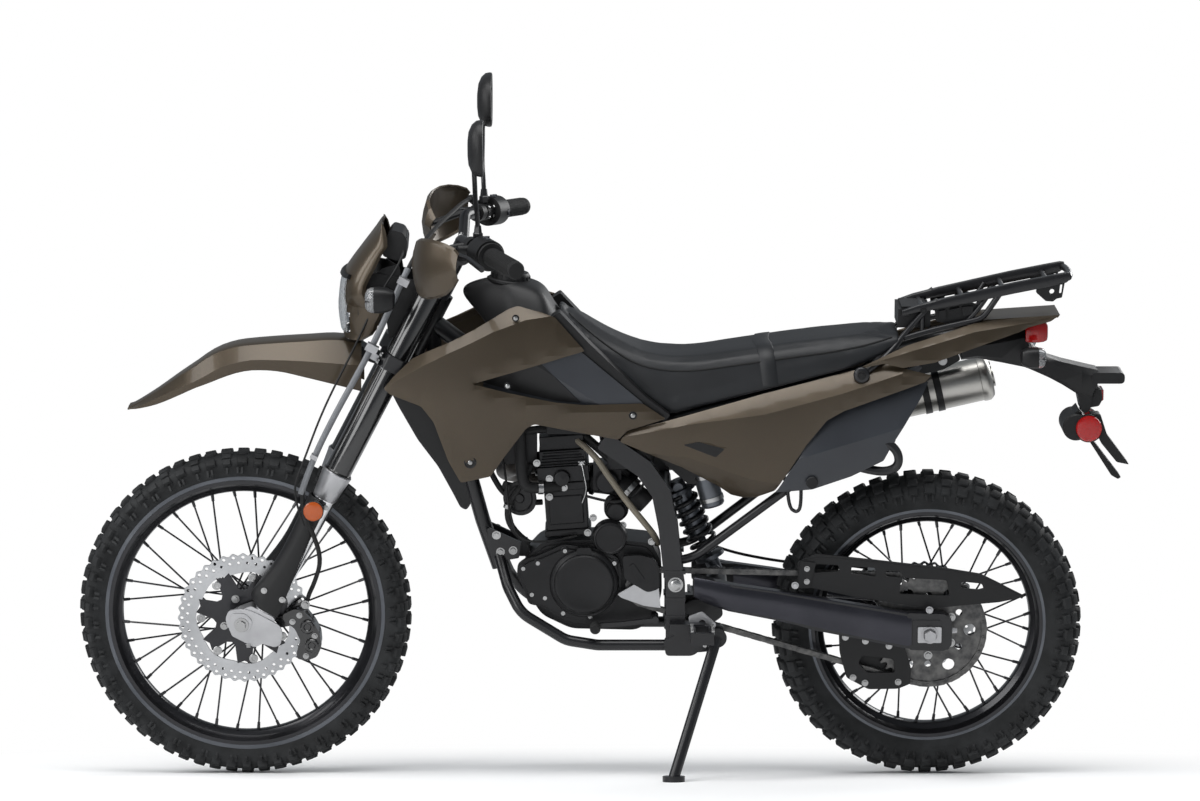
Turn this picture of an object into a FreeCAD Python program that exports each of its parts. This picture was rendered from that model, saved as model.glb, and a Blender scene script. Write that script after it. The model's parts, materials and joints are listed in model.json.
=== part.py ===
"""A dual sport motorcycle, parked on its side stand.

The machine is modelled upright in millimetres: X forward from the rear axle, Y to its left, Z up from
the ground. At the end every piece is leaned onto the side stand and moved so that the middle of its
footprint is the origin.
"""
import FreeCAD, Part
import math
import os

V = FreeCAD.Vector

# Clearances
SEAT = 0.3            # between pieces that seat on each other along a curved face
RUNNING = 0.05        # radial clearance of a shaft in its bore
PANEL_GAP = 0.6       # between the edges of neighbouring panels
MOVING_GAP = 5.0      # between a moving piece and what it passes

# Stance
WHEELBASE = 1365.0
LEAN = 11.0           # degrees, towards the side stand

# What both wheels share
FLANGE_RISE = 10.5          # the rim's flange above its bead seat
RIM_LIP = 3.5               # wall of the flange beside the bead
RIM_DEPTH = 24.0            # the bead seat above the rim's inner face
LUG_SHARE = 0.58            # of the pitch from one row of lugs to the next
GROOVE_DEPTH = 8.0
CROWN_HALF_W = 9.0          # half of the flat top of the lugs, on which both tyres stand
SPOKES = 36
SPOKE_W = 3.6

# Front wheel, 2.75-21
FRONT_BEAD_R = 270.0
FRONT_SECTION = 63.0        # height of the tyre above the bead seat
FRONT_TYRE_R = FRONT_BEAD_R + FRONT_SECTION
FRONT_TYRE_W = 78.0
FRONT_LUG_ROWS = 56
FRONT_RIM_W = 50.0
FRONT_RIM_INNER_R = FRONT_BEAD_R - RIM_DEPTH
FRONT_HUB_FLANGE_R = 36.0
FRONT_HUB_W = 72.0
FRONT_HUB_BARREL_R = 22.0
FRONT_SEAT_R = 26.0         # on which the disc seats
FRONT_AXLE_R = 8.5
FRONT_DISC_R = 132.0
FRONT_DISC_INNER_R = 95.0
FRONT_DISC_Y = 60.0
DISC_THICKNESS = 4.0
DISC_WAVES = 36
WAVE_DEPTH = 4.0

# Rear wheel, 4.10-18
REAR_BEAD_R = 230.0
REAR_SECTION = 81.0
REAR_TYRE_R = REAR_BEAD_R + REAR_SECTION
REAR_TYRE_W = 108.0
REAR_LUG_ROWS = 50
REAR_RIM_W = 66.0
REAR_RIM_INNER_R = REAR_BEAD_R - RIM_DEPTH
REAR_HUB_FLANGE_R = 46.0
REAR_HUB_W = 84.0
REAR_HUB_BARREL_R = 28.0
REAR_SEAT_R = 30.0          # on which the disc and the sprocket seat
REAR_AXLE_R = 9.0
REAR_DISC_R = 110.0
REAR_DISC_INNER_R = 80.0
REAR_DISC_Y = -64.0

# Drive
CHAIN_PITCH = 15.875
CHAIN_WIDTH = 18.0
CHAIN_HEIGHT = 13.0
LINK_WAIST = 8.0            # height of a link between its pins
CHAIN_Y = 70.0
SPROCKET_TEETH = 44
DRIVE_TEETH = 14
SPROCKET_THICKNESS = 6.0
REAR_GUIDE_ROOM = 125.0     # the chain guide's inner cheek keeps this far from the axle
DRIVE_X, DRIVE_Z = 563.0, 398.0

# Fork and steering
RAKE = 27.5
FORK_SPREAD = 97.0          # from the middle to each leg
AXLE_LEAD = 30.0            # axle ahead of the legs
STEM_SETBACK = 51.0         # steering axis behind the axle
OUTER_TUBE_R = 26.5
SLIDER_R = 20.5
OUTER_TUBE_FROM, OUTER_TUBE_TO = 335.0, 798.0
COLLAR_FROM, COLLAR_TO, COLLAR_R = 300.0, 358.0, 31.0
LOWER_CLAMP_FROM, LOWER_CLAMP_TO = 592.0, 622.0
HEAD_TUBE_FROM, HEAD_TUBE_TO = 628.0, 758.0
UPPER_CLAMP_FROM, UPPER_CLAMP_TO = 766.0, 792.0
HEAD_TUBE_R = 27.0
STEM_R = 14.0
LUG_TOP = 42.0              # top of the axle lug, along the leg
LUG_HALF_W = 22.0

# Handlebar
BAR_R = 11.0
BAR_CLAMP_UP = 58.0         # bar centre above the upper clamp's middle
BAR_CLAMP_SPREAD = 42.0
BAR_BEND = V(926, 160, 1112)
BAR_END = V(816, 402, 1092)
GRIP_LENGTH = 118.0
GRIP_R = 17.5
HOUSING_R = 30.0
HOUSING_LENGTH = 44.0

# Brake hose, from the caliper to the master cylinder
HOSE_START, HOSE_START_RUN = V(1240, 80, 362), V(-0.24, 0, 0.97)
HOSE_END, HOSE_END_RUN = V(918, -238, 1132), V(-0.13, -0.99, -0.03)

# Frame
TUBE_R = 11.0
DOWNTUBE_R = 15.0
SPINE_R = 18.0
SPAR_WIDTH = 38.0
SPAR_Y, SPAR_THICKNESS = 86.0, 28.0
CRADLE_Y = 98.0
BRACE_R = 14.0
RAIL_Y = 82.0
PIVOT = V(504, 0, 409)
PIVOT_BOLT_R = 9.0
PIVOT_TUBE_R = 16.0

# Swingarm and shock
ARM_Y, ARM_THICKNESS = 86.0, 24.0
BRIDGE_TOP = 408.0
SHOCK_EYE_R = 13.0
SHOCK_BAR = V(524, 0, 590)      # cross bar that carries the shock
SHOCK_BAR_R = 12.0
RAIL_R = 10.0

# Engine
CASE_HALF_W = 58.0
CYLINDER_TILT = 4.0
CYLINDER_BASE = V(717, 0, 490)
CYLINDER_SIZE = (88.0, 104.0)
CYLINDER_HEIGHT = 118.0
CASE_DECK = 8.0             # top of the crankcase, along the cylinder's axis
HEAD_SIZE = (108.0, 118.0)
HEAD_HEIGHT = 62.0
HEAD_COVER_HEIGHT = 30.0
PORT_UP, PORT_OUT = 148.0, 58.0     # exhaust port, along and ahead of the cylinder's axis
FIN_PITCH = 12.0
FIN_THICKNESS = 3.5
FIN_DEPTH = 15.0

# Exhaust
PIPE_R = 19.0
MUFFLER_R = 44.0
MUFFLER_Y = -142.0

# Panels
PANEL_T = 3.2

# Flap behind the rear wheel, which carries the number plate
FLAP_T = 8.0
FLAP_FOOT = V(-395, 0, 608)
FLAP_UP = V(0.328, 0, 0.945)
FLAP_BACK = V(-0.945, 0, 0.328)
PLATE_HOLE_R = 3.2
PLATE_HOLE_SPREAD = 26.0
PLATE_HOLE_UP = 34.0        # from the flap's foot, along it

# Side stand
STAND_PIVOT = V(422, 131, 308)
STAND_DOWN = V(0.29, 0.406, -0.852)
STAND_STOWED = V(-0.970, 0.065, 0.215)
STAND_R = 11.0
STAND_PIN_R = 6.0
STAND_BOSS_R = 19.0
STAND_BOSS_T = 14.0
STAND_FOLD_TILT = 26.5
FOOT_T = 7.0
FOOT_R = 22.0

# Places that follow from the sizes
FRONT_AXLE = V(WHEELBASE, 0, FRONT_TYRE_R)
REAR_AXLE = V(0, 0, REAR_TYRE_R)
RAKE_RAD = math.radians(RAKE)
UP_FORK = V(-math.sin(RAKE_RAD), 0, math.cos(RAKE_RAD))
OUT_FORK = V(math.cos(RAKE_RAD), 0, math.sin(RAKE_RAD))
Y_AXIS = V(0, 1, 0)


# Helpers for shapes
def on_leg(along, y=0.0, out=0.0):
    """A point in the plane of the fork legs, a distance up them from the axle's height."""
    return FRONT_AXLE + OUT_FORK * (out - AXLE_LEAD) + UP_FORK * along + V(0, y, 0)


def on_stem(along, y=0.0, out=0.0):
    """A point on the steering axis, or beside and ahead of it."""
    return FRONT_AXLE + OUT_FORK * (out - STEM_SETBACK) + UP_FORK * along + V(0, y, 0)


def rod(start, end, radius):
    run = end - start
    return Part.makeCylinder(radius, run.Length, start, run)


def across(x, z, radius, y0, y1):
    return Part.makeCylinder(radius, y1 - y0, V(x, y0, z), Y_AXIS)


def block(x0, x1, y0, y1, z0, z1):
    return Part.makeBox(x1 - x0, y1 - y0, z1 - z0, V(x0, y0, z0))


def fuse(*shapes):
    whole = shapes[0].multiFuse(list(shapes[1:])) if len(shapes) > 1 else shapes[0]
    return whole.removeSplitter()


def mirrored(shape):
    return shape.mirror(V(0, 0, 0), Y_AXIS)


def mirrored_point(point):
    return V(point.x, -point.y, point.z)


def pair(shape):
    """The left-hand piece and its right-hand twin, which don't touch."""
    return Part.makeCompound([shape, mirrored(shape)])


def joined_pair(*shapes):
    """Left-hand shapes and their right-hand twins, fused where they meet."""
    return fuse(*shapes, *[mirrored(s) for s in shapes])


def outward(solid):
    """The same solid with its faces pointing outwards."""
    if solid.Volume < 0:
        solid.reverse()
    return solid


def rounded_wire(points, radius):
    """A closed wire through points, each corner turned into a tangent arc."""
    edges = []
    count = len(points)
    ends = []
    for i, here in enumerate(points):
        before, after = points[i - 1], points[(i + 1) % count]
        back, ahead = before - here, after - here
        turn = math.pi - back.getAngle(ahead)
        reach = radius * math.tan(turn / 2) if radius else 0.0
        reach = min(reach, 0.45 * back.Length, 0.45 * ahead.Length)
        if reach < 0.05 or turn < 0.02:
            reach = 0.0
        ends.append((here + back.normalize() * reach, here + ahead.normalize() * reach, reach, turn))
    for i, (start, end, reach, turn) in enumerate(ends):
        if reach:
            here = points[i]
            arc_radius = reach / math.tan(turn / 2)
            to_centre = ((start + end) * 0.5 - here).normalize()
            depth = math.hypot(arc_radius, reach) - arc_radius
            edges.append(Part.Arc(start, here + to_centre * depth, end).toShape())
        following = ends[(i + 1) % count][0]
        if (following - end).Length > 1e-4:
            edges.append(Part.LineSegment(end, following).toShape())
    return Part.Wire(edges)


def plate(outline, y0, y1, radius=0.0):
    """A flat plate with its outline given as (x, z) and its thickness along Y."""
    wire = rounded_wire([V(x, y0, z) for x, z in outline], radius)
    return outward(Part.Face(wire).extrude(V(0, y1 - y0, 0)))


def slab(outline, z0, z1, radius=0.0):
    """A flat plate with its outline given as (x, y) and its thickness along Z."""
    wire = rounded_wire([V(x, y, z0) for x, y in outline], radius)
    return outward(Part.Face(wire).extrude(V(0, 0, z1 - z0)))


def band(centre_line, width):
    """The outline of a strip of even width along a line of (x, z) points."""
    left, right = [], []
    for i, (x, z) in enumerate(centre_line):
        x0, z0 = centre_line[max(i - 1, 0)]
        x1, z1 = centre_line[min(i + 1, len(centre_line) - 1)]
        length = math.hypot(x1 - x0, z1 - z0)
        nx, nz = -(z1 - z0) / length * width / 2, (x1 - x0) / length * width / 2
        left.append((x + nx, z + nz))
        right.append((x - nx, z - nz))
    return left + right[::-1]


def tube(points, radius, bend=40.0):
    """A round bar along straight runs joined by tangent arcs."""
    edges = []
    start = points[0]
    for i in range(1, len(points) - 1):
        here = points[i]
        back, ahead = points[i - 1] - here, points[i + 1] - here
        turn = math.pi - back.getAngle(ahead)
        reach = min(bend * math.tan(turn / 2), 0.48 * back.Length, 0.48 * ahead.Length)
        arc_radius = reach / math.tan(turn / 2)
        enter, leave = here + back.normalize() * reach, here + ahead.normalize() * reach
        inward = ((enter + leave) * 0.5 - here).normalize()
        depth = math.hypot(arc_radius, reach) - arc_radius
        edges.append(Part.LineSegment(start, enter).toShape())
        edges.append(Part.Arc(enter, here + inward * depth, leave).toShape())
        start = leave
    edges.append(Part.LineSegment(start, points[-1]).toShape())
    path = Part.Wire(edges)
    section = Part.Wire(Part.makeCircle(radius, points[0], points[1] - points[0]))
    return path.makePipeShell([section], True, False)


def spun(profile, centre):
    """A solid of revolution about a wheel's axle, from (y, radius) points."""
    points = [V(centre.x, centre.y + y, centre.z + r) for y, r in profile]
    face = Part.Face(Part.makePolygon(points + points[:1]))
    return outward(face.revolve(centre, Y_AXIS, 360))


def loft(sections):
    """A solid through closed polygons, each a list of points."""
    wires = [Part.makePolygon(points + points[:1]) for points in sections]
    return outward(Part.makeLoft(wires, True, True))


def skin_panel(outline, skin, inset=0.0, thickness=PANEL_T, radius=0.0):
    """A thin curved panel: its side outline cut from a skin.

    The skin is a list of stations (x, [(z, y), ...]) that give the outer face from bottom to top.
    """
    sections = []
    for x, line in skin:
        outer = [V(x, y - inset, z) for z, y in line]
        inner = [V(x, y - inset - thickness, z) for z, y in reversed(line)]
        sections.append(outer + inner)
    return loft(sections).common(plate(outline, 20, 260, radius))


# Front wheel
def facet(*corners):
    """A flat face through its corners."""
    return Part.Face(Part.makePolygon(list(corners) + [corners[0]]))


def tyre(centre, tyre_r, width, bead_r, rim_w, rows):
    """A knobbly tyre of flat facets: rows of lugs across the crown, with grooves between them.

    The wall has one facet to a row. Above it a row splits into a lug and a groove, whose sections differ
    only between the shoulders. A lug's flat top is as far from the axle as the tyre's radius.
    """
    half, bead = width / 2, rim_w / 2 - RIM_LIP - SEAT
    section = tyre_r - bead_r
    pitch = 2 * math.pi / rows
    lug = LUG_SHARE * pitch
    top_r = tyre_r / math.cos(lug / 2)
    inner_r = bead_r / math.cos(pitch / 2)
    wall = [(bead, inner_r), (bead, inner_r + FLANGE_RISE + 2), (half, bead_r + 0.58 * section)]
    shoulder = (0.95 * half, tyre_r - 0.26 * section)
    lug_line = [(0.86 * half, tyre_r - 0.1 * section), (CROWN_HALF_W, top_r)]
    groove_line = [(0.5 * half, tyre_r - GROOVE_DEPTH - 0.03 * section)]

    def across_tread(line):
        """The line from shoulder to shoulder over the crown."""
        left = [shoulder] + line
        return left + [(-y, r) for y, r in left[::-1]]

    def at(angle, place):
        y, r = place
        return V(centre.x + r * math.sin(angle), centre.y + y, centre.z - r * math.cos(angle))

    faces = []
    for k in range(rows):
        start, middle, end = k * pitch - lug / 2, k * pitch + lug / 2, (k + 1) * pitch - lug / 2
        for side in (1, -1):
            rings = [(side * y, r) for y, r in wall]
            for low, high in zip(rings, rings[1:]):
                faces.append(facet(at(start, low), at(end, low), at(end, high), at(start, high)))
            low, high = rings[-1], (side * shoulder[0], shoulder[1])
            faces.append(facet(at(start, low), at(end, low), at(middle, high)))
            faces.append(facet(at(start, low), at(middle, high), at(start, high)))
            faces.append(facet(at(end, low), at(end, high), at(middle, high)))
        inner, outer = wall[0], (-wall[0][0], wall[0][1])
        faces.append(facet(at(start, inner), at(end, inner), at(end, outer), at(start, outer)))
        for first, last, line in ((start, middle, lug_line), (middle, end, groove_line)):
            rings = across_tread(line)
            for low, high in zip(rings, rings[1:]):
                faces.append(facet(at(first, low), at(last, low), at(last, high), at(first, high)))
        for angle in (start, middle):
            rim_points = across_tread(lug_line) + across_tread(groove_line)[-2:0:-1]
            faces.append(facet(*[at(angle, place) for place in rim_points]))
    shell = Part.makeShell(faces)
    shell.sewShape()
    return outward(Part.makeSolid(shell))


def rim(centre, bead_r, width):
    half = width / 2
    well = half * 0.42
    flange_r, seat_r, inner_r = bead_r + FLANGE_RISE, bead_r - SEAT, bead_r - RIM_DEPTH
    return spun([(-half, flange_r), (RIM_LIP - half, flange_r), (RIM_LIP - half, seat_r),
                 (half - RIM_LIP, seat_r), (half - RIM_LIP, flange_r), (half, flange_r), (half, seat_r - 4),
                 (well + 4, seat_r - 7), (well, inner_r), (-well, inner_r), (-well - 4, seat_r - 7),
                 (-half, seat_r - 4)], centre)


def spokes(centre, flange_r, flange_y, rim_r, rim_y):
    """Straight square wires that leave each hub flange along its edge and cross on the way out."""
    bars = []
    half = SPOKE_W / 2
    for i in range(SPOKES):
        side = 1 if i % 2 else -1
        slot = i // 2
        swing = 1 if slot % 2 else -1
        rim_angle = 2 * math.pi * (i + 0.5) / SPOKES
        hub_angle = rim_angle - swing * math.radians(68)
        start = centre + V(flange_r * math.cos(hub_angle), side * (flange_y - swing * 2.5),
                           flange_r * math.sin(hub_angle))
        end = centre + V(rim_r * math.cos(rim_angle), side * rim_y, rim_r * math.sin(rim_angle))
        run = end - start
        bar = Part.makeBox(SPOKE_W, SPOKE_W, run.Length, V(-half, -half, 0))
        bar.Placement = FreeCAD.Placement(start, FreeCAD.Rotation(V(0, 0, 1), run))
        bars.append(bar)
    return bars


def hub(centre, barrel_r, flange_r, half_w, left_end, right_end, seat_r, bore_r, wires):
    body = spun([(-right_end, bore_r), (-right_end, seat_r), (-half_w - 2, seat_r),
                 (-half_w - 2, flange_r + 5), (-half_w + 6, flange_r + 5), (-half_w + 14, barrel_r),
                 (half_w - 14, barrel_r), (half_w - 6, flange_r + 5), (half_w + 2, flange_r + 5),
                 (half_w + 2, seat_r), (left_end, seat_r), (left_end, bore_r)], centre)
    return fuse(body, *wires)


def wavy_outline(centre, radius):
    """A disc's edge: every wave is a crest and a trough."""
    step = 2 * math.pi / DISC_WAVES
    outline = []
    for k in range(DISC_WAVES):
        for share, r in ((0, radius), (0.5, radius - WAVE_DEPTH)):
            angle = (k + share) * step
            outline.append((centre.x + r * math.cos(angle), centre.z + r * math.sin(angle)))
    return outline


def disc(centre, outer_r, inner_r, y, seat_r, flange_r):
    """A floating wavy ring on a six-armed carrier that seats on the hub."""
    ring = plate(wavy_outline(centre, outer_r), y, y + DISC_THICKNESS).cut(
        across(centre.x, centre.z, inner_r, y, y + DISC_THICKNESS))
    boss = across(centre.x, centre.z, flange_r, y, y + DISC_THICKNESS)
    arms = []
    for i in range(6):
        arm = Part.makeBox(inner_r + 4 - flange_r * 0.6, DISC_THICKNESS, 14,
                           V(centre.x + flange_r * 0.6, y, centre.z - 7))
        arm.rotate(centre, Y_AXIS, 60 * i)
        arms.append(arm)
    bore = across(centre.x, centre.z, seat_r + RUNNING, y - 1, y + DISC_THICKNESS + 1)
    return fuse(ring, boss, *arms).cut(bore)


def front_wheel():
    hub_half = FRONT_HUB_W / 2
    bars = spokes(FRONT_AXLE, FRONT_HUB_FLANGE_R, hub_half - 2, FRONT_RIM_INNER_R - 0.6, 5.0)
    left_end = FORK_SPREAD - LUG_HALF_W - MOVING_GAP
    return {
        "front_tyre": tyre(FRONT_AXLE, FRONT_TYRE_R, FRONT_TYRE_W, FRONT_BEAD_R, FRONT_RIM_W, FRONT_LUG_ROWS),
        "front_rim": rim(FRONT_AXLE, FRONT_BEAD_R, FRONT_RIM_W),
        "front_hub": hub(FRONT_AXLE, FRONT_HUB_BARREL_R, FRONT_HUB_FLANGE_R, hub_half, left_end,
                         left_end, FRONT_SEAT_R, FRONT_AXLE_R + RUNNING, bars),
        "front_disc": disc(FRONT_AXLE, FRONT_DISC_R, FRONT_DISC_INNER_R, FRONT_DISC_Y, FRONT_SEAT_R, 50.0),
    }


# Fork, clamps and what turns with them
def clamp(from_s, to_s, tube_bore, stem_bore):
    """A plate across both legs and the stem, square to the steering axis."""
    def at(out, y):
        return on_stem(from_s, y, out)
    leg_out = STEM_SETBACK - AXLE_LEAD
    spread = FORK_SPREAD
    outline = [at(leg_out + 36, spread - 20), at(leg_out + 36, spread + 18), at(leg_out + 18, spread + 37),
               at(leg_out - 18, spread + 37), at(leg_out - 34, spread + 18), at(-20, 18), at(-20, -18),
               at(leg_out - 34, -spread - 18), at(leg_out - 18, -spread - 37),
               at(leg_out + 18, -spread - 37), at(leg_out + 36, -spread - 18),
               at(leg_out + 36, -spread + 20), at(leg_out + 14, -40), at(leg_out + 14, 40)]
    body = Part.Face(rounded_wire(outline, 12)).extrude(UP_FORK * (to_s - from_s))
    for side in (-1, 1):
        body = body.cut(rod(on_leg(from_s - 5, side * spread), on_leg(to_s + 5, side * spread), tube_bore))
    if stem_bore:
        body = body.cut(rod(on_stem(from_s - 5), on_stem(to_s + 5), stem_bore))
    return body


def fork():
    y = FORK_SPREAD
    outer = fuse(rod(on_leg(OUTER_TUBE_FROM, y), on_leg(OUTER_TUBE_TO, y), OUTER_TUBE_R),
                 rod(on_leg(COLLAR_FROM, y), on_leg(COLLAR_TO, y), COLLAR_R))
    outer = outer.cut(rod(on_leg(COLLAR_FROM - 1, y), on_leg(OUTER_TUBE_FROM, y), SLIDER_R + SEAT))
    slider = rod(on_leg(0, y), on_leg(OUTER_TUBE_FROM - SEAT, y), SLIDER_R)
    lug_outline = [on_leg(LUG_TOP, y - LUG_HALF_W, -26), on_leg(LUG_TOP, y - LUG_HALF_W, 30),
                   on_leg(20, y - LUG_HALF_W, 50), on_leg(-18, y - LUG_HALF_W, 50),
                   on_leg(-30, y - LUG_HALF_W, 36), on_leg(-30, y - LUG_HALF_W, -14),
                   on_leg(-14, y - LUG_HALF_W, -26)]
    lug = Part.Face(rounded_wire(lug_outline, 10)).extrude(V(0, 2 * LUG_HALF_W, 0))
    bore = across(FRONT_AXLE.x, FRONT_AXLE.z, FRONT_AXLE_R + RUNNING, y - 60, y + 60)
    slider = fuse(slider, lug).cut(bore)
    guard = rod(on_leg(LUG_TOP + SEAT, y), on_leg(COLLAR_FROM - 3, y), SLIDER_R + 9).cut(
        rod(on_leg(LUG_TOP - 5, y), on_leg(COLLAR_FROM, y), SLIDER_R + 5))
    behind = Part.makeBox(120, 200, 400, V(-120, -100, 0))
    behind.Placement = FreeCAD.Placement(on_leg(20, y, -6), FreeCAD.Rotation(Y_AXIS, -RAKE))
    guard = guard.cut(behind)
    return {
        "fork_outer_tubes": pair(outer),
        "fork_sliders": pair(slider),
        "fork_guards": pair(guard),
        "front_axle": across(FRONT_AXLE.x, FRONT_AXLE.z, FRONT_AXLE_R, -y - 30, y + 30),
    }


def clamps():
    lower = clamp(LOWER_CLAMP_FROM, LOWER_CLAMP_TO, OUTER_TUBE_R + SEAT, 0)
    stem = rod(on_stem(LOWER_CLAMP_FROM), on_stem(UPPER_CLAMP_TO), STEM_R)
    upper = clamp(UPPER_CLAMP_FROM, UPPER_CLAMP_TO, OUTER_TUBE_R + SEAT, STEM_R + SEAT)
    top = UPPER_CLAMP_TO
    bar = bar_centre()
    post = rod(on_stem(top - 4, BAR_CLAMP_SPREAD), on_stem(top + BAR_CLAMP_UP - 10, BAR_CLAMP_SPREAD), 12)
    cap = across(bar.x, bar.z, BAR_R + 9, BAR_CLAMP_SPREAD - 14, BAR_CLAMP_SPREAD + 14)
    risers = joined_pair(post, cap)
    upper = fuse(upper, risers).cut(across(bar.x, bar.z, BAR_R + SEAT, -80, 80))
    return {"lower_clamp": fuse(lower, stem), "upper_clamp": upper}


def bar_centre():
    return on_stem(UPPER_CLAMP_TO + BAR_CLAMP_UP)


def bar_run(distance):
    """A point on the left grip's axis, measured inwards from the bar's end."""
    return BAR_END + (BAR_BEND - BAR_END).normalize() * distance


def handlebar():
    centre = bar_centre()
    half = [V(centre.x, 0, centre.z), V(centre.x, 70, centre.z), BAR_BEND, BAR_END]
    bar = fuse(tube(half, BAR_R, 45), tube([V(p.x, -p.y, p.z) for p in half], BAR_R, 45))
    return {"handlebar": bar}


def sleeve(start, end, radius, bore):
    run = (end - start).normalize()
    return rod(start, end, radius).cut(rod(start - run, end + run, bore))


def controls():
    bore = BAR_R + SEAT
    grip = fuse(sleeve(bar_run(0), bar_run(GRIP_LENGTH), GRIP_R, bore),
                sleeve(bar_run(GRIP_LENGTH - 6), bar_run(GRIP_LENGTH), GRIP_R + 9, bore),
                rod(bar_run(-8), bar_run(-SEAT), GRIP_R))
    housing_from = GRIP_LENGTH + SEAT
    housing = sleeve(bar_run(housing_from), bar_run(housing_from + HOUSING_LENGTH), HOUSING_R, bore)
    perch_from = housing_from + HOUSING_LENGTH + 2
    perch = sleeve(bar_run(perch_from), bar_run(perch_from + 26), 17, bore)
    pivot = bar_run(perch_from + 10) + V(40, 0, 0)
    arm = rod(bar_run(perch_from + 13) + V(14, 0, 0), pivot, 9)
    perch = fuse(perch, arm).cut(rod(bar_run(perch_from - 5), bar_run(perch_from + 40), bore))
    lever_root = pivot + V(5, 0, 0)
    lever = tube([lever_root, lever_root + V(14, 22, 0), bar_run(90) + V(52, 0, 0),
                  bar_run(10) + V(58, 0, -2)], 5.5, 20)
    left = fuse(housing, perch)
    port = HOSE_END + HOSE_END_RUN * 16
    master = fuse(mirrored(left), rod(HOSE_END + HOSE_END_RUN * SEAT, port, 7),
                  rod(HOSE_END + HOSE_END_RUN * 8, mirrored_point(bar_run(perch_from + 13)), 7))
    master = master.cut(mirrored(rod(bar_run(0), bar_run(250), bore)))
    return {"grips": pair(grip), "switch_housings": Part.makeCompound([left, master]),
            "hand_levers": pair(lever)}


def mirrors():
    root = bar_run(GRIP_LENGTH + HOUSING_LENGTH + 16)
    foot = root + V(0, 0, 18 + SEAT)
    head_centre = V(885, 352, 1318)
    stalk = tube([foot, foot + V(0, 0, 34), head_centre + V(6, -34, -62), head_centre + V(4, -18, -30)], 5, 30)
    outline = [(-64, -20), (-58, 30), (-30, 50), (50, 54), (64, 30), (60, -34), (30, -52), (-40, -48)]
    sections = []
    for depth, scale in ((-10, 0.93), (0, 1.0), (12, 0.86), (20, 0.45)):
        sections.append([head_centre + V(depth, y * scale, z * scale) for y, z in outline])
    head = loft(sections)
    base = rod(foot, foot + V(0, 0, 14), 10)
    return {"mirrors": pair(fuse(stalk, head, base))}


def hand_guards():
    near = GRIP_LENGTH + HOUSING_LENGTH + 35
    root = bar_run(near + 9)
    plan = [(1000, 222), (1010, 262), (1004, 318), (978, 372), (934, 404), (926, 396),
            (970, 364), (996, 314), (1002, 262), (992, 224)]
    side = [(957, 1144), (1006, 1104), (1016, 1060), (1003, 1034), (976, 1023), (934, 1040),
            (912, 1094), (922, 1132)]
    shell = slab(plan, 1020, 1150, 4).common(plate(side, 180, 420, 8))
    stay = tube([root + V(17.5, 0, 0), root + V(40, 2, -4), V(994, 226, 1086)], 7, 20)
    collar = sleeve(bar_run(near), bar_run(near + 18), 17.5, BAR_R + SEAT)
    return {"hand_guards": pair(fuse(shell, stay, collar))}


def cowl_plan(grow):
    """The cowl seen from above, drawn smaller by a wall's thickness for its hollow."""
    w = grow
    return [(1030, -112 + w), (1090, -106 + w), (1130, -92 + w), (1158 - w, -66), (1172 - w, -30),
            (1172 - w, 30), (1158 - w, 66), (1130, 92 - w), (1090, 106 - w), (1030, 112 - w)]


COWL_FRONT = [(1164, 897), (1170, 950), (1163, 1018), (1153, 1040), (1087, 1128)]
COWL_BACK = [(1077, 1117), (1070, 1084), (1080, 1074), (1096, 1041), (1112, 1013), (1115, 992),
             (1106, 976), (1075, 968), (1097, 913), (1121, 899)]


def headlamp():
    outer = slab(cowl_plan(0), 880, 1140, 10).common(plate(COWL_FRONT + COWL_BACK, -130, 130, 6))
    hollow_plan = [(1000, -112 + PANEL_T)] + cowl_plan(PANEL_T)[1:-1] + [(1000, 112 - PANEL_T)]
    hollow_side = [(x - PANEL_T - 1, z - PANEL_T) for x, z in COWL_FRONT]
    hollow_side += [(1000, 1118), (1000, 860), (1160, 860)]
    cowl = outer.cut(slab(hollow_plan, 840, 1150, 8).common(plate(hollow_side, -130, 130)))
    cowl = cowl.cut(block(1130, 1200, -62, 62, 912, 1024))
    lens = slab([(x - SEAT, y) for x, y in cowl_plan(0)], 912 + SEAT, 1024 - SEAT, 10).common(
        block(1148, 1180, -62 + SEAT, 62 - SEAT, 900, 1040))
    seat_rear = on_stem(UPPER_CLAMP_FROM - SEAT, 0, 25)
    seat_front = on_stem(UPPER_CLAMP_FROM - SEAT, 0, 60)
    stay_side = [(seat_rear.x, seat_rear.z), (seat_front.x, seat_front.z), (1100, 1030), (1124, 1000),
                 (1124, 930), (1100, 920), (1075, 935), (1070, 900), (1048, 906)]
    stay = plate(stay_side, 62, 66, 0)
    cross = block(1096, 1116, -66, 66, 930, 950)
    top_cross = block(1060, 1080, -66, 66, 1005, 1015)
    ear = block(1118, 1130, 62, 92 - PANEL_T - 0.4, 950, 980)
    reflector = Part.makeCone(30, 56, 24, V(1116, 0, 968), V(1, 0, 0))
    neck = block(1096, 1117, -24, 24, 940, 990)
    bracket = fuse(joined_pair(stay, cross, top_cross, ear), reflector, neck)
    pod = plate([(1034, 1060), (1052, 1052), (1086, 1062), (1068, 1110), (1050, 1116), (1032, 1100)],
                -52, 52, 8)
    foot = block(1062, 1078, -20, 20, 1015, 1066)
    return {"headlamp_cowl": cowl, "headlamp_lens": lens, "lamp_bracket": bracket,
            "instrument_pod": fuse(pod, foot)}


def signal(x, y, z, length, height, depth, stalk_from):
    """A lamp body with a rounded outline, on a short stalk towards the machine's middle."""
    h, l = height / 2, length / 2
    body = plate([(x - l, z - h), (x + l, z - h * 0.8), (x + l, z + h * 0.8), (x - l, z + h)],
                 y, y + depth, 10)
    return fuse(body, rod(stalk_from, V(x, y + 6, stalk_from.z), 7))


def front_signals():
    lamp = signal(1076, 140, 994, 54, 50, 46, V(1076, 66 + SEAT, 994))
    return {"front_signals": pair(lamp)}


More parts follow.
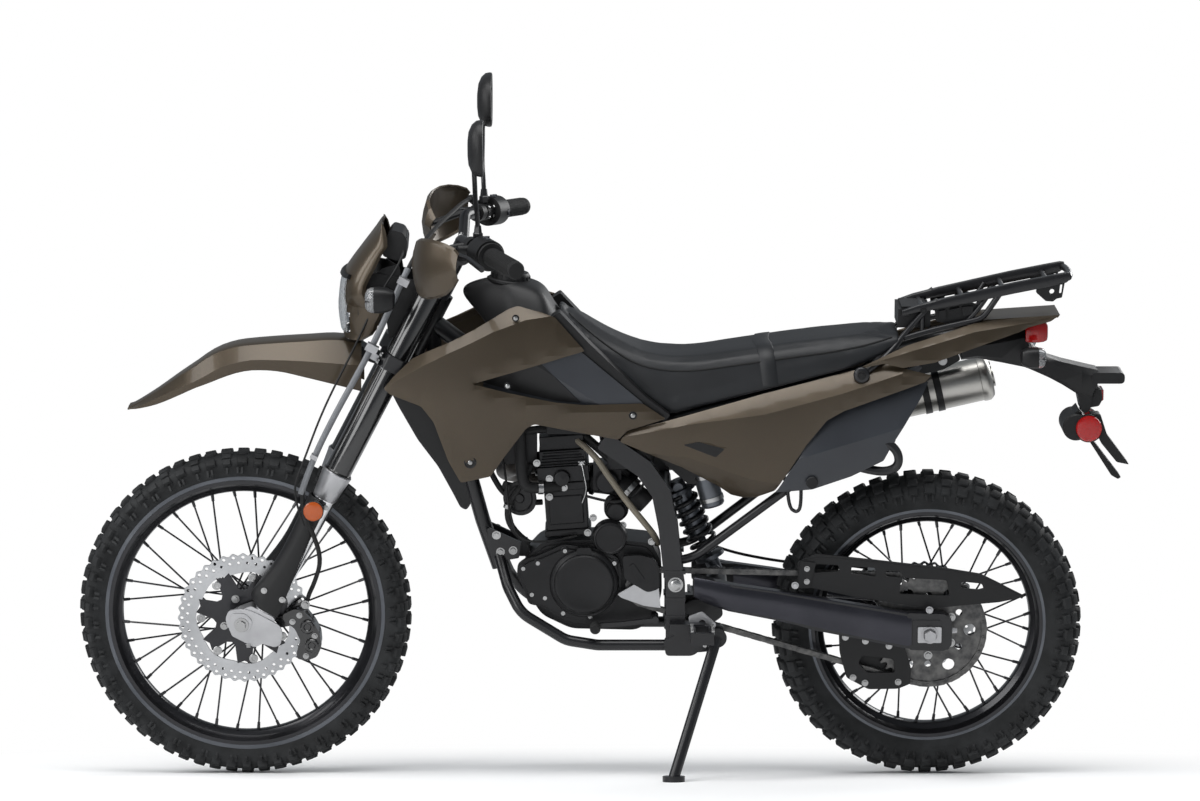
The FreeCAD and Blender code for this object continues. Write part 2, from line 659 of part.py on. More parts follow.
def front_fender():
    stations = [
        (1591, 34, 754, 752, 749), (1531, 46, 790, 779, 763), (1437, 60, 854, 821, 806),
        (1375, 66, 882, 846, 831), (1305, 69, 889, 857, 836), (1240, 69, 893, 855, 823),
        (1160, 67, 895, 848, 803), (1126, 64, 887, 844, 792)]
    sections = []
    for x, w, top, crease, low in stations:
        outer = [V(x, -w, low), V(x, -w + 3, crease), V(x, -w * 0.55, top - 4), V(x, 0, top),
                 V(x, w * 0.55, top - 4), V(x, w - 3, crease), V(x, w, low)]
        inner = [V(x, w - PANEL_T, low), V(x, w - 3 - PANEL_T, crease - 2), V(x, w * 0.5, top - 4 - PANEL_T),
                 V(x, 0, top - PANEL_T), V(x, -w * 0.5, top - 4 - PANEL_T),
                 V(x, -w + 3 + PANEL_T, crease - 2), V(x, -w + PANEL_T, low)]
        sections.append(outer + inner)
    shell = loft(sections)
    back = on_stem(LOWER_CLAMP_FROM - SEAT, 0, -15)
    front = on_stem(LOWER_CLAMP_FROM - SEAT, 0, 52)
    stay_side = [(back.x, back.z), (front.x, front.z), (1128, 879), (1160, 887), (1190, 887), (1190, 880),
                 (1110, 846), (back.x + 36, back.z + 4)]
    return {"front_fender": shell, "fender_stay": plate(stay_side, -30, 30, 0)}


def front_brake():
    y0, y1 = FRONT_DISC_Y - 22, FRONT_DISC_Y + 30
    body = plate([(1284, 345), (1250, 357), (1222, 325), (1213, 290), (1222, 258), (1254, 254), (1284, 293)],
                 y0, y1, 8)
    slot_y0, slot_y1 = FRONT_DISC_Y - MOVING_GAP, FRONT_DISC_Y + DISC_THICKNESS + MOVING_GAP
    body = body.cut(across(FRONT_AXLE.x, FRONT_AXLE.z, FRONT_DISC_R + MOVING_GAP, slot_y0, slot_y1))
    arm = plate([(1256, 345), (1296, 339), (1318, 351), (1284, 318)], slot_y1,
                FORK_SPREAD - LUG_HALF_W - SEAT, 3)
    union = rod(HOSE_START, HOSE_START - HOSE_START_RUN * 24, 7)
    return {"front_caliper": fuse(body, arm, union)}


def brake_hose():
    route = [HOSE_START + HOSE_START_RUN * SEAT, HOSE_START + HOSE_START_RUN * 24, V(1222, 98, 410),
             V(1203, 132, 470), V(1225, 140, 535),
             V(1246, 140, 590), V(1222, 136, 665), V(1172, 130, 765), V(1112, 122, 870), V(1060, 111, 980),
             V(1020, 96, 1066), V(985, 20, 1108), V(950, -80, 1128), V(930, -160, 1136),
             HOSE_END - HOSE_END_RUN * 24, HOSE_END]
    return {"brake_hose": tube(route, 5.5, 60)}


# Rear wheel and drive
def sprocket_radius(teeth):
    return CHAIN_PITCH / (2 * math.sin(math.pi / teeth))


def rear_wheel():
    hub_half = REAR_HUB_W / 2
    bars = spokes(REAR_AXLE, REAR_HUB_FLANGE_R, hub_half - 2, REAR_RIM_INNER_R - 0.6, 6.0)
    left_end = ARM_Y - MOVING_GAP
    sprocket_y = CHAIN_Y - SPROCKET_THICKNESS / 2
    root_r = sprocket_radius(SPROCKET_TEETH) - CHAIN_HEIGHT / 2 - SEAT
    sprocket = across(0, REAR_AXLE.z, root_r, sprocket_y, sprocket_y + SPROCKET_THICKNESS)
    sprocket = sprocket.cut(across(0, REAR_AXLE.z, REAR_SEAT_R + RUNNING, sprocket_y - 1, sprocket_y + 20))
    for i in range(6):
        hole = across(82, REAR_AXLE.z, 13, sprocket_y - 1, sprocket_y + 20)
        hole.rotate(REAR_AXLE, Y_AXIS, 60 * i)
        sprocket = sprocket.cut(hole)
    centre = spun([(sprocket_y - 22, REAR_SEAT_R), (sprocket_y - 22, 58), (sprocket_y - SEAT, 64),
                   (sprocket_y - SEAT, REAR_SEAT_R)], REAR_AXLE)
    back_disc = disc(REAR_AXLE, REAR_DISC_R, REAR_DISC_INNER_R, REAR_DISC_Y, REAR_SEAT_R, 52.0)
    body = hub(REAR_AXLE, REAR_HUB_BARREL_R, REAR_HUB_FLANGE_R, hub_half, left_end, left_end, REAR_SEAT_R,
               REAR_AXLE_R + RUNNING, bars)
    return {
        "rear_tyre": tyre(REAR_AXLE, REAR_TYRE_R, REAR_TYRE_W, REAR_BEAD_R, REAR_RIM_W, REAR_LUG_ROWS),
        "rear_rim": rim(REAR_AXLE, REAR_BEAD_R, REAR_RIM_W),
        "rear_hub": fuse(body, centre),
        "rear_sprocket": sprocket,
        "rear_disc": back_disc,
    }


def loop_outline(grow):
    """The chain's closed path round both sprockets, grown or shrunk evenly, as one wire."""
    big, small = sprocket_radius(SPROCKET_TEETH) + grow, sprocket_radius(DRIVE_TEETH) + grow
    c1, c2 = REAR_AXLE, V(DRIVE_X, 0, DRIVE_Z)
    line = c2 - c1
    slope = math.atan2(line.z, line.x)
    open_angle = math.acos((big - small) / line.Length)

    def at(centre, radius, angle):
        return V(centre.x + radius * math.cos(angle), 0, centre.z + radius * math.sin(angle))
    up, down = slope + open_angle, slope - open_angle
    edges = [Part.Arc(at(c1, big, up), at(c1, big, slope + math.pi), at(c1, big, down)).toShape(),
             Part.LineSegment(at(c1, big, down), at(c2, small, down)).toShape(),
             Part.Arc(at(c2, small, down), at(c2, small, slope), at(c2, small, up)).toShape(),
             Part.LineSegment(at(c2, small, up), at(c1, big, up)).toShape()]
    return Part.Wire(edges)


def loop_plate(grow, y0, y1):
    face = Part.Face(loop_outline(grow))
    face.translate(V(0, y0, 0))
    return face.extrude(V(0, y1 - y0, 0))


def chain_links():
    """The chain's outer edge: full height over each pin and waisted between two pins."""
    crests, waists = loop_outline(CHAIN_HEIGHT / 2), loop_outline(LINK_WAIST / 2)
    links = round(loop_outline(0).Length / CHAIN_PITCH)
    outline = []
    for pin, waist in zip(crests.discretize(2 * links + 1)[:-1:2], waists.discretize(2 * links + 1)[1::2]):
        outline += [(pin.x, pin.z), (waist.x, waist.z)]
    return outline


def drive():
    y0, y1 = CHAIN_Y - CHAIN_WIDTH / 2, CHAIN_Y + CHAIN_WIDTH / 2
    chain = plate(chain_links(), y0, y1).cut(loop_plate(-CHAIN_HEIGHT / 2, y0 - 1, y1 + 1))
    top_edge = [(254, 452), (228, 465), (154, 460), (-20, 434), (-85, 430), (-142, 412), (-190, 382)]
    low_edge = [(-181, 373), (-81, 354), (-24, 342), (32, 344), (106, 358), (176, 371), (250, 385), (276, 408)]
    guard_y = ARM_Y - SEAT
    side = plate(top_edge + low_edge, guard_y - 3, guard_y, 4)
    for x in (-60, 40, 140):
        side = side.cut(plate([(x, 410 + x * 0.12), (x + 66, 418 + x * 0.12), (x + 60, 402 + x * 0.12),
                               (x - 6, 394 + x * 0.12)], 70, 100, 3))
    roof = plate(top_edge[1:] + [(x, z - 3) for x, z in top_edge[:0:-1]], y0 - 2, guard_y)
    guard = fuse(side, roof)
    guide_side = [(176, 308), (50, 283), (34, 234), (36, 203), (119, 192), (163, 216)]
    guide = plate(guide_side, y0 - 7, y1 + 6.7, 6).cut(loop_plate(CHAIN_HEIGHT / 2 + 4, y0 - 3, y1 + 2))
    guide = guide.cut(across(0, REAR_AXLE.z, REAR_GUIDE_ROOM, y0 - 10, y0))
    return {"drive_chain": chain, "chain_guard": guard, "chain_guide": guide}


def swingarm():
    upper = [(470, 424), (404, 412), (308, 397), (256, 388), (38, 351)]
    lower = [(-40, 279), (38, 281), (230, 319), (291, 338), (417, 362), (470, 384)]
    side = upper + [(-40, 349)] + lower
    profile = plate(side, 40, 130, 4)
    plan = [(-42, ARM_Y), (380, ARM_Y), (452, 62), (500, 62), (500, 82), (460, 84), (392, ARM_Y + ARM_THICKNESS),
            (-42, ARM_Y + ARM_THICKNESS)]
    arm = profile.common(slab(plan, 200, 500, 10))
    arm = fuse(arm, across(PIVOT.x, PIVOT.z, PIVOT_TUBE_R, 60, SPAR_Y - SEAT))
    bridge = plate([(400, BRIDGE_TOP), (444, BRIDGE_TOP), (446, 372), (404, 366)], -ARM_Y - 4, ARM_Y + 4, 6)
    barrel = across(PIVOT.x, PIVOT.z, PIVOT_TUBE_R - 2, -70, 70)
    bolt_end = SPAR_Y + SPAR_THICKNESS
    bolt = across(PIVOT.x, PIVOT.z, PIVOT_BOLT_R, -bolt_end, bolt_end)
    axle_bore = across(0, REAR_AXLE.z, REAR_AXLE_R + RUNNING, -140, 140)
    whole = joined_pair(arm).multiFuse([bridge, barrel, bolt]).removeSplitter().cut(axle_bore)
    axle = across(0, REAR_AXLE.z, REAR_AXLE_R, -ARM_Y - ARM_THICKNESS - 14, ARM_Y + ARM_THICKNESS + 14)
    return {"swingarm": whole, "rear_axle": axle}


def shock():
    top = SHOCK_BAR - V(SHOCK_BAR_R + SHOCK_EYE_R + SEAT, 0, 2)
    bottom = V(424, 0, BRIDGE_TOP + SHOCK_EYE_R + SEAT)
    axis = (bottom - top).normalize()
    body = fuse(rod(top, bottom, 11), rod(top + axis * 30, bottom - axis * 26, 31),
                across(top.x, top.z, SHOCK_EYE_R, -16, 16),
                across(bottom.x, bottom.z, SHOCK_EYE_R, -16, 16))
    return {"rear_shock": body}


# Frame
def main_frame():
    head_low, head_high = on_stem(HEAD_TUBE_FROM), on_stem(HEAD_TUBE_TO)
    head = rod(head_low, head_high, HEAD_TUBE_R)
    spine = spine_tube(SPINE_R)
    down = tube([on_stem(690, 0, -16), V(979, 0, 818), V(917, 0, 623), V(889, 0, 520), V(856, 0, 424)],
                DOWNTUBE_R, 120)
    cradle = tube([V(862, 10, 470), V(838, 70, 398), V(812, CRADLE_Y, 352), V(722, CRADLE_Y, 296),
                   V(660, CRADLE_Y, 286), V(505, CRADLE_Y, 286)], TUBE_R, 60)
    spar_line = [(650, 704), (568, 647), (534, 598), (520, 528), (511, 446), (505, 412), (505, 280)]
    spar = plate(band(spar_line, SPAR_WIDTH), SPAR_Y, SPAR_Y + SPAR_THICKNESS, 6)
    cross = fuse(across(505, 286, 13, 0, SPAR_Y + 10),
                 across(SHOCK_BAR.x, SHOCK_BAR.z, SHOCK_BAR_R, 0, SPAR_Y + 6))
    mount = plate([(880, 512), (812, 480), (816, 448), (862, 440), (876, 470)], 24 + SEAT, 32, 4)
    stand_tab = plate([(520, 300), (470, 326), (410, 330), (404, 292), (430, 276), (520, 268)],
                      SPAR_Y + 8, SPAR_Y + SPAR_THICKNESS - 6, 8)
    axis = stand_axis()
    stand_lug = rod(STAND_PIVOT - axis * 34, STAND_PIVOT - axis * (STAND_BOSS_T + SEAT), STAND_BOSS_R)
    whole = joined_pair(cradle, spar, spar_brace(BRACE_R), cross, mount)
    whole = whole.multiFuse([head, spine, down, stand_tab, stand_lug]).removeSplitter()
    whole = whole.cut(rod(on_stem(600), on_stem(800), STEM_R + RUNNING))
    whole = whole.cut(across(PIVOT.x, PIVOT.z, PIVOT_BOLT_R + RUNNING, -200, 200))
    return whole.cut(stand_pin(STAND_PIN_R + RUNNING, 60))


def spine_tube(radius):
    return tube([on_stem(700), V(880, 0, 842), V(700, 0, 772), V(640, 0, 722)], radius, 80)


def spar_brace(radius):
    return rod(V(650, 0, 735), V(640, SPAR_Y + 10, 700), radius)


def subframe():
    inside = SPAR_Y - RAIL_R - SEAT
    upper = tube([V(640, inside, 704), V(560, inside, 729), V(500, RAIL_Y, 746), V(337, RAIL_Y, 788),
                  V(159, RAIL_Y - 4, 833),
                  V(30, RAIL_Y - 10, 868), V(-120, 52, 902)], RAIL_R, 120)
    upper = upper.cut(spar_brace(BRACE_R + SEAT))
    start_y = SPAR_Y - 9 - SEAT
    lower = tube([V(508, start_y, 452), V(468, start_y, 460), V(279, RAIL_Y, 604),
                  V(96, RAIL_Y - 8, 848)], 9, 100)
    cross = across(-100, 896, 9, 0, 56)
    cross_mid = across(337, 786, 9, 0, RAIL_Y)
    return {"subframe": joined_pair(upper, lower, cross, cross_mid)}


# Engine
def engine():
    case = plate([(808, 446), (800, 380), (770, 336), (712, 309), (580, 306), (544, 332), (530, 384),
                  (532, 446), (552, 484), (640, 492), (770, 486)], -CASE_HALF_W, CASE_HALF_W, 18)
    lug = across(830, 462, 13, -24, 24)
    neck = block(790, 828, -24, 24, 452, 472)
    deck = on_cylinder(upright_block((CYLINDER_SIZE[0] + 10, CYLINDER_SIZE[1] - 4), 30, CASE_DECK - 30))
    case = fuse(case, lug, neck, deck)
    y = CASE_HALF_W
    generator = fuse(across(695, 413, 86, y, y + 34), across(695, 413, 61, y + 34, y + 42))
    starter = across(634, 493, 33, y - 40, y + 22)
    generator = generator.cut(across(634, 493, 33 + SEAT, y, y + 60))
    clutch = mirrored(fuse(across(640, 402, 88, y, y + 42), across(715, 400, 60, y, y + 36)))
    cover = plate([(617, 462), (592, 470), (545, 460), (536, 440), (536, 362), (560, 354), (600, 358)],
                  y, y + 38, 10)
    cover = cover.cut(loop_plate(CHAIN_HEIGHT / 2 + 2, y - 1, CHAIN_Y + CHAIN_WIDTH / 2 + 2))
    cover = cover.cut(across(695, 413, 86 + SEAT, y - 1, y + 60))
    return {"crankcase": fuse(case, starter), "engine_covers": Part.makeCompound([generator, cover, clutch])}


def upright_block(size, height, lift):
    w, d = size
    return Part.makeBox(w, d, height, V(-w / 2, -d / 2, lift))


def finned(size, height, lift):
    """A square-cornered barrel with fins round it."""
    core = (size[0] - 2 * FIN_DEPTH, size[1] - 2 * FIN_DEPTH)
    pieces = [upright_block(core, height, lift)]
    fins = int(height // FIN_PITCH)
    for i in range(fins):
        pieces.append(upright_block(size, FIN_THICKNESS, lift + FIN_PITCH * (i + 0.5)))
    return fuse(*pieces)


def on_cylinder(shape):
    shape.Placement = FreeCAD.Placement(CYLINDER_BASE, FreeCAD.Rotation(Y_AXIS, CYLINDER_TILT))
    return shape


def top_end():
    base = upright_block((CYLINDER_SIZE[0] + 6, CYLINDER_SIZE[1] - 8), 12, CASE_DECK)
    cylinder = fuse(finned(CYLINDER_SIZE, CYLINDER_HEIGHT - 14, 14), base)
    head = fuse(finned(HEAD_SIZE, HEAD_HEIGHT, CYLINDER_HEIGHT + SEAT),
                upright_block((HEAD_SIZE[0] - 18, HEAD_SIZE[1] - 26), HEAD_COVER_HEIGHT,
                              CYLINDER_HEIGHT + SEAT + HEAD_HEIGHT))
    port = Part.makeCylinder(24, PORT_OUT, V(0, 0, PORT_UP), V(1, 0, 0))
    return {"cylinder": on_cylinder(cylinder), "cylinder_head": on_cylinder(fuse(head, port))}


def port_mouth(gap):
    """The middle of the exhaust port's mouth, or a point a gap ahead of it."""
    turn = FreeCAD.Rotation(Y_AXIS, CYLINDER_TILT)
    return CYLINDER_BASE + turn.multVec(V(PORT_OUT + gap, 0, PORT_UP))


def exhaust_route():
    return [port_mouth(SEAT), port_mouth(SEAT + 34), V(852, -70, 606), V(800, -137, 582),
            V(660, -142, 588), V(500, -142, 612), V(420, -122, 634), V(300, -119, 674), muffler_axis(-14)]


def muffler_axis(along):
    """A point on the muffler's axis, measured from its front end."""
    rise = math.radians(13)
    return V(196 - along * math.cos(rise), MUFFLER_Y, 708 + along * math.sin(rise))


def exhaust():
    pipe = tube(exhaust_route() + [muffler_axis(20)], PIPE_R, 50)
    body = fuse(rod(muffler_axis(40), muffler_axis(330), MUFFLER_R),
                Part.makeCone(PIPE_R + 3, MUFFLER_R, 36, muffler_axis(4), muffler_axis(40) - muffler_axis(4)))
    tip = rod(muffler_axis(330), muffler_axis(340), MUFFLER_R - 6)
    outlet = rod(muffler_axis(300), muffler_axis(345), 20)
    inlet = tube(exhaust_route()[6:] + [muffler_axis(20 + SEAT)], PIPE_R + SEAT, 50)
    body = fuse(body, tip).cut(outlet).cut(inlet)
    return {"exhaust_pipe": pipe, "muffler": body}


def exhaust_room():
    """The space the pipe and muffler need, which the right-hand panels leave free."""
    return fuse(tube(exhaust_route()[4:] + [muffler_axis(20)], PIPE_R + 6, 50),
                rod(muffler_axis(-10), muffler_axis(340), MUFFLER_R + 6))


# Tank, seat and panels
def steering_room():
    """The space that the fork legs and clamps sweep behind the steering axis, at full lock."""
    edge = [(-42, 0), (-98, 68), (-98, 140), (20, 140), (20, -140), (-98, -140), (-98, -68)]
    corners = [on_stem(LOWER_CLAMP_FROM - 20, y, out) for out, y in edge]
    face = Part.Face(Part.makePolygon(corners + corners[:1]))
    return outward(face.extrude(UP_FORK * (OUTER_TUBE_TO + MOVING_GAP - LOWER_CLAMP_FROM + 20)))


def tank():
    stations = [(936, 16, 984, 26, 950), (915, 26, 1001, 36, 916), (880, 44, 1011, 56, 856),
                (840, 70, 1009, 100, 824), (790, 88, 1002, 124, 802), (752, 92, 979, 126, 786),
                (741, 88, 952, 126, 784), (700, 84, 897, 122, 776), (640, 80, 832, 118, 762)]
    sections = []
    for x, top_w, top, w, low in stations:
        middle = low + 0.35 * (top - low)
        sections.append([V(x, -w, low), V(x, -w, middle), V(x, -top_w * 0.7, top - 5), V(x, 0, top),
                         V(x, top_w * 0.7, top - 5), V(x, w, middle), V(x, w, low)])
    body = loft(sections).cut(spine_tube(SPINE_R + SEAT)).cut(steering_room())
    cap_foot = V(831, 0, 1000)
    cap_up = V(-0.09, 0, 1).normalize()
    cap = rod(cap_foot + cap_up * 6, cap_foot + cap_up * 24, 42)
    body = body.cut(rod(cap_foot + cap_up * (6 - SEAT), cap_foot + cap_up * 60, 42 + SEAT))
    return {"fuel_tank": body, "fuel_cap": cap}


SHROUD_SKIN = [
    (1090, [(600, 158), (780, 168), (840, 166), (880, 158), (1000, 150)]),
    (951, [(600, 150), (780, 170), (860, 168), (905, 156), (1000, 146)]),
    (905, [(600, 146), (780, 170), (870, 166), (925, 150), (1000, 138)]),
    (840, [(600, 140), (770, 166), (880, 160), (965, 122), (1000, 116)]),
    (700, [(600, 132), (760, 154), (860, 146), (950, 112), (1000, 108)]),
    (505, [(600, 128), (740, 144), (800, 138), (960, 122), (1000, 118)])]
SHROUD_UPPER = [(1075, 819), (1058, 841), (1022, 874), (1000, 885), (945, 908), (901, 930), (834, 968),
                (815, 974), (768, 963), (743, 955), (684, 888)]
SHROUD_SLOT = [(767, 864), (904, 827), (831, 808), (743, 788), (686, 782), (571, 784)]
SHROUD_LOWER = [(525, 753), (602, 729), (618, 711), (694, 726), (783, 745), (799, 737), (839, 683), (870, 638),
                (928, 626), (952, 671), (980, 751), (1004, 783), (1065, 807)]
COVER_SKIN = [
    (640, [(540, 118), (680, 140), (730, 142), (800, 128), (900, 120)]),
    (500, [(540, 122), (650, 144), (720, 144), (780, 129), (900, 122)]),
    (340, [(540, 120), (640, 142), (740, 142), (805, 128), (900, 122)]),
    (160, [(540, 112), (680, 126), (780, 124), (845, 116), (900, 110)]),
    (-30, [(540, 100), (700, 110), (800, 106), (840, 100), (900, 96)])]
COVER_LOW_EDGE = [(15, 819), (175, 764), (208, 746), (248, 698), (309, 604)]


def inset_edge(points, dx, dz):
    return [(x + dx, z + dz) for x, z in points]


def panels():
    shroud = skin_panel(SHROUD_UPPER + SHROUD_SLOT + SHROUD_LOWER, SHROUD_SKIN, radius=4)
    infill_side = [(694, 890), (767, 878), (880, 842), (880, 812), (831, 797), (743, 777), (686, 771),
                   (580, 773), (572, 781)]
    infill = skin_panel(infill_side, SHROUD_SKIN, inset=PANEL_T + SEAT, radius=3)
    pegs = [rod(V(700, 123.4, 800), V(700, 145, 800), 7), rod(V(790, 125.2, 838), V(790, 158, 838), 7)]
    infill = fuse(infill, *pegs)
    g = PANEL_GAP
    cover_side = [(616, 708 - g), (601, 729 - g), (524, 748), (338, 798), (160, 842), (97, 858), (0, 833)]
    cover_side += inset_edge(COVER_LOW_EDGE, g, g)
    cover_side += [(348, 589), (371, 588), (396, 594), (421, 613), (496, 655), (585, 694)]
    vent = [(486, 701), (475, 708), (411, 691), (428, 676)]
    cover = skin_panel(cover_side, COVER_SKIN, radius=4).cut(plate(vent, 20, 260, 4))
    cover = fuse(cover, rod(V(350, RAIL_Y + RAIL_R + SEAT, 779), V(350, 133, 779), 6))
    rear_side = [(309, 604), (236, 608), (160, 633), (96, 664), (78, 698), (21, 789), (9, 816)]
    rear = skin_panel(rear_side + COVER_LOW_EDGE[:-1], COVER_SKIN, radius=3)
    room = exhaust_room()
    return {"shrouds": pair(shroud), "tank_side_panels": pair(infill),
            "side_covers": Part.makeCompound([cover, mirrored(cover).cut(room)]),
            "rear_panels": Part.makeCompound([rear, mirrored(rear).cut(room)])}


def seat():
    stations = [(739, 52, 973, 955), (682, 78, 938, 890), (606, 98, 892, 822), (564, 108, 875, 784),
                (518, 116, 869, 754), (466, 120, 871, 766), (337, 120, 889, 801), (159, 110, 911, 846),
                (62, 92, 923, 890)]
    sections = []
    for x, w, top, low in stations:
        shoulder = top - 0.35 * (top - low)
        sections.append([V(x, -w, low), V(x, -w, shoulder), V(x, -w * 0.8, top - 5), V(x, 0, top),
                         V(x, w * 0.8, top - 5), V(x, w, shoulder), V(x, w, low)])
    return {"seat": loft(sections)}


TAIL_SKIN = [
    (160, [(780, 124), (840, 118), (900, 112), (960, 106)]),
    (0, [(780, 112), (860, 108), (900, 102), (960, 98)]),
    (-110, [(780, 96), (880, 92), (920, 86), (960, 82)]),
    (-260, [(780, 70), (900, 64), (930, 60), (960, 56)])]


def plate_hole(side):
    """A number plate hole's mouth on the back of the flap."""
    return FLAP_FOOT + FLAP_UP * PLATE_HOLE_UP + V(0, side * PLATE_HOLE_SPREAD, 0)


def tail():
    side = [(150, 847), (53, 891), (-82, 931), (-110, 935), (-252, 945), (-234, 933), (-188, 922), (-174, 915),
            (-74, 883), (-4, 859), (60, 850), (97, 859)]
    flank = skin_panel(side, TAIL_SKIN, radius=3)
    lid = plate([(-60, 926), (-82, 931), (-110, 935), (-250, 945), (-246, 941), (-110, 931), (-82, 927),
                 (-60, 922)], -110, 110, 0)
    envelope = loft([[V(x, -line[2][1] + 1, 780), V(x, -line[2][1] + 1, 990), V(x, line[2][1] - 1, 990),
                      V(x, line[2][1] - 1, 780)] for x, line in TAIL_SKIN])
    lid = lid.common(envelope)
    lamp = plate([(-189, 924), (-229, 926), (-221, 888), (-189, 888)], -46, 46, 4)
    lamp = fuse(lamp, block(-215, -195, -20, 20, 920, 937))
    flank = fuse(flank, rod(V(-20, 77, 879), V(-20, 101, 879), 6))
    flap_inner = [FLAP_FOOT - FLAP_BACK * FLAP_T, FLAP_FOOT - FLAP_BACK * FLAP_T + FLAP_UP * 66]
    arm_side = [(-92, 896 - 9 - SEAT), (-180, 884), (-226, 851), (-270, 838), (-381, 824), (-383, 803),
                (-338, 800), (-345, 752), (FLAP_FOOT.x, FLAP_FOOT.z)] + [(p.x, p.z) for p in flap_inner]
    arm_side += [(-332, 708), (-289, 749), (-272, 790), (-195, 835), (-92, 857)]
    arm = plate(arm_side, -38, 38)
    for side in (-1, 1):
        hole = plate_hole(side)
        arm = arm.cut(rod(hole + FLAP_BACK * 5, hole - FLAP_BACK * (FLAP_T + 5), PLATE_HOLE_R))
    guard_line = [(338, 400), (334, 480), (306, 560), (246, 640), (150, 716), (30, 786), (-90, 855.2),
                  (-150, 842.4)]
    guard = plate(band(guard_line, 3.5), -60, 60, 0)
    return {"tail_cowl": fuse(flank, mirrored(flank), lid), "tail_lamp": lamp,
            "rear_fender": Part.makeCompound([arm, guard]),
            "rear_signals": pair(signal(-205, 92, 870, 50, 40, 34, V(-205, 38 + SEAT, 856)))}


def rack():
    y = 66
    top = tube([V(58, y, 958), V(-40, y, 982), V(-160, y, 1007), V(-262, y, 1028)], 5.5, 60)
    strut = rod(V(6, y, 968), V(6, y, 885), 6)
    bars = [across(x, z, 5, 0, y) for x, z in ((-40, 982), (-110, 997), (-180, 1011), (-258, 1027))]
    rear_strut = rod(V(-140, y, 1003), V(-107, y, 938), 6)
    end_plate = plate([(-206, 1012), (-203, 990), (-222, 976), (-250, 980), (-258, 1022)], y - 4, y + 4, 6)
    return {"carrier_rack": joined_pair(top, strut, rear_strut, end_plate, *bars)}


# Foot controls and small pieces
def rear_brake():
    """A caliper above the right arm, which straddles the disc and stands on a bracket on the arm."""
    y0 = SEAT - ARM_Y
    y1 = REAR_DISC_Y + DISC_THICKNESS + 15
    body = plate([(52, 376), (98, 348), (130, 356), (136, 380), (112, 404), (74, 412)], y0, y1, 8)
    body = body.cut(across(REAR_AXLE.x, REAR_AXLE.z, REAR_DISC_R + MOVING_GAP, REAR_DISC_Y - MOVING_GAP,
                           REAR_DISC_Y + DISC_THICKNESS + MOVING_GAP))
    foot = plate([(66, 355.8 + SEAT), (120, 364.9 + SEAT), (124, 384), (70, 384)], -ARM_Y - 16, y0 + 4)
    return {"rear_caliper": fuse(body, foot)}


def foot_levers():
    """The shift lever on the left and the brake pedal on the right."""
    y0 = CASE_HALF_W + 34 + 6
    shaft = across(545, 338, 7, CASE_HALF_W + 1, y0 + 8)
    lever = plate(band([(545, 338), (610, 330), (668, 326)], 9), y0, y0 + 7, 2)
    toe = across(664, 326, 7, y0, y0 + 34)
    shift = fuse(shaft, lever, toe)
    y1 = -SPAR_Y - SPAR_THICKNESS - SEAT
    pivot = across(560, 296, 9, -CRADLE_Y - TUBE_R - 22, -CRADLE_Y - TUBE_R - SEAT)
    arm = plate(band([(560, 296), (620, 306), (690, 330)], 11), y1 - 12, y1 - 5, 2)
    pad = block(672, 706, y1 - 30, y1 - 5, 326, 336)
    return shift, fuse(pivot, arm, pad)


def foot_pegs():
    y0 = SPAR_Y + SPAR_THICKNESS + SEAT
    peg = block(430, 476, y0 + 24, y0 + 92, 312, 336)
    peg = peg.cut(block(440, 466, y0 + 32, y0 + 84, 300, 340))
    arm = block(447, 516, y0, y0 + 26, 316, 338)
    peg = fuse(peg, arm)
    return {"foot_controls": Part.makeCompound([peg, mirrored(peg), *foot_levers()])}


def airbox():
    side = [(360, 640), (390, 606), (480, 606), (540, 660), (560, 700), (532, 738), (360, 780)]
    half = SPAR_Y - 2 * (RAIL_R + SEAT)
    box = plate(side, -half, half, 12).cut(across(337, 786, 9 + SEAT, -half, half))
    return {"airbox": box}


def stand_axis():
    """The hinge line about which the stand turns from down to stowed, pointing left."""
    down, stowed = V(STAND_DOWN).normalize(), V(STAND_STOWED).normalize()
    half_way = (down + stowed).normalize()
    across_fold = down.cross(stowed).normalize()
    swing = half_way.cross(across_fold)
    tilt = math.radians(STAND_FOLD_TILT)
    axis = (across_fold * math.cos(tilt) + half_way * math.sin(tilt)).normalize()
    return axis if axis.y > 0 else axis * -1


def stand_pin(radius, reach):
    axis = stand_axis()
    return rod(STAND_PIVOT - axis * reach, STAND_PIVOT, radius)


def floor_distance(point):
    """How far a point of the upright machine is above the floor once it is leaned."""
    lean = math.radians(LEAN)
    return point.z * math.cos(lean) - (point.y - CROWN_HALF_W) * math.sin(lean)


def side_stand():
    axis = stand_axis()
    down = V(STAND_DOWN).normalize()
    boss = rod(STAND_PIVOT - axis * STAND_BOSS_T, STAND_PIVOT, STAND_BOSS_R)
    start = STAND_PIVOT - axis * (STAND_BOSS_T / 2)
    fall = floor_distance(start) - floor_distance(start + down)
    end = start + down * ((floor_distance(start) - FOOT_T) / fall)
    leg = rod(start, end, STAND_R).cut(rod(start - axis * 30, STAND_PIVOT - axis * STAND_BOSS_T, 40))
    pin = rod(STAND_PIVOT - axis * 33, STAND_PIVOT, STAND_PIN_R)
    up = V(0, -math.sin(math.radians(LEAN)), math.cos(math.radians(LEAN)))
    sole = end - up * FOOT_T
    foot = Part.makeCylinder(FOOT_R, FOOT_T + 4, sole, up)
    below = Part.makeCylinder(2 * FOOT_R, FOOT_R, sole, -up)
    return {"side_stand": fuse(boss, leg, pin, foot).cut(below)}


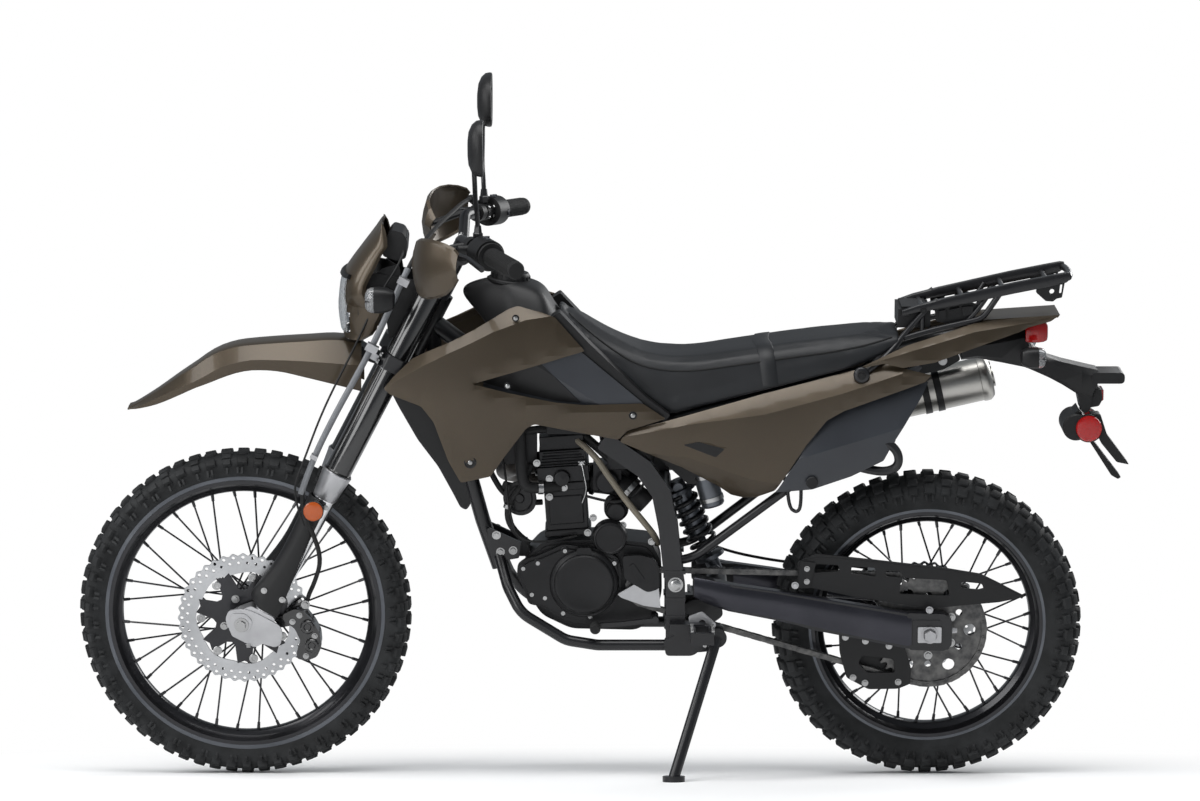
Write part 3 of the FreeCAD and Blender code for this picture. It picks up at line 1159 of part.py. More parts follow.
def parked(pieces):
    """Every piece leaned onto the stand, over an origin in the middle of the footprint."""
    lean = FreeCAD.Placement(V(0, 0, 0), FreeCAD.Rotation(V(1, 0, 0), -LEAN))
    leaned = {}
    for name, shape in pieces.items():
        copy = shape.copy()
        copy.Placement = lean.multiply(copy.Placement)
        leaned[name] = copy
    box = Part.makeCompound(list(leaned.values())).optimalBoundingBox(False)
    shift = V(-(box.XMin + box.XMax) / 2, -(box.YMin + box.YMax) / 2, -box.ZMin)
    for shape in leaned.values():
        shape.translate(shift)
    return leaned


def all_pieces():
    pieces = {}
    for group in (front_wheel, fork, clamps, handlebar, controls, mirrors, hand_guards, headlamp,
                  front_signals, front_fender, front_brake, brake_hose, rear_wheel, drive, swingarm, shock,
                  subframe, engine, top_end, exhaust, tank, panels, seat, tail, rack, foot_pegs,
                  rear_brake, airbox, side_stand):
        pieces.update(group())
    pieces["main_frame"] = main_frame()
    return pieces


def main():
    os.makedirs("parts", exist_ok=True)
    for name, shape in parked(all_pieces()).items():
        shape.exportStep(os.path.join("parts", name + ".step"))
        print(name, len(shape.Solids), shape.isValid())


main()
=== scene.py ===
# %% [markdown]
# # Dressing a dual sport motorcycle
#
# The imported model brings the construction: every rigid piece at its real size, leaning on its side stand.
# This notebook gives it the looks. Tyres get their knobs, panels their pressed curves, the engine its small
# parts, and every surface a finish made from procedural nodes. Everything new is modelled with bmesh
# operators, in millimetres, on the machine as it stands upright, and then leaned into place.

# %% Load the frame
import json
import bmesh
import bpy
from math import acos, atan2, ceil, copysign, cos, degrees, pi, radians, sin, sqrt
from mathutils import Matrix, Vector


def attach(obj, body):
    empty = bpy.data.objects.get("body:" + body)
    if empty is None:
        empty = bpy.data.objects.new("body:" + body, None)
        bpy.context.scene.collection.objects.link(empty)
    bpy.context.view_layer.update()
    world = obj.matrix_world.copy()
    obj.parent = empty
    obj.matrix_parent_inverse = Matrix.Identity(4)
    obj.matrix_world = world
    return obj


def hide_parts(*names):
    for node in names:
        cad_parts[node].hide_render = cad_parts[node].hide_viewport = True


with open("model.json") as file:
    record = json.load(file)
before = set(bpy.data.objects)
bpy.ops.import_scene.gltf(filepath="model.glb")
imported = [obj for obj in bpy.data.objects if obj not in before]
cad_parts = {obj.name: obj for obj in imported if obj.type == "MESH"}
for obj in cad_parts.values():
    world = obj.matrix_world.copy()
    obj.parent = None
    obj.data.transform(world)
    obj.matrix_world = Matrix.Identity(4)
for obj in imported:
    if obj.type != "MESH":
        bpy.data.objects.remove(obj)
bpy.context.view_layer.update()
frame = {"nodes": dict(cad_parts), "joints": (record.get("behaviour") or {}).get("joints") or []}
scene = bpy.context.scene

# %% [markdown]
# ## From an upright drawing to the leaning machine
#
# It is much easier to model a motorcycle that stands straight: left and right are then mirror images.
# The rear wheel's joint tells where its axle is and which way it points, so one matrix takes an upright
# point in millimetres, X forward from the rear axle, Y left, Z up from the ground, to its parked place.

# %% The matrix that parks the machine
MM = 0.001
REAR_TYRE_R = 311
FRONT_TYRE_R = 333
WHEELBASE = 1365
joints = {joint["name"]: joint for joint in frame["joints"]}
left = Vector(joints["rear_wheel_spin"]["axis"]).normalized()
forward = Vector((1, 0, 0))
lean = Matrix((forward, left, forward.cross(left))).transposed().to_4x4()
PARKED = (Matrix.Translation(joints["rear_wheel_spin"]["pos_m"]) @ lean @ Matrix.Scale(MM, 4)
    @ Matrix.Translation((0, 0, -REAR_TYRE_R)))
REAR_AXLE = Vector((0, 0, REAR_TYRE_R))
FRONT_AXLE = Vector((WHEELBASE, 0, FRONT_TYRE_R))
print("front axle lands on", PARKED @ FRONT_AXLE, "joint at", joints["front_wheel_spin"]["pos_m"])

# %% [markdown]
# ## Finishes
#
# A finish is more than a colour. Moulded plastic has a fine grain, cast alloy is pitted, rubber is dusty in
# its hollows and a painted panel has tiny metal flakes under a clear coat. Each recipe below starts from
# the same small helper, which mixes two close colours by a noise pattern on Object coordinates and feeds a
# second, finer noise into a bump, so that nothing slides when the camera or the pose changes.

# %% The helper for nodes
def fill(tree, sockets, *ordered, **named):
    """Fills sockets by place or by name: an output is linked, anything else is a value."""
    for key, value in (*enumerate(ordered), *named.items()):
        socket = sockets[key.replace("_", " ") if isinstance(key, str) else key]
        if isinstance(value, bpy.types.NodeSocket):
            tree.links.new(value, socket)
        else:
            socket.default_value = value


def add_node(tree, kind, *ordered, mode=None, **named):
    node = tree.nodes.new("ShaderNode" + kind)
    if mode:
        node.operation = mode
    fill(tree, node.inputs, *ordered, **named)
    return node


def finish(name, dark, light, rough=0.5, metal=0, grain=300, bump=0.15, depth=0.0002, patch=9,
        rough_swing=0.08, coat=0, coat_rough=0.1, flakes=0, stretch=(1, 1, 1), spec=0.5):
    """A finish: two close colours mixed by noise, a roughness that swings with them and a fine bump."""
    material = bpy.data.materials.new(name)
    material.use_nodes = True
    tree = material.node_tree
    place = add_node(tree, "TexCoord").outputs["Object"]
    stretched = add_node(tree, "Mapping", Vector=place, Scale=stretch).outputs["Vector"]
    patches = add_node(tree, "TexNoise", Vector=stretched, Scale=patch, Detail=4).outputs["Fac"]
    fine = add_node(tree, "TexNoise", Vector=stretched, Scale=grain, Detail=3).outputs["Fac"]
    ramp = add_node(tree, "ValToRGB", Fac=patches)
    for stop, position, shade in zip(ramp.color_ramp.elements, (0.35, 0.65), (dark, light)):
        stop.position, stop.color = position, (*shade, 1)
    colour = ramp.outputs["Color"]
    if flakes:
        cells = add_node(tree, "TexVoronoi", Vector=place, Scale=1800)
        glint = tree.nodes.new("ShaderNodeMix")
        glint.data_type, glint.blend_type = "RGBA", "OVERLAY"
        glint.inputs[0].default_value = flakes
        tree.links.new(colour, glint.inputs[6])
        tree.links.new(cells.outputs["Color"], glint.inputs[7])
        colour = glint.outputs[2]
    swing = add_node(tree, "MapRange", Value=patches, To_Min=rough - rough_swing, To_Max=rough + rough_swing)
    relief = add_node(tree, "Bump", Strength=bump, Distance=depth, Height=fine)
    fill(tree, tree.nodes["Principled BSDF"].inputs, Base_Color=colour, Metallic=metal, Coat_Weight=coat,
        Coat_Roughness=coat_rough, Specular_IOR_Level=spec, Roughness=swing.outputs["Result"],
        Normal=relief.outputs["Normal"])
    return material


# %% [markdown]
# The body colour is a dark metallic khaki. The shrouds, fenders and covers are moulded plastic, so there is
# no wear to bare metal; what shows is the flake, the clear coat and a very slight orange peel.

# %% The finishes of this motorcycle
KHAKI = finish("khaki_metallic", (0.046, 0.034, 0.021), (0.052, 0.0385, 0.024), rough=0.37,
    metal=0.6, grain=90, bump=0.03, coat=0.22, coat_rough=0.07, flakes=0.12, rough_swing=0.03)
GREY_PANEL = finish("grey_panel", (0.016, 0.018, 0.023), (0.02, 0.023, 0.029), rough=0.42,
    grain=900, bump=0.2, rough_swing=0.05)
BLACK_PLASTIC = finish("black_plastic", (0.0045, 0.0045, 0.005), (0.007, 0.007, 0.0075),
    rough=0.48, grain=1400, bump=0.3, spec=0.3)
GLOSS_BLACK = finish("gloss_black", (0.004, 0.004, 0.0045), (0.006, 0.006, 0.0065), rough=0.22,
    grain=60, bump=0.02, coat=0.5, coat_rough=0.05, rough_swing=0.04)
FRAME_BLACK = finish("frame_black", (0.005, 0.005, 0.006), (0.008, 0.008, 0.0095), rough=0.36,
    grain=500, bump=0.12, coat=0.15, spec=0.35)
ARM_BLACK = finish("arm_black", (0.026, 0.026, 0.033), (0.036, 0.036, 0.045), rough=0.33,
    metal=0.8, grain=500, bump=0.1, coat=0.2)
ENGINE_BLACK = finish("engine_black", (0.008, 0.008, 0.0085), (0.014, 0.014, 0.015), rough=0.4,
    metal=0.4, grain=700, bump=0.4, depth=0.0003, spec=0.35)
RUBBER = finish("tyre_rubber", (0.008, 0.0085, 0.009), (0.02, 0.021, 0.022), rough=0.72,
    grain=260, bump=0.35, depth=0.0006, patch=22, spec=0.3)
SOFT_RUBBER = finish("soft_rubber", (0.005, 0.005, 0.005), (0.009, 0.009, 0.0095), rough=0.62,
    grain=800, bump=0.3, spec=0.3)
RIM_BLACK = finish("rim_black", (0.014, 0.014, 0.016), (0.022, 0.022, 0.025), rough=0.3,
    metal=0.7, grain=300, bump=0.05, coat=0.3)
SHOCK_GREY = finish("shock_grey", (0.07, 0.075, 0.085), (0.11, 0.117, 0.13), rough=0.35,
    metal=0.8, grain=300, bump=0.1)
ALLOY = finish("alloy", (0.3, 0.3, 0.31), (0.44, 0.44, 0.45), rough=0.36, metal=0.9, grain=400,
    bump=0.12, depth=0.0003)
STEEL = finish("disc_steel", (0.34, 0.345, 0.355), (0.44, 0.445, 0.455), rough=0.3, metal=1,
    grain=120, bump=0.08)
DARK_STEEL = finish("chain_steel", (0.055, 0.055, 0.056), (0.13, 0.128, 0.125), rough=0.4, metal=0.9,
    grain=300, bump=0.15, patch=60)
BOLT_STEEL = finish("bolt_steel", (0.26, 0.26, 0.26), (0.38, 0.38, 0.38), rough=0.28, metal=1,
    grain=200, bump=0.05)
CHROME = finish("fork_chrome", (0.62, 0.62, 0.63), (0.7, 0.7, 0.71), rough=0.12, metal=1,
    grain=40, bump=0.01)
MUFFLER_STEEL = finish("muffler_steel", (0.33, 0.32, 0.3), (0.42, 0.41, 0.385), rough=0.34, metal=1,
    grain=520, bump=0.25, stretch=(0.06, 1, 1), patch=14)
PIPE_BLACK = finish("pipe_black", (0.016, 0.014, 0.013), (0.045, 0.038, 0.032), rough=0.5, metal=0.6,
    grain=200, bump=0.2, patch=30)
CUSHION_GRAIN = finish("cushion_vinyl", (0.006, 0.0066, 0.0078), (0.009, 0.01, 0.0118), rough=0.5,
    grain=1100, bump=0.45, depth=0.0003, spec=0.35)
SLEEVE_GREY = finish("sleeve_grey", (0.11, 0.115, 0.125), (0.15, 0.157, 0.168), rough=0.42,
    grain=300, bump=0.1)
GREY_HOSE = finish("grey_hose", (0.12, 0.105, 0.078), (0.17, 0.15, 0.115), rough=0.6,
    grain=300, bump=0.2)
print("finishes:", len(bpy.data.materials))


# %% [markdown]
# Lamps need light to pass. A lens is a clear coloured shell with the Transmission socket up and a faint
# ribbing in its bump, in front of a bright reflector.

# %% Lens finishes
def lens_finish(name, colour, transmission=0.25, ribs=160):
    material = finish(name, colour, colour, rough=0.08, grain=ribs, bump=0.25, depth=0.0006,
        rough_swing=0.02)
    fill(material.node_tree, material.node_tree.nodes["Principled BSDF"].inputs,
        Transmission_Weight=transmission, IOR=1.5)
    return material


CLEAR_LENS = lens_finish("clear_lens", (0.9, 0.92, 0.94), transmission=0.85, ribs=90)
AMBER_LENS = lens_finish("amber_lens", (0.46, 0.085, 0.01))
RED_LENS = lens_finish("red_lens", (0.42, 0.01, 0.01))
MIRROR_GLASS = finish("mirror_glass", (0.75, 0.76, 0.78), (0.78, 0.79, 0.8), rough=0.03,
    metal=1, bump=0, rough_swing=0.01)

# %% [markdown]
# ## Helpers for shapes
#
# Every piece is drawn in one working mesh, bm, and ends the same way: doubles merged, faces turned outwards,
# the mesh parked, edges sharper than a limit kept crisp and the rest shaded smooth. One function does it,
# puts the piece on its body and hides the solids of the frame that it stands for. Then it empties the working
# mesh for the next piece.

# %% Finish a piece
def add_piece(bm, name, material, stands_for=(), body="chassis", slot=None, sharp=32, edge=0, levels=0,
        tidy=True):
    if tidy:
        bmesh.ops.remove_doubles(bm, verts=bm.verts, dist=0.01)
        bmesh.ops.recalc_face_normals(bm, faces=bm.faces)
    bmesh.ops.transform(bm, matrix=PARKED, verts=bm.verts)
    for face in bm.faces:
        face.smooth = True
    for line in bm.edges:
        if len(line.link_faces) == 2:
            line.smooth = line.calc_face_angle(0) < radians(sharp)
    mesh = bpy.data.meshes.new(name)
    bm.to_mesh(mesh)
    bm.clear()
    mesh.materials.append(material)
    obj = bpy.data.objects.new(name, mesh)
    scene.collection.objects.link(obj)
    if edge:
        rounding = obj.modifiers.new("rounding", "BEVEL")
        rounding.width, rounding.segments = edge * MM, 2
        rounding.limit_method, rounding.angle_limit = "ANGLE", radians(sharp)
        rounding.harden_normals = True
    if levels:
        smooth = obj.modifiers.new("smooth", "SUBSURF")
        smooth.levels = smooth.render_levels = levels
    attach(obj, body)
    if stands_for:
        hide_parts(*stands_for)
    print(f"{name}: {len(mesh.polygons)} faces on {body}")
    return obj


def add_steered(*what, **more):
    """A piece that turns with the handlebar."""
    add_piece(*what, body="steering", **more)


# %% Points, lines and mirrored twins
def V(x, y, z):
    return Vector((x, y, z))


FORWARD, LEFT, RIGHT, UP = V(1, 0, 0), V(0, 1, 0), V(0, -1, 0), V(0, 0, 1)


def spot(centre, radius, turn):
    """The (x, z) of a point on a circle about an axle, at an angle from the front."""
    return centre.x + radius * cos(turn), centre.z + radius * sin(turn)


def ring_across(x, half):
    """A ring of points across the machine, from the (y, z) points of its left half."""
    return [V(x, y, z) for y, z in half] + [V(x, -y, z) for y, z in reversed(half)]


def both_sides(half):
    """A line of (y, radius) points and its mirror image."""
    return half + [(-y, r) for y, r in reversed(half)]


def split(result, kind=bmesh.types.BMVert):
    """The verts, or the faces, in what an operator gives back."""
    return [item for item in result["geom"] if isinstance(item, kind)]


def smooth_curve(points, x):
    """A smooth height at x through (x, height) points, with no overshoot at their ends."""
    if x <= points[0][0]:
        return points[0][1]
    if x >= points[-1][0]:
        return points[-1][1]
    i = next(k for k in range(1, len(points)) if x <= points[k][0])
    (x0, y0), (x1, y1) = points[i - 1], points[i]
    before, after = points[max(i - 2, 0)], points[min(i + 1, len(points) - 1)]
    slope0 = (y1 - before[1]) / (x1 - before[0])
    slope1 = (after[1] - y0) / (after[0] - x0)
    t, width = (x - x0) / (x1 - x0), x1 - x0
    return ((2 * t**3 - 3 * t**2 + 1) * y0 + (t**3 - 2 * t**2 + t) * width * slope0 + (3 * t**2 - 2 * t**3)
        * y1 + (t**3 - t**2) * width * slope1)


def round_corners(points, radius, steps=4):
    """The corners of a flat outline turned into short arcs."""
    result = []
    for i, here in enumerate(points):
        here = Vector(here)
        before, after = Vector(points[i - 1]), Vector(points[(i + 1) % len(points)])
        back, ahead = before - here, after - here
        cut = min(radius, 0.4 * back.length, 0.4 * ahead.length)
        start, end = here + back.normalized() * cut, here + ahead.normalized() * cut
        for k in range(steps + 1):
            t = k / steps
            result.append(start * (1 - t)**2 + here * 2 * t * (1 - t) + end * t**2)
    return result


def add_mirror(bm):
    """Adds the right-hand twin of everything in the mesh."""
    twin = bmesh.ops.duplicate(bm, geom=bm.verts[:] + bm.edges[:] + bm.faces[:])
    bmesh.ops.scale(bm, vec=(1, -1, 1), verts=split(twin))
    bmesh.ops.reverse_faces(bm, faces=split(twin, bmesh.types.BMFace))


# %% [markdown]
# Most hard parts are plates, turned parts, tubes and lofts. A plate is one polygon that is extruded, a
# turned part is a profile that is spun about an axis, a tube is a ring that is swept, and a loft is a row
# of rings that are bridged.

# %% Plates and turned parts
def add_plate(bm, outline, y0, y1, radius=0, holes=()):
    """A flat plate from an outline of (x, z) points, between two distances from the middle plane."""
    def loop(points):
        verts = [bm.verts.new((p[0], y0, p[1])) for p in points]
        return [bm.edges.new((verts[k - 1], verts[k])) for k in range(len(verts))]
    edges = loop(round_corners(outline, radius) if radius else outline)
    for hole in holes:
        edges += loop(hole)
    filled = bmesh.ops.triangle_fill(bm, edges=edges, use_beauty=True, use_dissolve=False)
    pushed = bmesh.ops.extrude_face_region(bm, geom=split(filled, bmesh.types.BMFace))
    bmesh.ops.translate(bm, vec=(0, y1 - y0, 0), verts=split(pushed))


def circle(x, z, radius, steps=20):
    return [spot(V(x, 0, z), radius, 2 * pi * k / steps) for k in range(steps)]


def add_turned(bm, profile, start, axis=LEFT, steps=48):
    """A turned part: (distance along the axis, radius) points spun about it."""
    axis = axis.normalized()
    side = axis.orthogonal().normalized()
    verts = [bm.verts.new(start + axis * along + side * r) for along, r in profile]
    edges = [bm.edges.new((verts[k], verts[k + 1])) for k in range(len(verts) - 1)]
    bmesh.ops.spin(bm, geom=verts + edges, cent=start, axis=axis, angle=2 * pi, steps=steps, use_merge=True)


# %% Tubes and lofts
def add_tube(bm, points, radius, sides=16, steps=5):
    """A round tube along a smooth curve that is guided by the points."""
    curve = bpy.data.curves.new("route", "CURVE")
    curve.dimensions = "3D"
    spline = curve.splines.new("NURBS")
    spline.points.add(len(points) - 1)
    for knot, point in zip(spline.points, points):
        knot.co = (*point, 1)
    spline.use_endpoint_u = True
    spline.order_u = min(3, len(points))
    curve.resolution_u = steps
    curve.bevel_depth = radius
    curve.bevel_resolution = max(sides // 4 - 1, 1)
    curve.use_fill_caps = True
    holder = bpy.data.objects.new("route", curve)
    mesh = bpy.data.meshes.new_from_object(holder)
    bm.from_mesh(mesh)
    bpy.data.objects.remove(holder)
    bpy.data.curves.remove(curve)
    bpy.data.meshes.remove(mesh)


def add_loft(bm, rings):
    """A skin through rings of points, bridged one after another and closed at both ends."""
    loops = []
    for ring in rings:
        verts = [bm.verts.new(point) for point in ring]
        loops.append([bm.edges.new((verts[k - 1], verts[k])) for k in range(len(verts))])
    for first, second in zip(loops, loops[1:]):
        bmesh.ops.bridge_loops(bm, edges=first + second)
    bmesh.ops.contextual_create(bm, geom=loops[0])
    bmesh.ops.contextual_create(bm, geom=loops[-1])


def add_sheet(bm, rows):
    """An open skin through rows of points."""
    rows = [[bm.verts.new(point) for point in row] for row in rows]
    for first, second in zip(rows, rows[1:]):
        for k in range(len(first) - 1):
            bm.faces.new((first[k], first[k + 1], second[k + 1], second[k]))


# %% Screws
def pointing(place, direction):
    """The matrix that stands an upright part at a place along a direction."""
    return Matrix.Translation(place) @ UP.rotation_difference(direction).to_matrix().to_4x4()


def add_rod(bm, place, direction, depth, foot_r, top_r, sides=16):
    bmesh.ops.create_cone(bm, cap_ends=True, segments=sides, radius1=foot_r, radius2=top_r, depth=depth,
        matrix=pointing(place, direction))


def add_bolt(bm, place, axis, radius, height, washer=True, sides=6):
    """A screw's head on its washer, looking along the axis."""
    place, axis = Vector(place), Vector(axis).normalized()
    if washer:
        add_rod(bm, place + axis * 0.8, axis, 1.6, radius * 1.5, radius * 1.45)
    add_rod(bm, place + axis * (height / 2 + 1), axis, height, radius, radius * 0.92, sides)


def add_bolts(bm, y, spots, radius, height, **more):
    """Screws at (x, z) spots that look to the left."""
    for x, z in spots:
        add_bolt(bm, (x, y, z), LEFT, radius, height, **more)


bm = bmesh.new()
print("helpers are ready")

# %% [markdown]
# ## Knobbly tyres
#
# A dual sport tyre is a casing with rows of separate knobs, moulded in one piece. The casing is a half
# section that is spun about the axle. The knobs could be cut out of a thicker casing, but it is easier to
# see what happens when each one is a block set on the round tread: its place is an angle across the tread
# and a distance round the tyre. Two rows are made, and bmesh.ops.spin in its duplicate mode turns them round
# the axle, so the pitch is exact.

# %% Tread blocks
def tread_point(tread_r, arc, across_deg, round_rad, lift):
    """A point over the tyre's round tread, from its angle across and its angle round the wheel."""
    a = radians(across_deg)
    y = (arc + lift) * sin(a)
    r = tread_r - arc + (arc + lift) * cos(a)
    return V(r * sin(round_rad), y, r * cos(round_rad))


def add_knob(bm, centre, tread_r, arc, block):
    """A block from (round in degrees, across in degrees, length, width, height, skew)."""
    round_deg, across_deg, length, width, height, skew = block
    half_l, half_w = length / 2, degrees(width / 2 / arc)
    feet, tops = [], []
    for la, wa in ((-1, -1), (1, -1), (1, 1), (-1, 1)):
        for corners, lift, grow in ((feet, -5, 1.25), (tops, height, 1)):
            along = (la * half_l * grow + skew * wa) / tread_r
            place = tread_point(tread_r, arc, across_deg + wa * half_w * grow, radians(round_deg) + along,
                lift)
            corners.append(bm.verts.new(centre + place))
    bm.faces.new(tops)
    for k in range(4):
        bm.faces.new((feet[k - 1], feet[k], tops[k], tops[k - 1]))


def dress_tyre(end, axle, tread_r, arc, rows, blocks, casing, steps):
    """Two rows of blocks are turned round a casing whose tread has its own radius across, the arc."""
    bm = bmesh.new()
    for block in blocks:
        add_knob(bm, axle, tread_r, arc, block)
        if block[1]:
            add_knob(bm, axle, tread_r, arc, (block[0], -block[1], *block[2:5], -block[5]))
    edges = [edge for edge in bm.edges if len(edge.link_faces) == 2]
    bmesh.ops.bevel(bm, geom=edges, offset=1.1, offset_type="OFFSET", segments=2, profile=0.5, affect="EDGES",
        clamp_overlap=True, material=-1)
    pairs = rows // 2
    bmesh.ops.spin(bm, geom=bm.verts[:] + bm.edges[:] + bm.faces[:], cent=axle, axis=LEFT, use_duplicate=True,
        angle=2 * pi * (pairs - 1) / pairs, steps=pairs - 1)
    add_turned(bm, casing + [(-y, r) for y, r in casing[-2::-1]], axle, LEFT, steps)
    add_piece(bm, f"{end}_tyre_dressed", RUBBER, [f"{end}_tyre"], body=f"{end}_wheel", sharp=40)


# %% [markdown]
# The front tread has pairs of blocks by the middle, and one block on each shoulder in every row. The rear
# one is wider and has longer blocks. Low ribs below the shoulder blocks brace them on the side wall, and
# two fine rings run round the wall above the bead.

# %% Both tyres
FRONT_ROWS, REAR_ROWS = 62, 54
row = 360 / FRONT_ROWS
dress_tyre("front", FRONT_AXLE, 324.5, 53, FRONT_ROWS, [(0, 9.5, 19, 13, 8.5, 2), (0, 39.5, 19, 13, 7.5, 0),
    (0, 61, 5, 12, 1.6, 0), (1.7, 61, 5, 12, 1.6, 0), (row, 12.5, 19, 12, 8.5, -1.5), (row, 28, 17, 11, 8, 0),
    (row, 43, 16, 11, 7, 0), (row, 61, 5, 12, 1.6, 0)], [(20.5, 270.5), (22, 276), (25, 277.5), (25.6, 280),
    (28.5, 284.5), (28.9, 286.5), (33, 294), (36, 301), (36.6, 307), (35.6, 312), (31.5, 318), (24, 321.8),
    (12, 324), (0, 324.6)], 124)
row = 360 / REAR_ROWS
dress_tyre("rear", REAR_AXLE, 301.5, 64, REAR_ROWS, [(0, 0, 21, 22, 9.5, 0), (0, 27, 20, 15, 9, 2.5),
    (0, 48, 22, 17, 8, 0), (-1.4, 63, 5, 14, 1.8, 0), (1.4, 63, 5, 14, 1.8, 0), (row, 13, 21, 17, 9.5, -2),
    (row, 35, 20, 14, 9, 0), (row, 52, 18, 13, 7, 0), (row, 65, 5, 12, 1.6, 0)], [(28.5, 230.5), (31, 236),
    (34.5, 237.5), (35.2, 240.5), (39.5, 246), (39.9, 248.5), (45.5, 257), (50, 267), (51.2, 274), (50, 280),
    (45, 287), (36, 293), (22, 298.5), (10, 300.8), (0, 301.6)], 108)

# %% [markdown]
# ## Rims and spokes
#
# A wire wheel hangs from its spokes: each one has a hooked head in the hub's flange and a nipple in the rim,
# and leaves the hub almost at a tangent, so that it can pull. The rim is rolled, with a bead seat, a drop
# well in the middle and a rolled edge. It is spun from one closed section. A grey ring on each rolled edge is
# a painted highlight.

# %% Rims and their painted highlight rings
def dress_rim(end, axle, flange_r, bead_r, inner_r, width):
    half, well = width / 2, width * 0.2
    edge = [(-half, bead_r - 5), (-half - 0.6, flange_r - 3), (-half, flange_r), (-half + 2.4,
        flange_r + 0.4), (-half + 3.6, flange_r - 2), (-half + 3.4, bead_r), (-well - 3, bead_r - 2.5),
        (-well, inner_r + 5)]
    under = [(half - 5, bead_r - 9), (well + 6, bead_r - 12), (well, inner_r + 2), (well - 4, inner_r)]
    bm = bmesh.new()
    add_turned(bm, both_sides(edge) + both_sides(under) + edge[:1], axle, LEFT, 120)
    add_piece(bm, f"{end}_rim_dressed", RIM_BLACK, [f"{end}_rim"], body=f"{end}_wheel", sharp=28)
    # A grey ring on each rolled edge of the black rim is a painted highlight.
    for side in (1, -1):
        at = side * half
        add_turned(bm, [(at, flange_r - 9), (at + side * 1.2, flange_r - 8), (at + side * 1.2, flange_r - 1),
            (at - side * 0.4, flange_r + 0.8)], axle, LEFT, 120)
    add_piece(bm, f"{end}_rim_painted_highlights", SHOCK_GREY, body=f"{end}_wheel", slot="black_alloy", sharp=28)


dress_rim("front", FRONT_AXLE, flange_r=281, bead_r=270, inner_r=246, width=50)
dress_rim("rear", REAR_AXLE, flange_r=240, bead_r=230, inner_r=207, width=66)


# %% Hubs with spokes and nipples
SPOKES = 36


def add_spokes(bm, centre, hub_r, hub_y, rim_r, rim_y):
    for i in range(SPOKES):
        side = 1 if i % 2 else -1
        swing = 1 if (i // 2) % 2 else -1
        rim_angle = 2 * pi * (i + 0.5) / SPOKES
        x, z = spot(centre, hub_r, rim_angle - swing * radians(68))
        start = V(x, side * (hub_y - swing * 2.5), z)
        x, z = spot(centre, rim_r, rim_angle)
        end = V(x, side * rim_y, z)
        way = (end - start).normalized()
        add_rod(bm, (start + end) / 2, way, (end - start).length, 1.9, 1.9, 8)
        add_rod(bm, end - way * 5, way, 13, 3, 3.4, 8)
        bmesh.ops.create_uvsphere(bm, u_segments=8, v_segments=5, radius=3.6, matrix=Matrix.Translation(start
            + V(0, side * swing * -1.5, 0)))


def add_hub(bm, centre, barrel_r, flange_r, half_w, ends, seat_r, bore_r):
    add_turned(bm, both_sides([(-ends, bore_r), (-ends, seat_r - 2), (-ends + 2, seat_r), (-half_w - 2,
        seat_r), (-half_w - 2, flange_r + 4), (-half_w, flange_r + 6), (-half_w + 4, flange_r + 6),
        (-half_w + 6, flange_r + 4), (-half_w + 7, barrel_r + 8), (-half_w + 14, barrel_r)]), centre)


add_hub(bm, FRONT_AXLE, barrel_r=22, flange_r=36, half_w=36, ends=70, seat_r=26, bore_r=8.6)
add_spokes(bm, FRONT_AXLE, hub_r=36, hub_y=34, rim_r=245.4, rim_y=5)
add_piece(bm, "front_hub_dressed", RIM_BLACK, ["front_hub"], body="front_wheel", tidy=False)
add_hub(bm, REAR_AXLE, barrel_r=28, flange_r=46, half_w=42, ends=81, seat_r=30, bore_r=9.1)
add_turned(bm, [(45, 30), (45, 56), (47, 58), (62, 63), (66.7, 64), (66.7, 30)], REAR_AXLE, LEFT, 96)
add_spokes(bm, REAR_AXLE, hub_r=46, hub_y=40, rim_r=206.4, rim_y=6)
add_piece(bm, "rear_hub_dressed", RIM_BLACK, ["rear_hub"], body="rear_wheel", tidy=False)

# %% [markdown]
# ## Brake discs
#
# A trail disc has a wavy edge and rows of holes that keep mud out of the pads. The outline is one polygon
# whose radius swings with the angle. The holes are further loops in the same fill, so no cutting is needed.

# %% Wavy discs on their carriers
def wave_loop(centre, radius, swing, waves, steps):
    turns = [2 * pi * k / steps for k in range(steps)]
    return [spot(centre, radius + swing * cos(waves * a), a) for a in turns]


def dress_disc(end, axle, outer_r, inner_r, y, waves, arms, reach, root, bore):
    """A wavy ring, and a star whose arms end in forks round the ring's rivets."""
    body = f"{end}_wheel"
    holes = [wave_loop(axle, inner_r, 2.5, arms, 6 * arms)]
    for k in range(waves):
        a = 2 * pi * k / waves
        holes.append(circle(*spot(axle, outer_r - 8, a), 3.4, 10))
        holes.append(circle(*spot(axle, outer_r - 19, a + pi / waves), 3, 10))
    bm = bmesh.new()
    add_plate(bm, wave_loop(axle, outer_r - 2.4, 2.4, waves, waves * 8), y, y + 4, holes=holes)
    add_piece(bm, f"{end}_disc_ring", STEEL, [f"{end}_disc"], body=body, sharp=40)
    points = []
    for k in range(arms * 6):
        a = 0.12 + 2 * pi * k / (arms * 6)
        r = (reach, reach - 7, reach, root + 5, root, root + 5)[k % 6]
        points.append((axle.x + r * cos(a - 0.052 * 7 / arms), axle.z + r * sin(a)))
    add_plate(bm, points, y - 1, y + 5, holes=[circle(axle.x, axle.z, bore, 32)])
    add_piece(bm, f"{end}_disc_carrier", RIM_BLACK, body=body, sharp=40, edge=0.6)


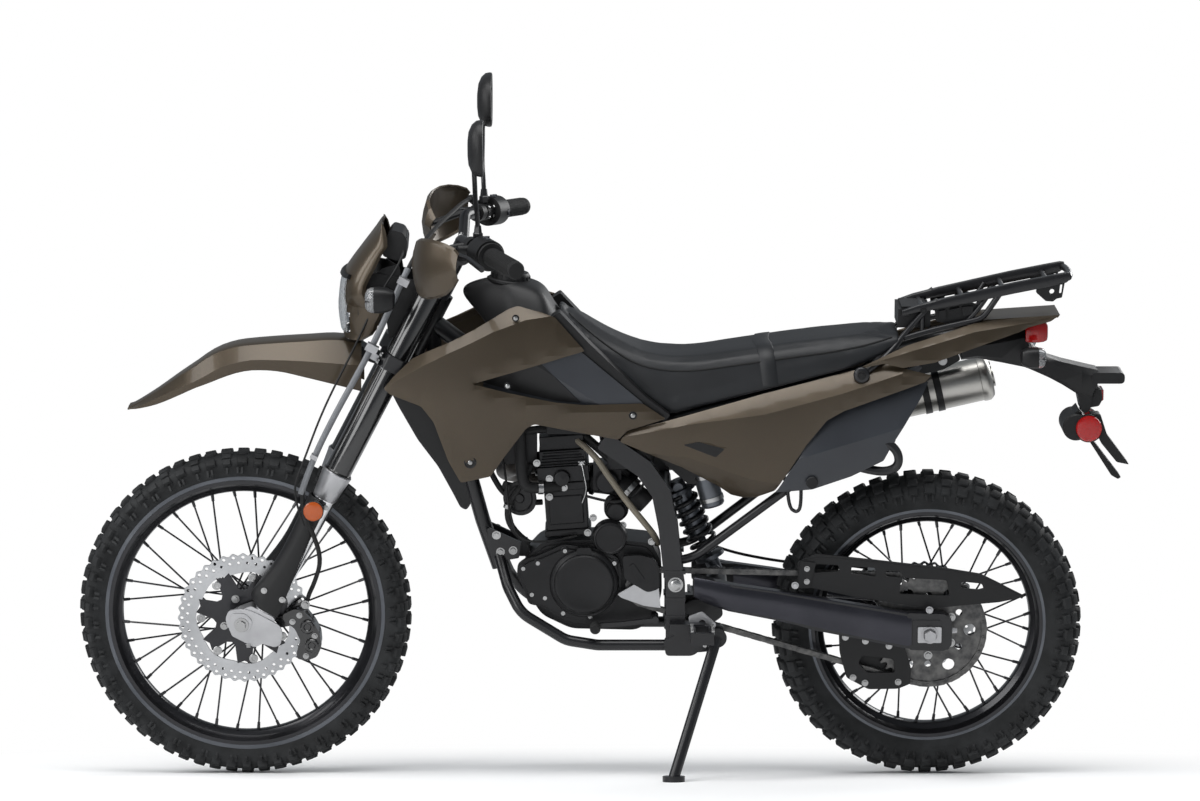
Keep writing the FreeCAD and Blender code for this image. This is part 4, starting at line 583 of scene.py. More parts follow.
dress_disc("front", FRONT_AXLE, outer_r=131.5, inner_r=93, y=60, waves=40, arms=7, reach=95, root=56,
    bore=26.2)
dress_disc("rear", REAR_AXLE, outer_r=109.5, inner_r=78, y=-64, waves=32, arms=6, reach=80, root=50,
    bore=30.2)
for k in range(7):
    x, z = spot(FRONT_AXLE, 85, 2 * pi * k / 7)
    add_turned(bm, [(0, 9), (1, 9), (1.5, 8), (1.5, 4), (0.8, 3.5), (0.8, 0)], V(x, 65, z), LEFT, 20)
add_bolts(bm, 65, [spot(FRONT_AXLE, 42, 2.76 + pi / 2 * k) for k in range(4)], 5.5, 5)
add_piece(bm, "front_disc_rivets", BOLT_STEEL, body="front_wheel", tidy=False)

# %% [markdown]
# ## Chain and sprockets
#
# A roller chain is a row of pins, one pitch of 15.875 mm apart. Narrow inner links and wider outer links
# take turns along it, and each link is a pair of waisted plates. The path is two arcs round the sprockets
# and two straight runs between them. Walking along it by the pitch gives the place of every pin.

# %% The chain's path
PITCH = 15.875
REAR_TEETH, FRONT_TEETH, CHAIN_Y = 44, 14, 70
DRIVE = V(563, 0, 398)
big_r = PITCH / (2 * sin(pi / REAR_TEETH))
small_r = PITCH / (2 * sin(pi / FRONT_TEETH))
run = DRIVE - REAR_AXLE
slope = atan2(run.z, run.x)
opening = acos((big_r - small_r) / run.length)
straight = sqrt(run.length**2 - (big_r - small_r)**2)
big_arc, small_arc = 2 * pi - 2 * opening, 2 * opening
path_length = big_r * big_arc + small_r * small_arc + 2 * straight
pins = 2 * round(path_length / PITCH / 2)


def chain_point(distance):
    """A place on the chain's path, which starts at the top of the big sprocket."""
    s = distance % path_length
    parts = [(big_r * big_arc, REAR_AXLE, big_r, slope + opening, 1), (straight, None, 0, slope - opening, 0),
        (small_r * small_arc, DRIVE, small_r, slope - opening, 1), (straight, None, 0, slope + opening, 0)]
    for length, centre, radius, angle, turning in parts:
        if s <= length:
            break
        s -= length
    if turning:
        x, z = spot(centre, radius, angle + s / radius)
        return V(x, 0, z)
    x, z = spot(REAR_AXLE, big_r, angle) if angle < slope else spot(DRIVE, small_r, angle)
    way = angle + pi / 2
    return V(x, 0, z) + V(cos(way), 0, sin(way)) * s


print("chain of", pins, "pins,", round(path_length / 1000, 3), "m")

# %% [markdown]
# Each plate is drawn as two half circles joined by a straight waist, turned to the way from pin to pin.

# %% Links and rollers
step = path_length / pins
for k in range(pins):
    here, there = chain_point(k * step), chain_point((k + 1) * step)
    middle, way = (here + there) / 2, atan2(there.z - here.z, there.x - here.x)
    reach = (there - here).length / 2
    outline = []
    for j in range(16):
        a = radians(-75 + 150 * (j % 8) / 7) + (pi if j > 7 else 0)
        along, up = (reach if j < 8 else -reach) + 5.6 * cos(a), 5.6 * sin(a)
        outline.append((middle.x + along * cos(way) - up * sin(way), middle.z + along * sin(way) + up
            * cos(way)))
    inner, outer = (3.6, 5) if k % 2 else (5.4, 6.8)
    for side in (-1, 1):
        add_plate(bm, outline, CHAIN_Y + side * inner, CHAIN_Y + side * outer)
    add_rod(bm, here + LEFT * CHAIN_Y, RIGHT, 16, 2.4, 2.4, 8)
    add_rod(bm, here + LEFT * CHAIN_Y, RIGHT, 7, 4.8, 4.8, 10)
add_piece(bm, "chain_links", DARK_STEEL, ["drive_chain"], tidy=False, sharp=30)


# %% [markdown]
# A sprocket's teeth stand between the rollers. Their outline alternates between a round pocket and a blunt
# tip, one tooth to each pitch.

# %% Sprockets
def toothed_outline(centre, radius, teeth, turn):
    points = []
    for k in range(teeth):
        for share, lift in ((-0.28, -2), (-0.12, -4.6), (0.12, -4.6), (0.28, -2), (0.42, 5.2), (0.58, 5.2)):
            points.append(spot(centre, radius + lift, turn + 2 * pi * (k + share) / teeth))
    return points


first = chain_point(0)
phase = atan2(first.z - REAR_AXLE.z, first.x - REAR_AXLE.x)
holes = [circle(0, REAR_AXLE.z, 30, 32)]
for k in range(6):
    a = pi * k / 3
    holes.append(circle(*spot(REAR_AXLE, 82, a), 12, 16))
    holes.append(circle(*spot(REAR_AXLE, 70, a + pi / 6), 7, 12))
add_plate(bm, toothed_outline(REAR_AXLE, big_r, REAR_TEETH, phase), CHAIN_Y - 3, CHAIN_Y + 3, holes=holes)
add_piece(bm, "rear_sprocket_teeth", DARK_STEEL, ["rear_sprocket"], body="rear_wheel", sharp=35, edge=0.4)
add_bolts(bm, CHAIN_Y + 3, [spot(REAR_AXLE, 52, pi / 6 + pi * k / 3) for k in range(6)], 6, 6)
add_piece(bm, "rear_sprocket_nuts", BOLT_STEEL, body="rear_wheel", tidy=False)

# %% [markdown]
# ## Body panels
#
# The shrouds, covers and tail are injection-moulded plastic, about three millimetres thick, with crisp
# creases and a small bevel all round. Seen from the side, each one is a flat outline. So the outline is
# drawn first, inset for the bevel, cut into a grid, and only then pushed out of the plane by a height
# function. A crease is a line of cuts along which that function bends, so its edge is exact. Solidify gives
# the wall.

# %% A panel with a bevel and creases
def distance_to_outline(outline, x, z):
    nearest = 1e9
    for k in range(len(outline)):
        a, b = Vector(outline[k - 1]), Vector(outline[k])
        run = b - a
        t = max(0, min(1, (Vector((x, z)) - a).dot(run) / max(run.length_squared, 1e-9)))
        nearest = min(nearest, (a + run * t - Vector((x, z))).length)
    return nearest


def cut(bm, place, normal, x0=-1e9, x1=1e9):
    """Cuts the faces that lie between two distances forward along one plane."""
    faces = [f for f in bm.faces if x0 - 0.01 <= f.calc_center_median().x <= x1 + 0.01]
    geom = list({item for f in faces for item in [f, *f.edges, *f.verts]})
    if geom:
        bmesh.ops.bisect_plane(bm, geom=geom, plane_co=place, plane_no=normal, dist=0.05)


def crease_height(crease, x):
    """The crease's z at x; it runs on straight beyond its ends."""
    points = sorted(crease)
    i = min(max(1, sum(1 for p in points[:-1] if p[0] < x)), len(points) - 1)
    (x0, z0), (x1, z1) = points[i - 1], points[i]
    return z0 + (z1 - z0) * (x - x0) / (x1 - x0)


def skin_height(stations, x, z):
    """A smooth skin through stations (x, [(z, y), ...])."""
    line = sorted((sx, smooth_curve(rows, z)) for sx, rows in stations)
    return smooth_curve(line, x)


def add_panel(bm, outline, stations, thickness=3.2, radius=5, band=6, drop=2.5, step=16, creases=()):
    """creases are (points, slope): the panel leans in above the line, or below it for a negative slope."""
    outline = [tuple(p) for p in round_corners(outline, radius)] if radius else outline
    part = bmesh.new()
    face = part.faces.new([part.verts.new((x, 0, z)) for x, z in outline])
    if band:
        bmesh.ops.inset_region(part, faces=[face], thickness=band, use_even_offset=True, use_boundary=True)
    xs, zs = [p[0] for p in outline], [p[1] for p in outline]
    for crease, _ in creases:
        points = sorted(crease)
        for x, _z in points:
            cut(part, (x, 0, 0), (1, 0, 0))
        for (x0, z0), (x1, z1) in zip(points, points[1:]):
            cut(part, (x0, 0, z0), (-(z1 - z0), 0, x1 - x0), x0, x1)
    x = ceil(min(xs) / step) * step
    while x < max(xs):
        cut(part, (x, 0, 0), (1, 0, 0))
        x += step
    z = ceil(min(zs) / step) * step
    while z < max(zs):
        cut(part, (0, 0, z), (0, 0, 1))
        z += step
    for vert in part.verts:
        x, z = vert.co.x, vert.co.z
        y = skin_height(stations, x, z)
        for crease, slope in creases:
            y -= slope * max(0, z - crease_height(crease, x)) if slope > 0 else \
                -slope * max(0, crease_height(crease, x) - z)
        if band:
            y -= drop * (1 - min(1, distance_to_outline(outline, x, z) / band))
        vert.co.y = y
    bmesh.ops.recalc_face_normals(part, faces=part.faces)
    if sum(f.normal.y * f.calc_area() for f in part.faces) < 0:
        bmesh.ops.reverse_faces(part, faces=part.faces)
    bmesh.ops.solidify(part, geom=part.faces[:], thickness=thickness)
    mesh = bpy.data.meshes.new("part")
    part.to_mesh(mesh)
    part.free()
    bm.from_mesh(mesh)
    bpy.data.meshes.remove(mesh)


def dress_panel(name, outline, stations, material, stands_for=(), sharp=13, **shape):
    """The same panel on both sides."""
    bm = bmesh.new()
    add_panel(bm, outline, stations, **shape)
    add_mirror(bm)
    add_piece(bm, name, material, stands_for, sharp=sharp)


def lifted(stations, lift):
    return [(x, [(z, y + lift) for z, y in rows]) for x, rows in stations]


# %% [markdown]
# The radiator-style shroud is the largest panel. It flares out at the front, is widest above the engine and
# folds inwards along a crease under its top edge, which catches the light. A long window behind it shows the
# tank's darker side panel.

# %% Shrouds
SHROUD_STATIONS = [(1090, [(600, 158), (780, 172), (900, 170), (1000, 166)]), (951, [(600, 149), (780, 171),
    (900, 167), (1000, 158)]), (840, [(600, 140), (770, 166), (900, 158), (1000, 146)]), (700, [(600, 131),
    (760, 153), (880, 146), (1000, 134)]), (505, [(600, 126), (740, 143), (800, 140), (1000, 130)])]
SHROUD = [(1077, 819), (1058, 841), (1022, 874), (1000, 885), (945, 908), (901, 930), (834, 968), (815, 974),
    (768, 963), (743, 955), (684, 888), (767, 864), (904, 827), (831, 808), (743, 788), (686, 782),
    (571, 784), (525, 753), (602, 729), (618, 711), (694, 726), (783, 745), (799, 737), (839, 683),
    (870, 638), (928, 626), (952, 671), (980, 751), (1004, 783), (1065, 807)]
SHROUD_CREASES = [([(1073, 822), (1003, 862), (948, 889), (905, 908), (864, 928), (799, 951), (743, 958)],
    0.85)]
dress_panel("shroud_skins", SHROUD, SHROUD_STATIONS, KHAKI, ["shrouds"], band=7, drop=3.5,
    creases=SHROUD_CREASES)

INFILL = [(700, 893), (767, 876), (880, 842), (884, 812), (831, 799), (743, 779), (686, 773), (577, 775),
    (569, 783)]
INFILL_STATIONS = lifted(SHROUD_STATIONS, -7)
INFILL_FOLD = [([(780, 862), (640, 772)], -0.35)]
dress_panel("tank_infill_skins", INFILL, INFILL_STATIONS, GREY_PANEL, ["tank_side_panels"], radius=3, band=0,
    creases=INFILL_FOLD)

# %% [markdown]
# The side cover and the rear panel behind it share one skin, like one panel that is cut in two. The cover has
# an upper crease, above which it turns to the light, a lower one that tucks it in, and a small vent.

# %% Side covers and rear panels
COVER_STATIONS = [(640, [(540, 122), (680, 140), (730, 142), (800, 136), (900, 126)]), (500, [(540, 124),
    (650, 143), (720, 146), (800, 138), (900, 126)]), (340, [(540, 120), (640, 141), (740, 144), (805, 138),
    (900, 124)]), (160, [(540, 112), (680, 126), (780, 127), (845, 121), (900, 110)]), (-30, [(540, 100),
    (700, 110), (800, 108), (840, 102), (900, 96)])]
COVER = [(616, 707), (601, 728), (524, 747), (338, 797), (160, 841), (97, 857), (2, 833), (15, 820),
    (176, 765), (209, 747), (249, 699), (310, 605), (348, 589), (371, 588), (396, 594), (421, 613),
    (496, 655), (585, 694)]
COVER_CREASES = [([(612, 716), (480, 742), (330, 762), (180, 800), (60, 838)], 0.55),
    ([(612, 690), (480, 676), (360, 632), (200, 600)], -0.45)]
REAR = [(309, 603), (236, 608), (160, 633), (96, 664), (78, 698), (21, 789), (8, 816), (14, 818), (174, 763),
    (207, 745), (247, 697)]
REAR_CREASES = [([(290, 664), (67, 728), (0, 747)], 0.3)]
dress_panel("side_cover_skins", COVER, COVER_STATIONS, KHAKI, ["side_covers"], radius=4, drop=3,
    creases=COVER_CREASES)
dress_panel("side_cover_vent_rims", [(499, 700), (460, 713), (402, 697), (424, 671)], lifted(COVER_STATIONS,
    0.6), KHAKI, sharp=20, radius=4, band=3, drop=1.2, step=8, creases=COVER_CREASES)
dress_panel("side_cover_vents", [(491, 702), (461, 708), (410, 694), (427, 677)], lifted(COVER_STATIONS, 1.1),
    BLACK_PLASTIC, sharp=32, radius=3, band=0, step=8, creases=COVER_CREASES)
dress_panel("rear_panel_skins", REAR, COVER_STATIONS, GREY_PANEL, ["rear_panels"], radius=3, band=4, drop=2,
    creases=REAR_CREASES)
add_turned(bm, [(0, 12), (3, 12), (4.5, 10), (4.5, 0)], V(237, 133, 624), LEFT, 24)
add_mirror(bm)
add_piece(bm, "rear_panel_plugs", BLACK_PLASTIC)

# %% Windows, fins, bolts and the edge under the cushion
dress_panel("tank_infill_windows", [(902, 828), (776, 861), (768, 863), (692, 785), (742, 788), (826, 807)],
    lifted(INFILL_STATIONS, 1.4), BLACK_PLASTIC, radius=2, band=0, creases=INFILL_FOLD)
add_plate(bm, [(1066, 806), (1050, 774), (1013, 708), (973, 654), (944, 600), (930, 572), (918, 566),
    (908, 580), (924, 640), (958, 720), (996, 780), (1040, 828)], 116, 124, 8)
add_mirror(bm)
add_piece(bm, "shroud_inner_fins", BLACK_PLASTIC, edge=2, sharp=35)
bolts, cups = bmesh.new(), bmesh.new()
for stations, x, z, cup in ((SHROUD_STATIONS, 819, 955, 7), (SHROUD_STATIONS, 909, 669, 12), (SHROUD_STATIONS,
        590, 761, 8), (INFILL_STATIONS, 835, 822, 7)):
    y = skin_height(stations, x, z) - 1
    add_turned(cups, [(0, cup), (2, cup), (2.4, cup - 1), (1.4, cup - 2.5), (1.4, 0)], V(x, y, z), LEFT, 24)
    add_turned(bolts, [(1, 4.6), (3.4, 4.4), (4, 3.4), (4, 0)], V(x, y, z), LEFT, 20)
add_mirror(bolts)
add_mirror(cups)
add_piece(cups, "panel_bolt_cups", BLACK_PLASTIC)
add_piece(bolts, "panel_bolts", BOLT_STEEL)
add_plate(bm, [(752, 952), (692, 884), (578, 778), (528, 746), (516, 758), (564, 794), (674, 900),
    (734, 964)], 92, 132, 4)
add_mirror(bm)
add_piece(bm, "cushion_edge_flanges", BLACK_PLASTIC, edge=2, sharp=35)


# %% Tail cowl
TAIL_STATIONS = [(160, [(780, 124), (840, 120), (900, 112), (960, 104)]), (0, [(780, 113), (860, 110),
    (900, 104), (960, 96)]), (-110, [(780, 97), (880, 93), (920, 86), (960, 78)]), (-260, [(780, 70),
    (900, 64), (930, 60), (960, 52)])]
TAIL = [(155, 846), (53, 890), (-82, 931), (-110, 935), (-252, 945), (-234, 933), (-188, 922), (-174, 915),
    (-74, 883), (-4, 859), (60, 849), (97, 858)]
add_panel(bm, TAIL, TAIL_STATIONS, radius=3, band=4, drop=2, creases=[([(155, 848), (53, 879), (-82, 917),
    (-252, 940)], 1.1)])
add_mirror(bm)
add_plate(bm, [(-55, 926), (-82, 932), (-110, 936), (-252, 945.5), (-248, 940), (-110, 931), (-82, 927),
    (-55, 921)], -58, 58)
add_piece(bm, "tail_skins", KHAKI, ["tail_cowl"], sharp=13)


# %% [markdown]
# ## Fuel tank
#
# The tank's top is one smooth pressing between the shrouds. A few rings of points are bridged and rounded by
# subdivision, with more rings where the top line turns down towards the cushion. The cap is a turned part
# with a row of grips round it.

# %% Tank top and cap
TANK = [(926, 3, 990, 5, 978), (918, 8, 998, 12, 966), (904, 16, 1004, 22, 950), (886, 26, 1009, 38, 932),
    (866, 40, 1012, 58, 900), (848, 54, 1013, 80, 860), (830, 70, 1012, 108, 826), (800, 80, 1008, 122, 806),
    (772, 86, 998, 128, 798), (757, 86, 981, 128, 792), (745, 86, 957, 127, 787), (700, 82, 897, 122, 777),
    (650, 78, 842, 119, 765), (640, 76, 832, 116, 764)]
rings = []
for x, top_w, top, w, low in TANK:
    middle = low + 0.42 * (top - low)
    rings.append(ring_across(x, [(w * 0.86, low), (w, low + 8), (w * 0.99, middle), (top_w * 0.92, top - 14),
        (top_w * 0.62, top - 3), (top_w * 0.25, top)]))
add_loft(bm, rings)
add_piece(bm, "tank_top", BLACK_PLASTIC, ["fuel_tank"], sharp=60, levels=2)

CAP_FOOT, CAP_UP = V(833, 0, 1003), V(-0.12, 0, 1).normalized()
add_turned(bm, [(0, 46), (4, 46), (6, 43), (6, 39), (17, 38), (21, 35), (22, 30), (21, 16), (23, 14),
    (23, 0)], CAP_FOOT, CAP_UP, 40)
for k in range(20):
    a = 2 * pi * k / 20
    side = CAP_UP.orthogonal().normalized()
    out = side * cos(a) + CAP_UP.cross(side) * sin(a)
    turn = FORWARD.rotation_difference(out).to_matrix().to_4x4()
    bmesh.ops.create_cube(bm, size=1, matrix=Matrix.Translation(CAP_FOOT + CAP_UP * 12 + out * 38.5) @ turn
        @ Matrix.Diagonal((2.5, 4, 9, 1)))
add_piece(bm, "tank_cap", BLACK_PLASTIC, ["fuel_cap"], tidy=False)


# %% [markdown]
# ## Front fender
#
# A high fender is a long thin shell: a nearly flat top, a facet that leans out to a crease, and a lower
# flank. Each station along it gives a width and three heights. The stations are joined by smooth curves, a
# ring of the outside and the inside is drawn every 16 mm, and the rings are bridged.

# %% Fender rings
FENDER = [  # x, half width, top, crease, low edge
    (1592, 30, 753, 751.5, 750), (1570, 38, 765, 758, 753), (1531, 48, 790, 777, 764),
    (1490, 55, 819, 797, 782), (1454, 60, 843, 813, 799), (1430, 62, 860, 826, 808),
    (1404, 65, 873, 841, 819), (1373, 67, 882, 851, 830), (1340, 69, 886, 857, 836),
    (1289, 70, 890, 857, 834), (1240, 70, 893, 855, 823), (1177, 68, 896, 850, 807),
    (1126, 64, 888, 845, 793)]


def fender_value(column, x):
    return smooth_curve(sorted((row[0], row[column]) for row in FENDER), x)


rings = []
stops = [1592, 1585, 1576, 1566] + list(range(1550, 1130, -16)) + [1126]
for x in stops:
    w, top, crease, low = (fender_value(c, x) for c in (1, 2, 3, 4))
    lift = max(0, min(4, (1592 - x) * 0.06))
    half = [(w - 1, low), (w, low + 2), (w + 1.5, crease), (w * 0.6, top - 4), (w * 0.52, top - 2.2),
        (w * 0.25, top - lift * 0.2)]
    thin = [(max(y - 3, 0), z - 2.6) for y, z in half[2:]]
    inside = [(w - 4, low), (w - 3.4, low + 2)] + thin
    rings.append(ring_across(x, half) + ring_across(x, [(-y, z) for y, z in inside]))
add_loft(bm, rings)
add_steered(bm, "fender_shell", KHAKI, ["front_fender"], sharp=16)

# %% [markdown]
# ## The cushion
#
# A motorcycle's cushion is a moulded foam block under a stretched vinyl cover. The foam gives the shape, and
# the cover pulls it round and pushes out between its seams. That is what a cloth simulation does well: the
# block is drawn a few millimetres too small, remeshed into even cells, its underside pinned to the base, and
# pressure swells the rest. The cap on how far a point may go keeps the shape the one that was drawn.

# %% The foam block
CUSHION = [  # x, half width at the bottom, half width at the shoulder, top, low edge
    (736, 46, 40, 969, 950), (700, 66, 54, 944, 908), (668, 80, 66, 923, 875), (636, 90, 76, 904, 846),
    (606, 97, 86, 889, 822), (580, 104, 94, 878, 800), (560, 109, 99, 872, 784), (518, 114, 104, 866, 756),
    (466, 117, 108, 867, 768), (400, 118, 109, 876, 785), (337, 118, 109, 885, 802),
    (250, 114, 106, 897, 824), (159, 107, 99, 907, 847), (105, 98, 90, 914, 868), (66, 88, 80, 918, 890)]


def cushion_value(column, x):
    return smooth_curve(sorted((row[0], row[column]) for row in CUSHION), x)


def cushion_ring(x, shrink):
    low_w, top_w, top, low = (cushion_value(c, x) for c in (1, 2, 3, 4))
    deep = top - low
    half = [(low_w - 3, low), (low_w, low + 0.12 * deep), (low_w - 1, low + 0.45 * deep), (top_w + 4,
        top - 0.2 * deep - 4), (top_w - 6, top - 5), (top_w * 0.72, top - 1), (top_w * 0.35, top)]
    return ring_across(x, [(y - shrink if y > 20 else y, z - (shrink if z > low + 0.5 * deep else 0)) for y,
        z in half])


add_loft(bm, [cushion_ring(x, 4) for x in [736, 730, 716] + list(range(700, 70, -18)) + [72, 66]])
cushion = add_piece(bm, "cushion", CUSHION_GRAIN, ["seat"], sharp=80)


# %% [markdown]
# The simulation runs for twenty frames with gravity off. Afterwards the points are read back, no point is
# let further than the cap from where it began, and the modifiers are taken away, so that a plain mesh stays.

# %% Swell the cover
def bake_modifiers(obj):
    mesh = bpy.data.meshes.new_from_object(obj.evaluated_get(bpy.context.evaluated_depsgraph_get()))
    obj.modifiers.clear()
    old, obj.data = obj.data, mesh
    bpy.data.meshes.remove(old)


def swell(obj, fixed, pressure, cap, voxel):
    remesh = obj.modifiers.new("even cells", "REMESH")
    remesh.mode = "VOXEL"
    remesh.voxel_size = voxel
    remesh.use_smooth_shade = True
    bake_modifiers(obj)
    start = [v.co.copy() for v in obj.data.vertices]
    group = obj.vertex_groups.new(name="fixed")
    group.add([k for k, point in enumerate(start) if fixed(point)], 1, "REPLACE")
    cover = obj.modifiers.new("cover", "CLOTH")
    cover.settings.use_pressure = True
    cover.settings.uniform_pressure_force = pressure
    cover.settings.effector_weights.gravity = 0
    cover.settings.vertex_group_mass = "fixed"
    cover.settings.quality = 5
    cover.point_cache.frame_start, cover.point_cache.frame_end = 1, 20
    for step in range(1, 21):
        scene.frame_set(step)
    bake_modifiers(obj)
    for vert, before in zip(obj.data.vertices, start):
        move = vert.co - before
        if move.length > cap:
            vert.co = before + move.normalized() * cap
    scene.frame_set(1)


UPRIGHT = PARKED.inverted()


def on_base(point):
    spot = UPRIGHT @ point
    return spot.z < cushion_value(4, spot.x) + 9 or spot.x > 726 or spot.x < 74


swell(cushion, on_base, pressure=4, cap=0.005, voxel=0.005)
relax = cushion.modifiers.new("relax", "SMOOTH")
relax.iterations = 4
relax.factor = 0.5
bake_modifiers(cushion)
finer = cushion.modifiers.new("finer", "SUBSURF")
finer.levels = finer.render_levels = 1
print("cushion:", len(cushion.data.polygons), "faces")

# %% [markdown]
# The cover is sewn from a top and two sides. The seam runs about 25 mm under the top edge, with a thin cord
# in it. It has to lie exactly on the swollen cover, so its points are found by rays that are shot at the
# cushion from the side. The passenger's strap goes over the top in the same way, with rays from all round.

# %% Seam cord
from mathutils.bvhtree import BVHTree

cover_tree = BVHTree.FromObject(cushion, bpy.context.evaluated_depsgraph_get())


def on_cover(origin, direction):
    """Where a ray, in upright millimetres, meets the cover, and the cover's normal there."""
    start = PARKED @ Vector(origin)
    aim = (PARKED.to_3x3() @ Vector(direction)).normalized()
    place, normal, _, _ = cover_tree.ray_cast(start, aim)
    if place is None:
        return None, None
    return UPRIGHT @ place, (UPRIGHT.to_3x3() @ normal).normalized()


for side in (1, -1):
    line = []
    for x in range(716, 78, -12):
        deep = cushion_value(3, x) - cushion_value(4, x)
        point, normal = on_cover((x, side * 200, cushion_value(3, x) - min(25, 0.36 * deep)), (0, -side, 0))
        if point:
            line.append(point + normal * 0.4)
    add_tube(bm, line, 1.7, sides=8)
add_piece(bm, "cushion_seam", SOFT_RUBBER, slot="cushion")


# %% Passenger's strap
def strap_ring(x, lean_back):
    """The strap's centre line across the cushion; it leans back towards the bottom."""
    line = []
    for k in range(25):
        a = radians(-14 + 208 * k / 24)
        centre = V(x, 0, cushion_value(3, x) - 60)
        out = V(0, cos(a), sin(a))
        drop = max(0, 60 - 60 * sin(a))
        point, normal = on_cover(centre + out * 260 + V(-lean_back * drop, 0, 0), -out)
        if point and point.z > cushion_value(4, point.x) + 3:
            line.append((point, normal))
    return line


rows = [strap_ring(x, 0.25) for x in (352, 350, 336, 322, 320)]
lifts = (0.2, 2.2, 2.6, 2.2, 0.2)
count = min(len(row) for row in rows)
add_sheet(bm, [[point + normal * lift for point, normal in row[:count]] for row, lift in zip(rows, lifts)])
add_piece(bm, "passenger_strap", CUSHION_GRAIN, sharp=50)

# %% [markdown]
# ## Fork
#
# The fork is upside down: thick black tubes are held by the clamps, and thinner bright ones slide in them
# from below. A tapered alloy collar carries the dust seal. All of it lies along one slanted line, so a small
# function turns (distance up the leg, sideways, forward) into a point.

# %% Along the fork leg
RAKE = radians(27.5)
UP_FORK = V(-sin(RAKE), 0, cos(RAKE))
OUT_FORK = V(cos(RAKE), 0, sin(RAKE))
LEG_Y = 97


def on_leg(along, y=0, out=0):
    return FRONT_AXLE + OUT_FORK * (out - 30) + UP_FORK * along + V(0, y, 0)


def on_stem(along, y=0, out=0):
    return on_leg(along, y, out - 21)


LEG_FOOT, REFLECTOR = on_leg(0, LEG_Y), V(1219, 132, 568)
add_turned(bm, [(359, 20.8), (359, 28), (361, 29), (363, 26.8), (372, 26.5), (588, 26.5), (590, 25.8),
    (794, 25.8), (798, 24.5), (798, 10), (795, 9), (795, 0)], LEG_FOOT, UP_FORK, 40)
add_mirror(bm)
add_steered(bm, "fork_tubes_black", GLOSS_BLACK, ["fork_outer_tubes"], slot="fork_tube", sharp=25)
add_turned(bm, [(300, 20.8), (300, 23), (303, 24.2), (352, 30), (357, 31), (358.8, 30), (358.8, 20.8)],
    LEG_FOOT, UP_FORK, 40)
add_mirror(bm)
add_steered(bm, "fork_collars", ALLOY, sharp=25)

add_turned(bm, [(52, 20.6), (52, 23.5), (300, 23.5), (300, 20.6)], LEG_FOOT, UP_FORK, 40)
add_mirror(bm)
add_steered(bm, "fork_slider_sleeves", CHROME, slot="fork_tube", sharp=25)

# %% [markdown]
# The guard is a curved plastic shield that is widest at the foot, where it shields the axle. Its sections
# are drawn square to the leg, wrapped round the front, and joined into one skin that Solidify thickens.

# %% Fork guards
GUARD = [  # up the leg, rear edge, front edge
    (46, -26, 20), (58, -26, 40), (74, -25, 41), (100, -22, 36), (141, -18, 29), (183, -14, 27),
    (230, -12, 28), (270, -11, 29), (297, -8, 30)]
for side in (1, -1):
    rings = []
    for along, rear, front in GUARD:
        half = [(rear, 26), (rear + 3, 29), (rear * 0.4 + front * 0.25, 30), (front * 0.55, 27.5),
            (front * 0.86, 18), (front * 0.97, 9), (front, 0)]
        line = half + [(out, -y) for out, y in half[-2:1:-1]]
        rings.append([on_leg(along, side * (LEG_Y + y), out) for out, y in line])
    add_sheet(bm, rings)
bmesh.ops.recalc_face_normals(bm, faces=bm.faces)
bmesh.ops.subdivide_edges(bm, edges=bm.edges[:], cuts=1, smooth=0.7, use_grid_fill=True)
bmesh.ops.solidify(bm, geom=bm.faces[:], thickness=2.6)
add_steered(bm, "fork_guard_shells", BLACK_PLASTIC, ["fork_guards"], sharp=40)
for along, out in ((84, -18), (84, 22)):
    add_bolt(bm, on_leg(along, LEG_Y + 30, out), LEFT, 4.2, 3)
for out in (-22, 24):
    add_bolt(bm, on_leg(290, LEG_Y + 29, out * 0.5), LEFT, 3.6, 3)
add_mirror(bm)
add_steered(bm, "fork_guard_bolts", BOLT_STEEL, tidy=False)

# %% Side reflectors
add_turned(bm, [(0, 8), (4, 20.5), (13, 21), (14, 20), (14, 19)], REFLECTOR, LEFT, 40)
add_mirror(bm)
add_steered(bm, "reflector_cups", BLACK_PLASTIC)
add_turned(bm, [(12, 19.4), (14.6, 19), (15.4, 17), (15.4, 0)], REFLECTOR, LEFT, 40)
add_mirror(bm)
add_steered(bm, "reflector_lenses", AMBER_LENS)

# %% [markdown]
# ## Axle lugs and front caliper
#
# The axle sits in a cast lug that is machined on its outer face. The caliper floats on two pins, which are
# hidden by rubber boots; bolts join its halves, and the brake hose meets it at a banjo bolt.

# %% Axle lugs
LUG = [(1390, 362), (1362, 366), (1338, 358), (1290, 332), (1284, 318), (1288, 292), (1300, 287), (1330, 296),
    (1374, 312), (1392, 326), (1397, 346)]
add_plate(bm, LUG, LEG_Y + 19, LEG_Y + 25, 10)
add_plate(bm, [(1384, 356), (1356, 356), (1342, 340), (1350, 318), (1380, 322), (1390, 340)], LEG_Y + 25,
    LEG_Y + 28, 8)
add_mirror(bm)
add_steered(bm, "axle_lug_faces", ALLOY, edge=1.6, sharp=40)
add_bolt(bm, (FRONT_AXLE.x, LEG_Y + 28, FRONT_AXLE.z), LEFT, 10, 6)
for x, z in ((1318, 306), (1352, 300)):
    add_bolt(bm, (x, LEG_Y + 18, z - 8), (0, 0.2, -1), 4.5, 6)
add_mirror(bm)
add_steered(bm, "axle_nuts", BOLT_STEEL, tidy=False)

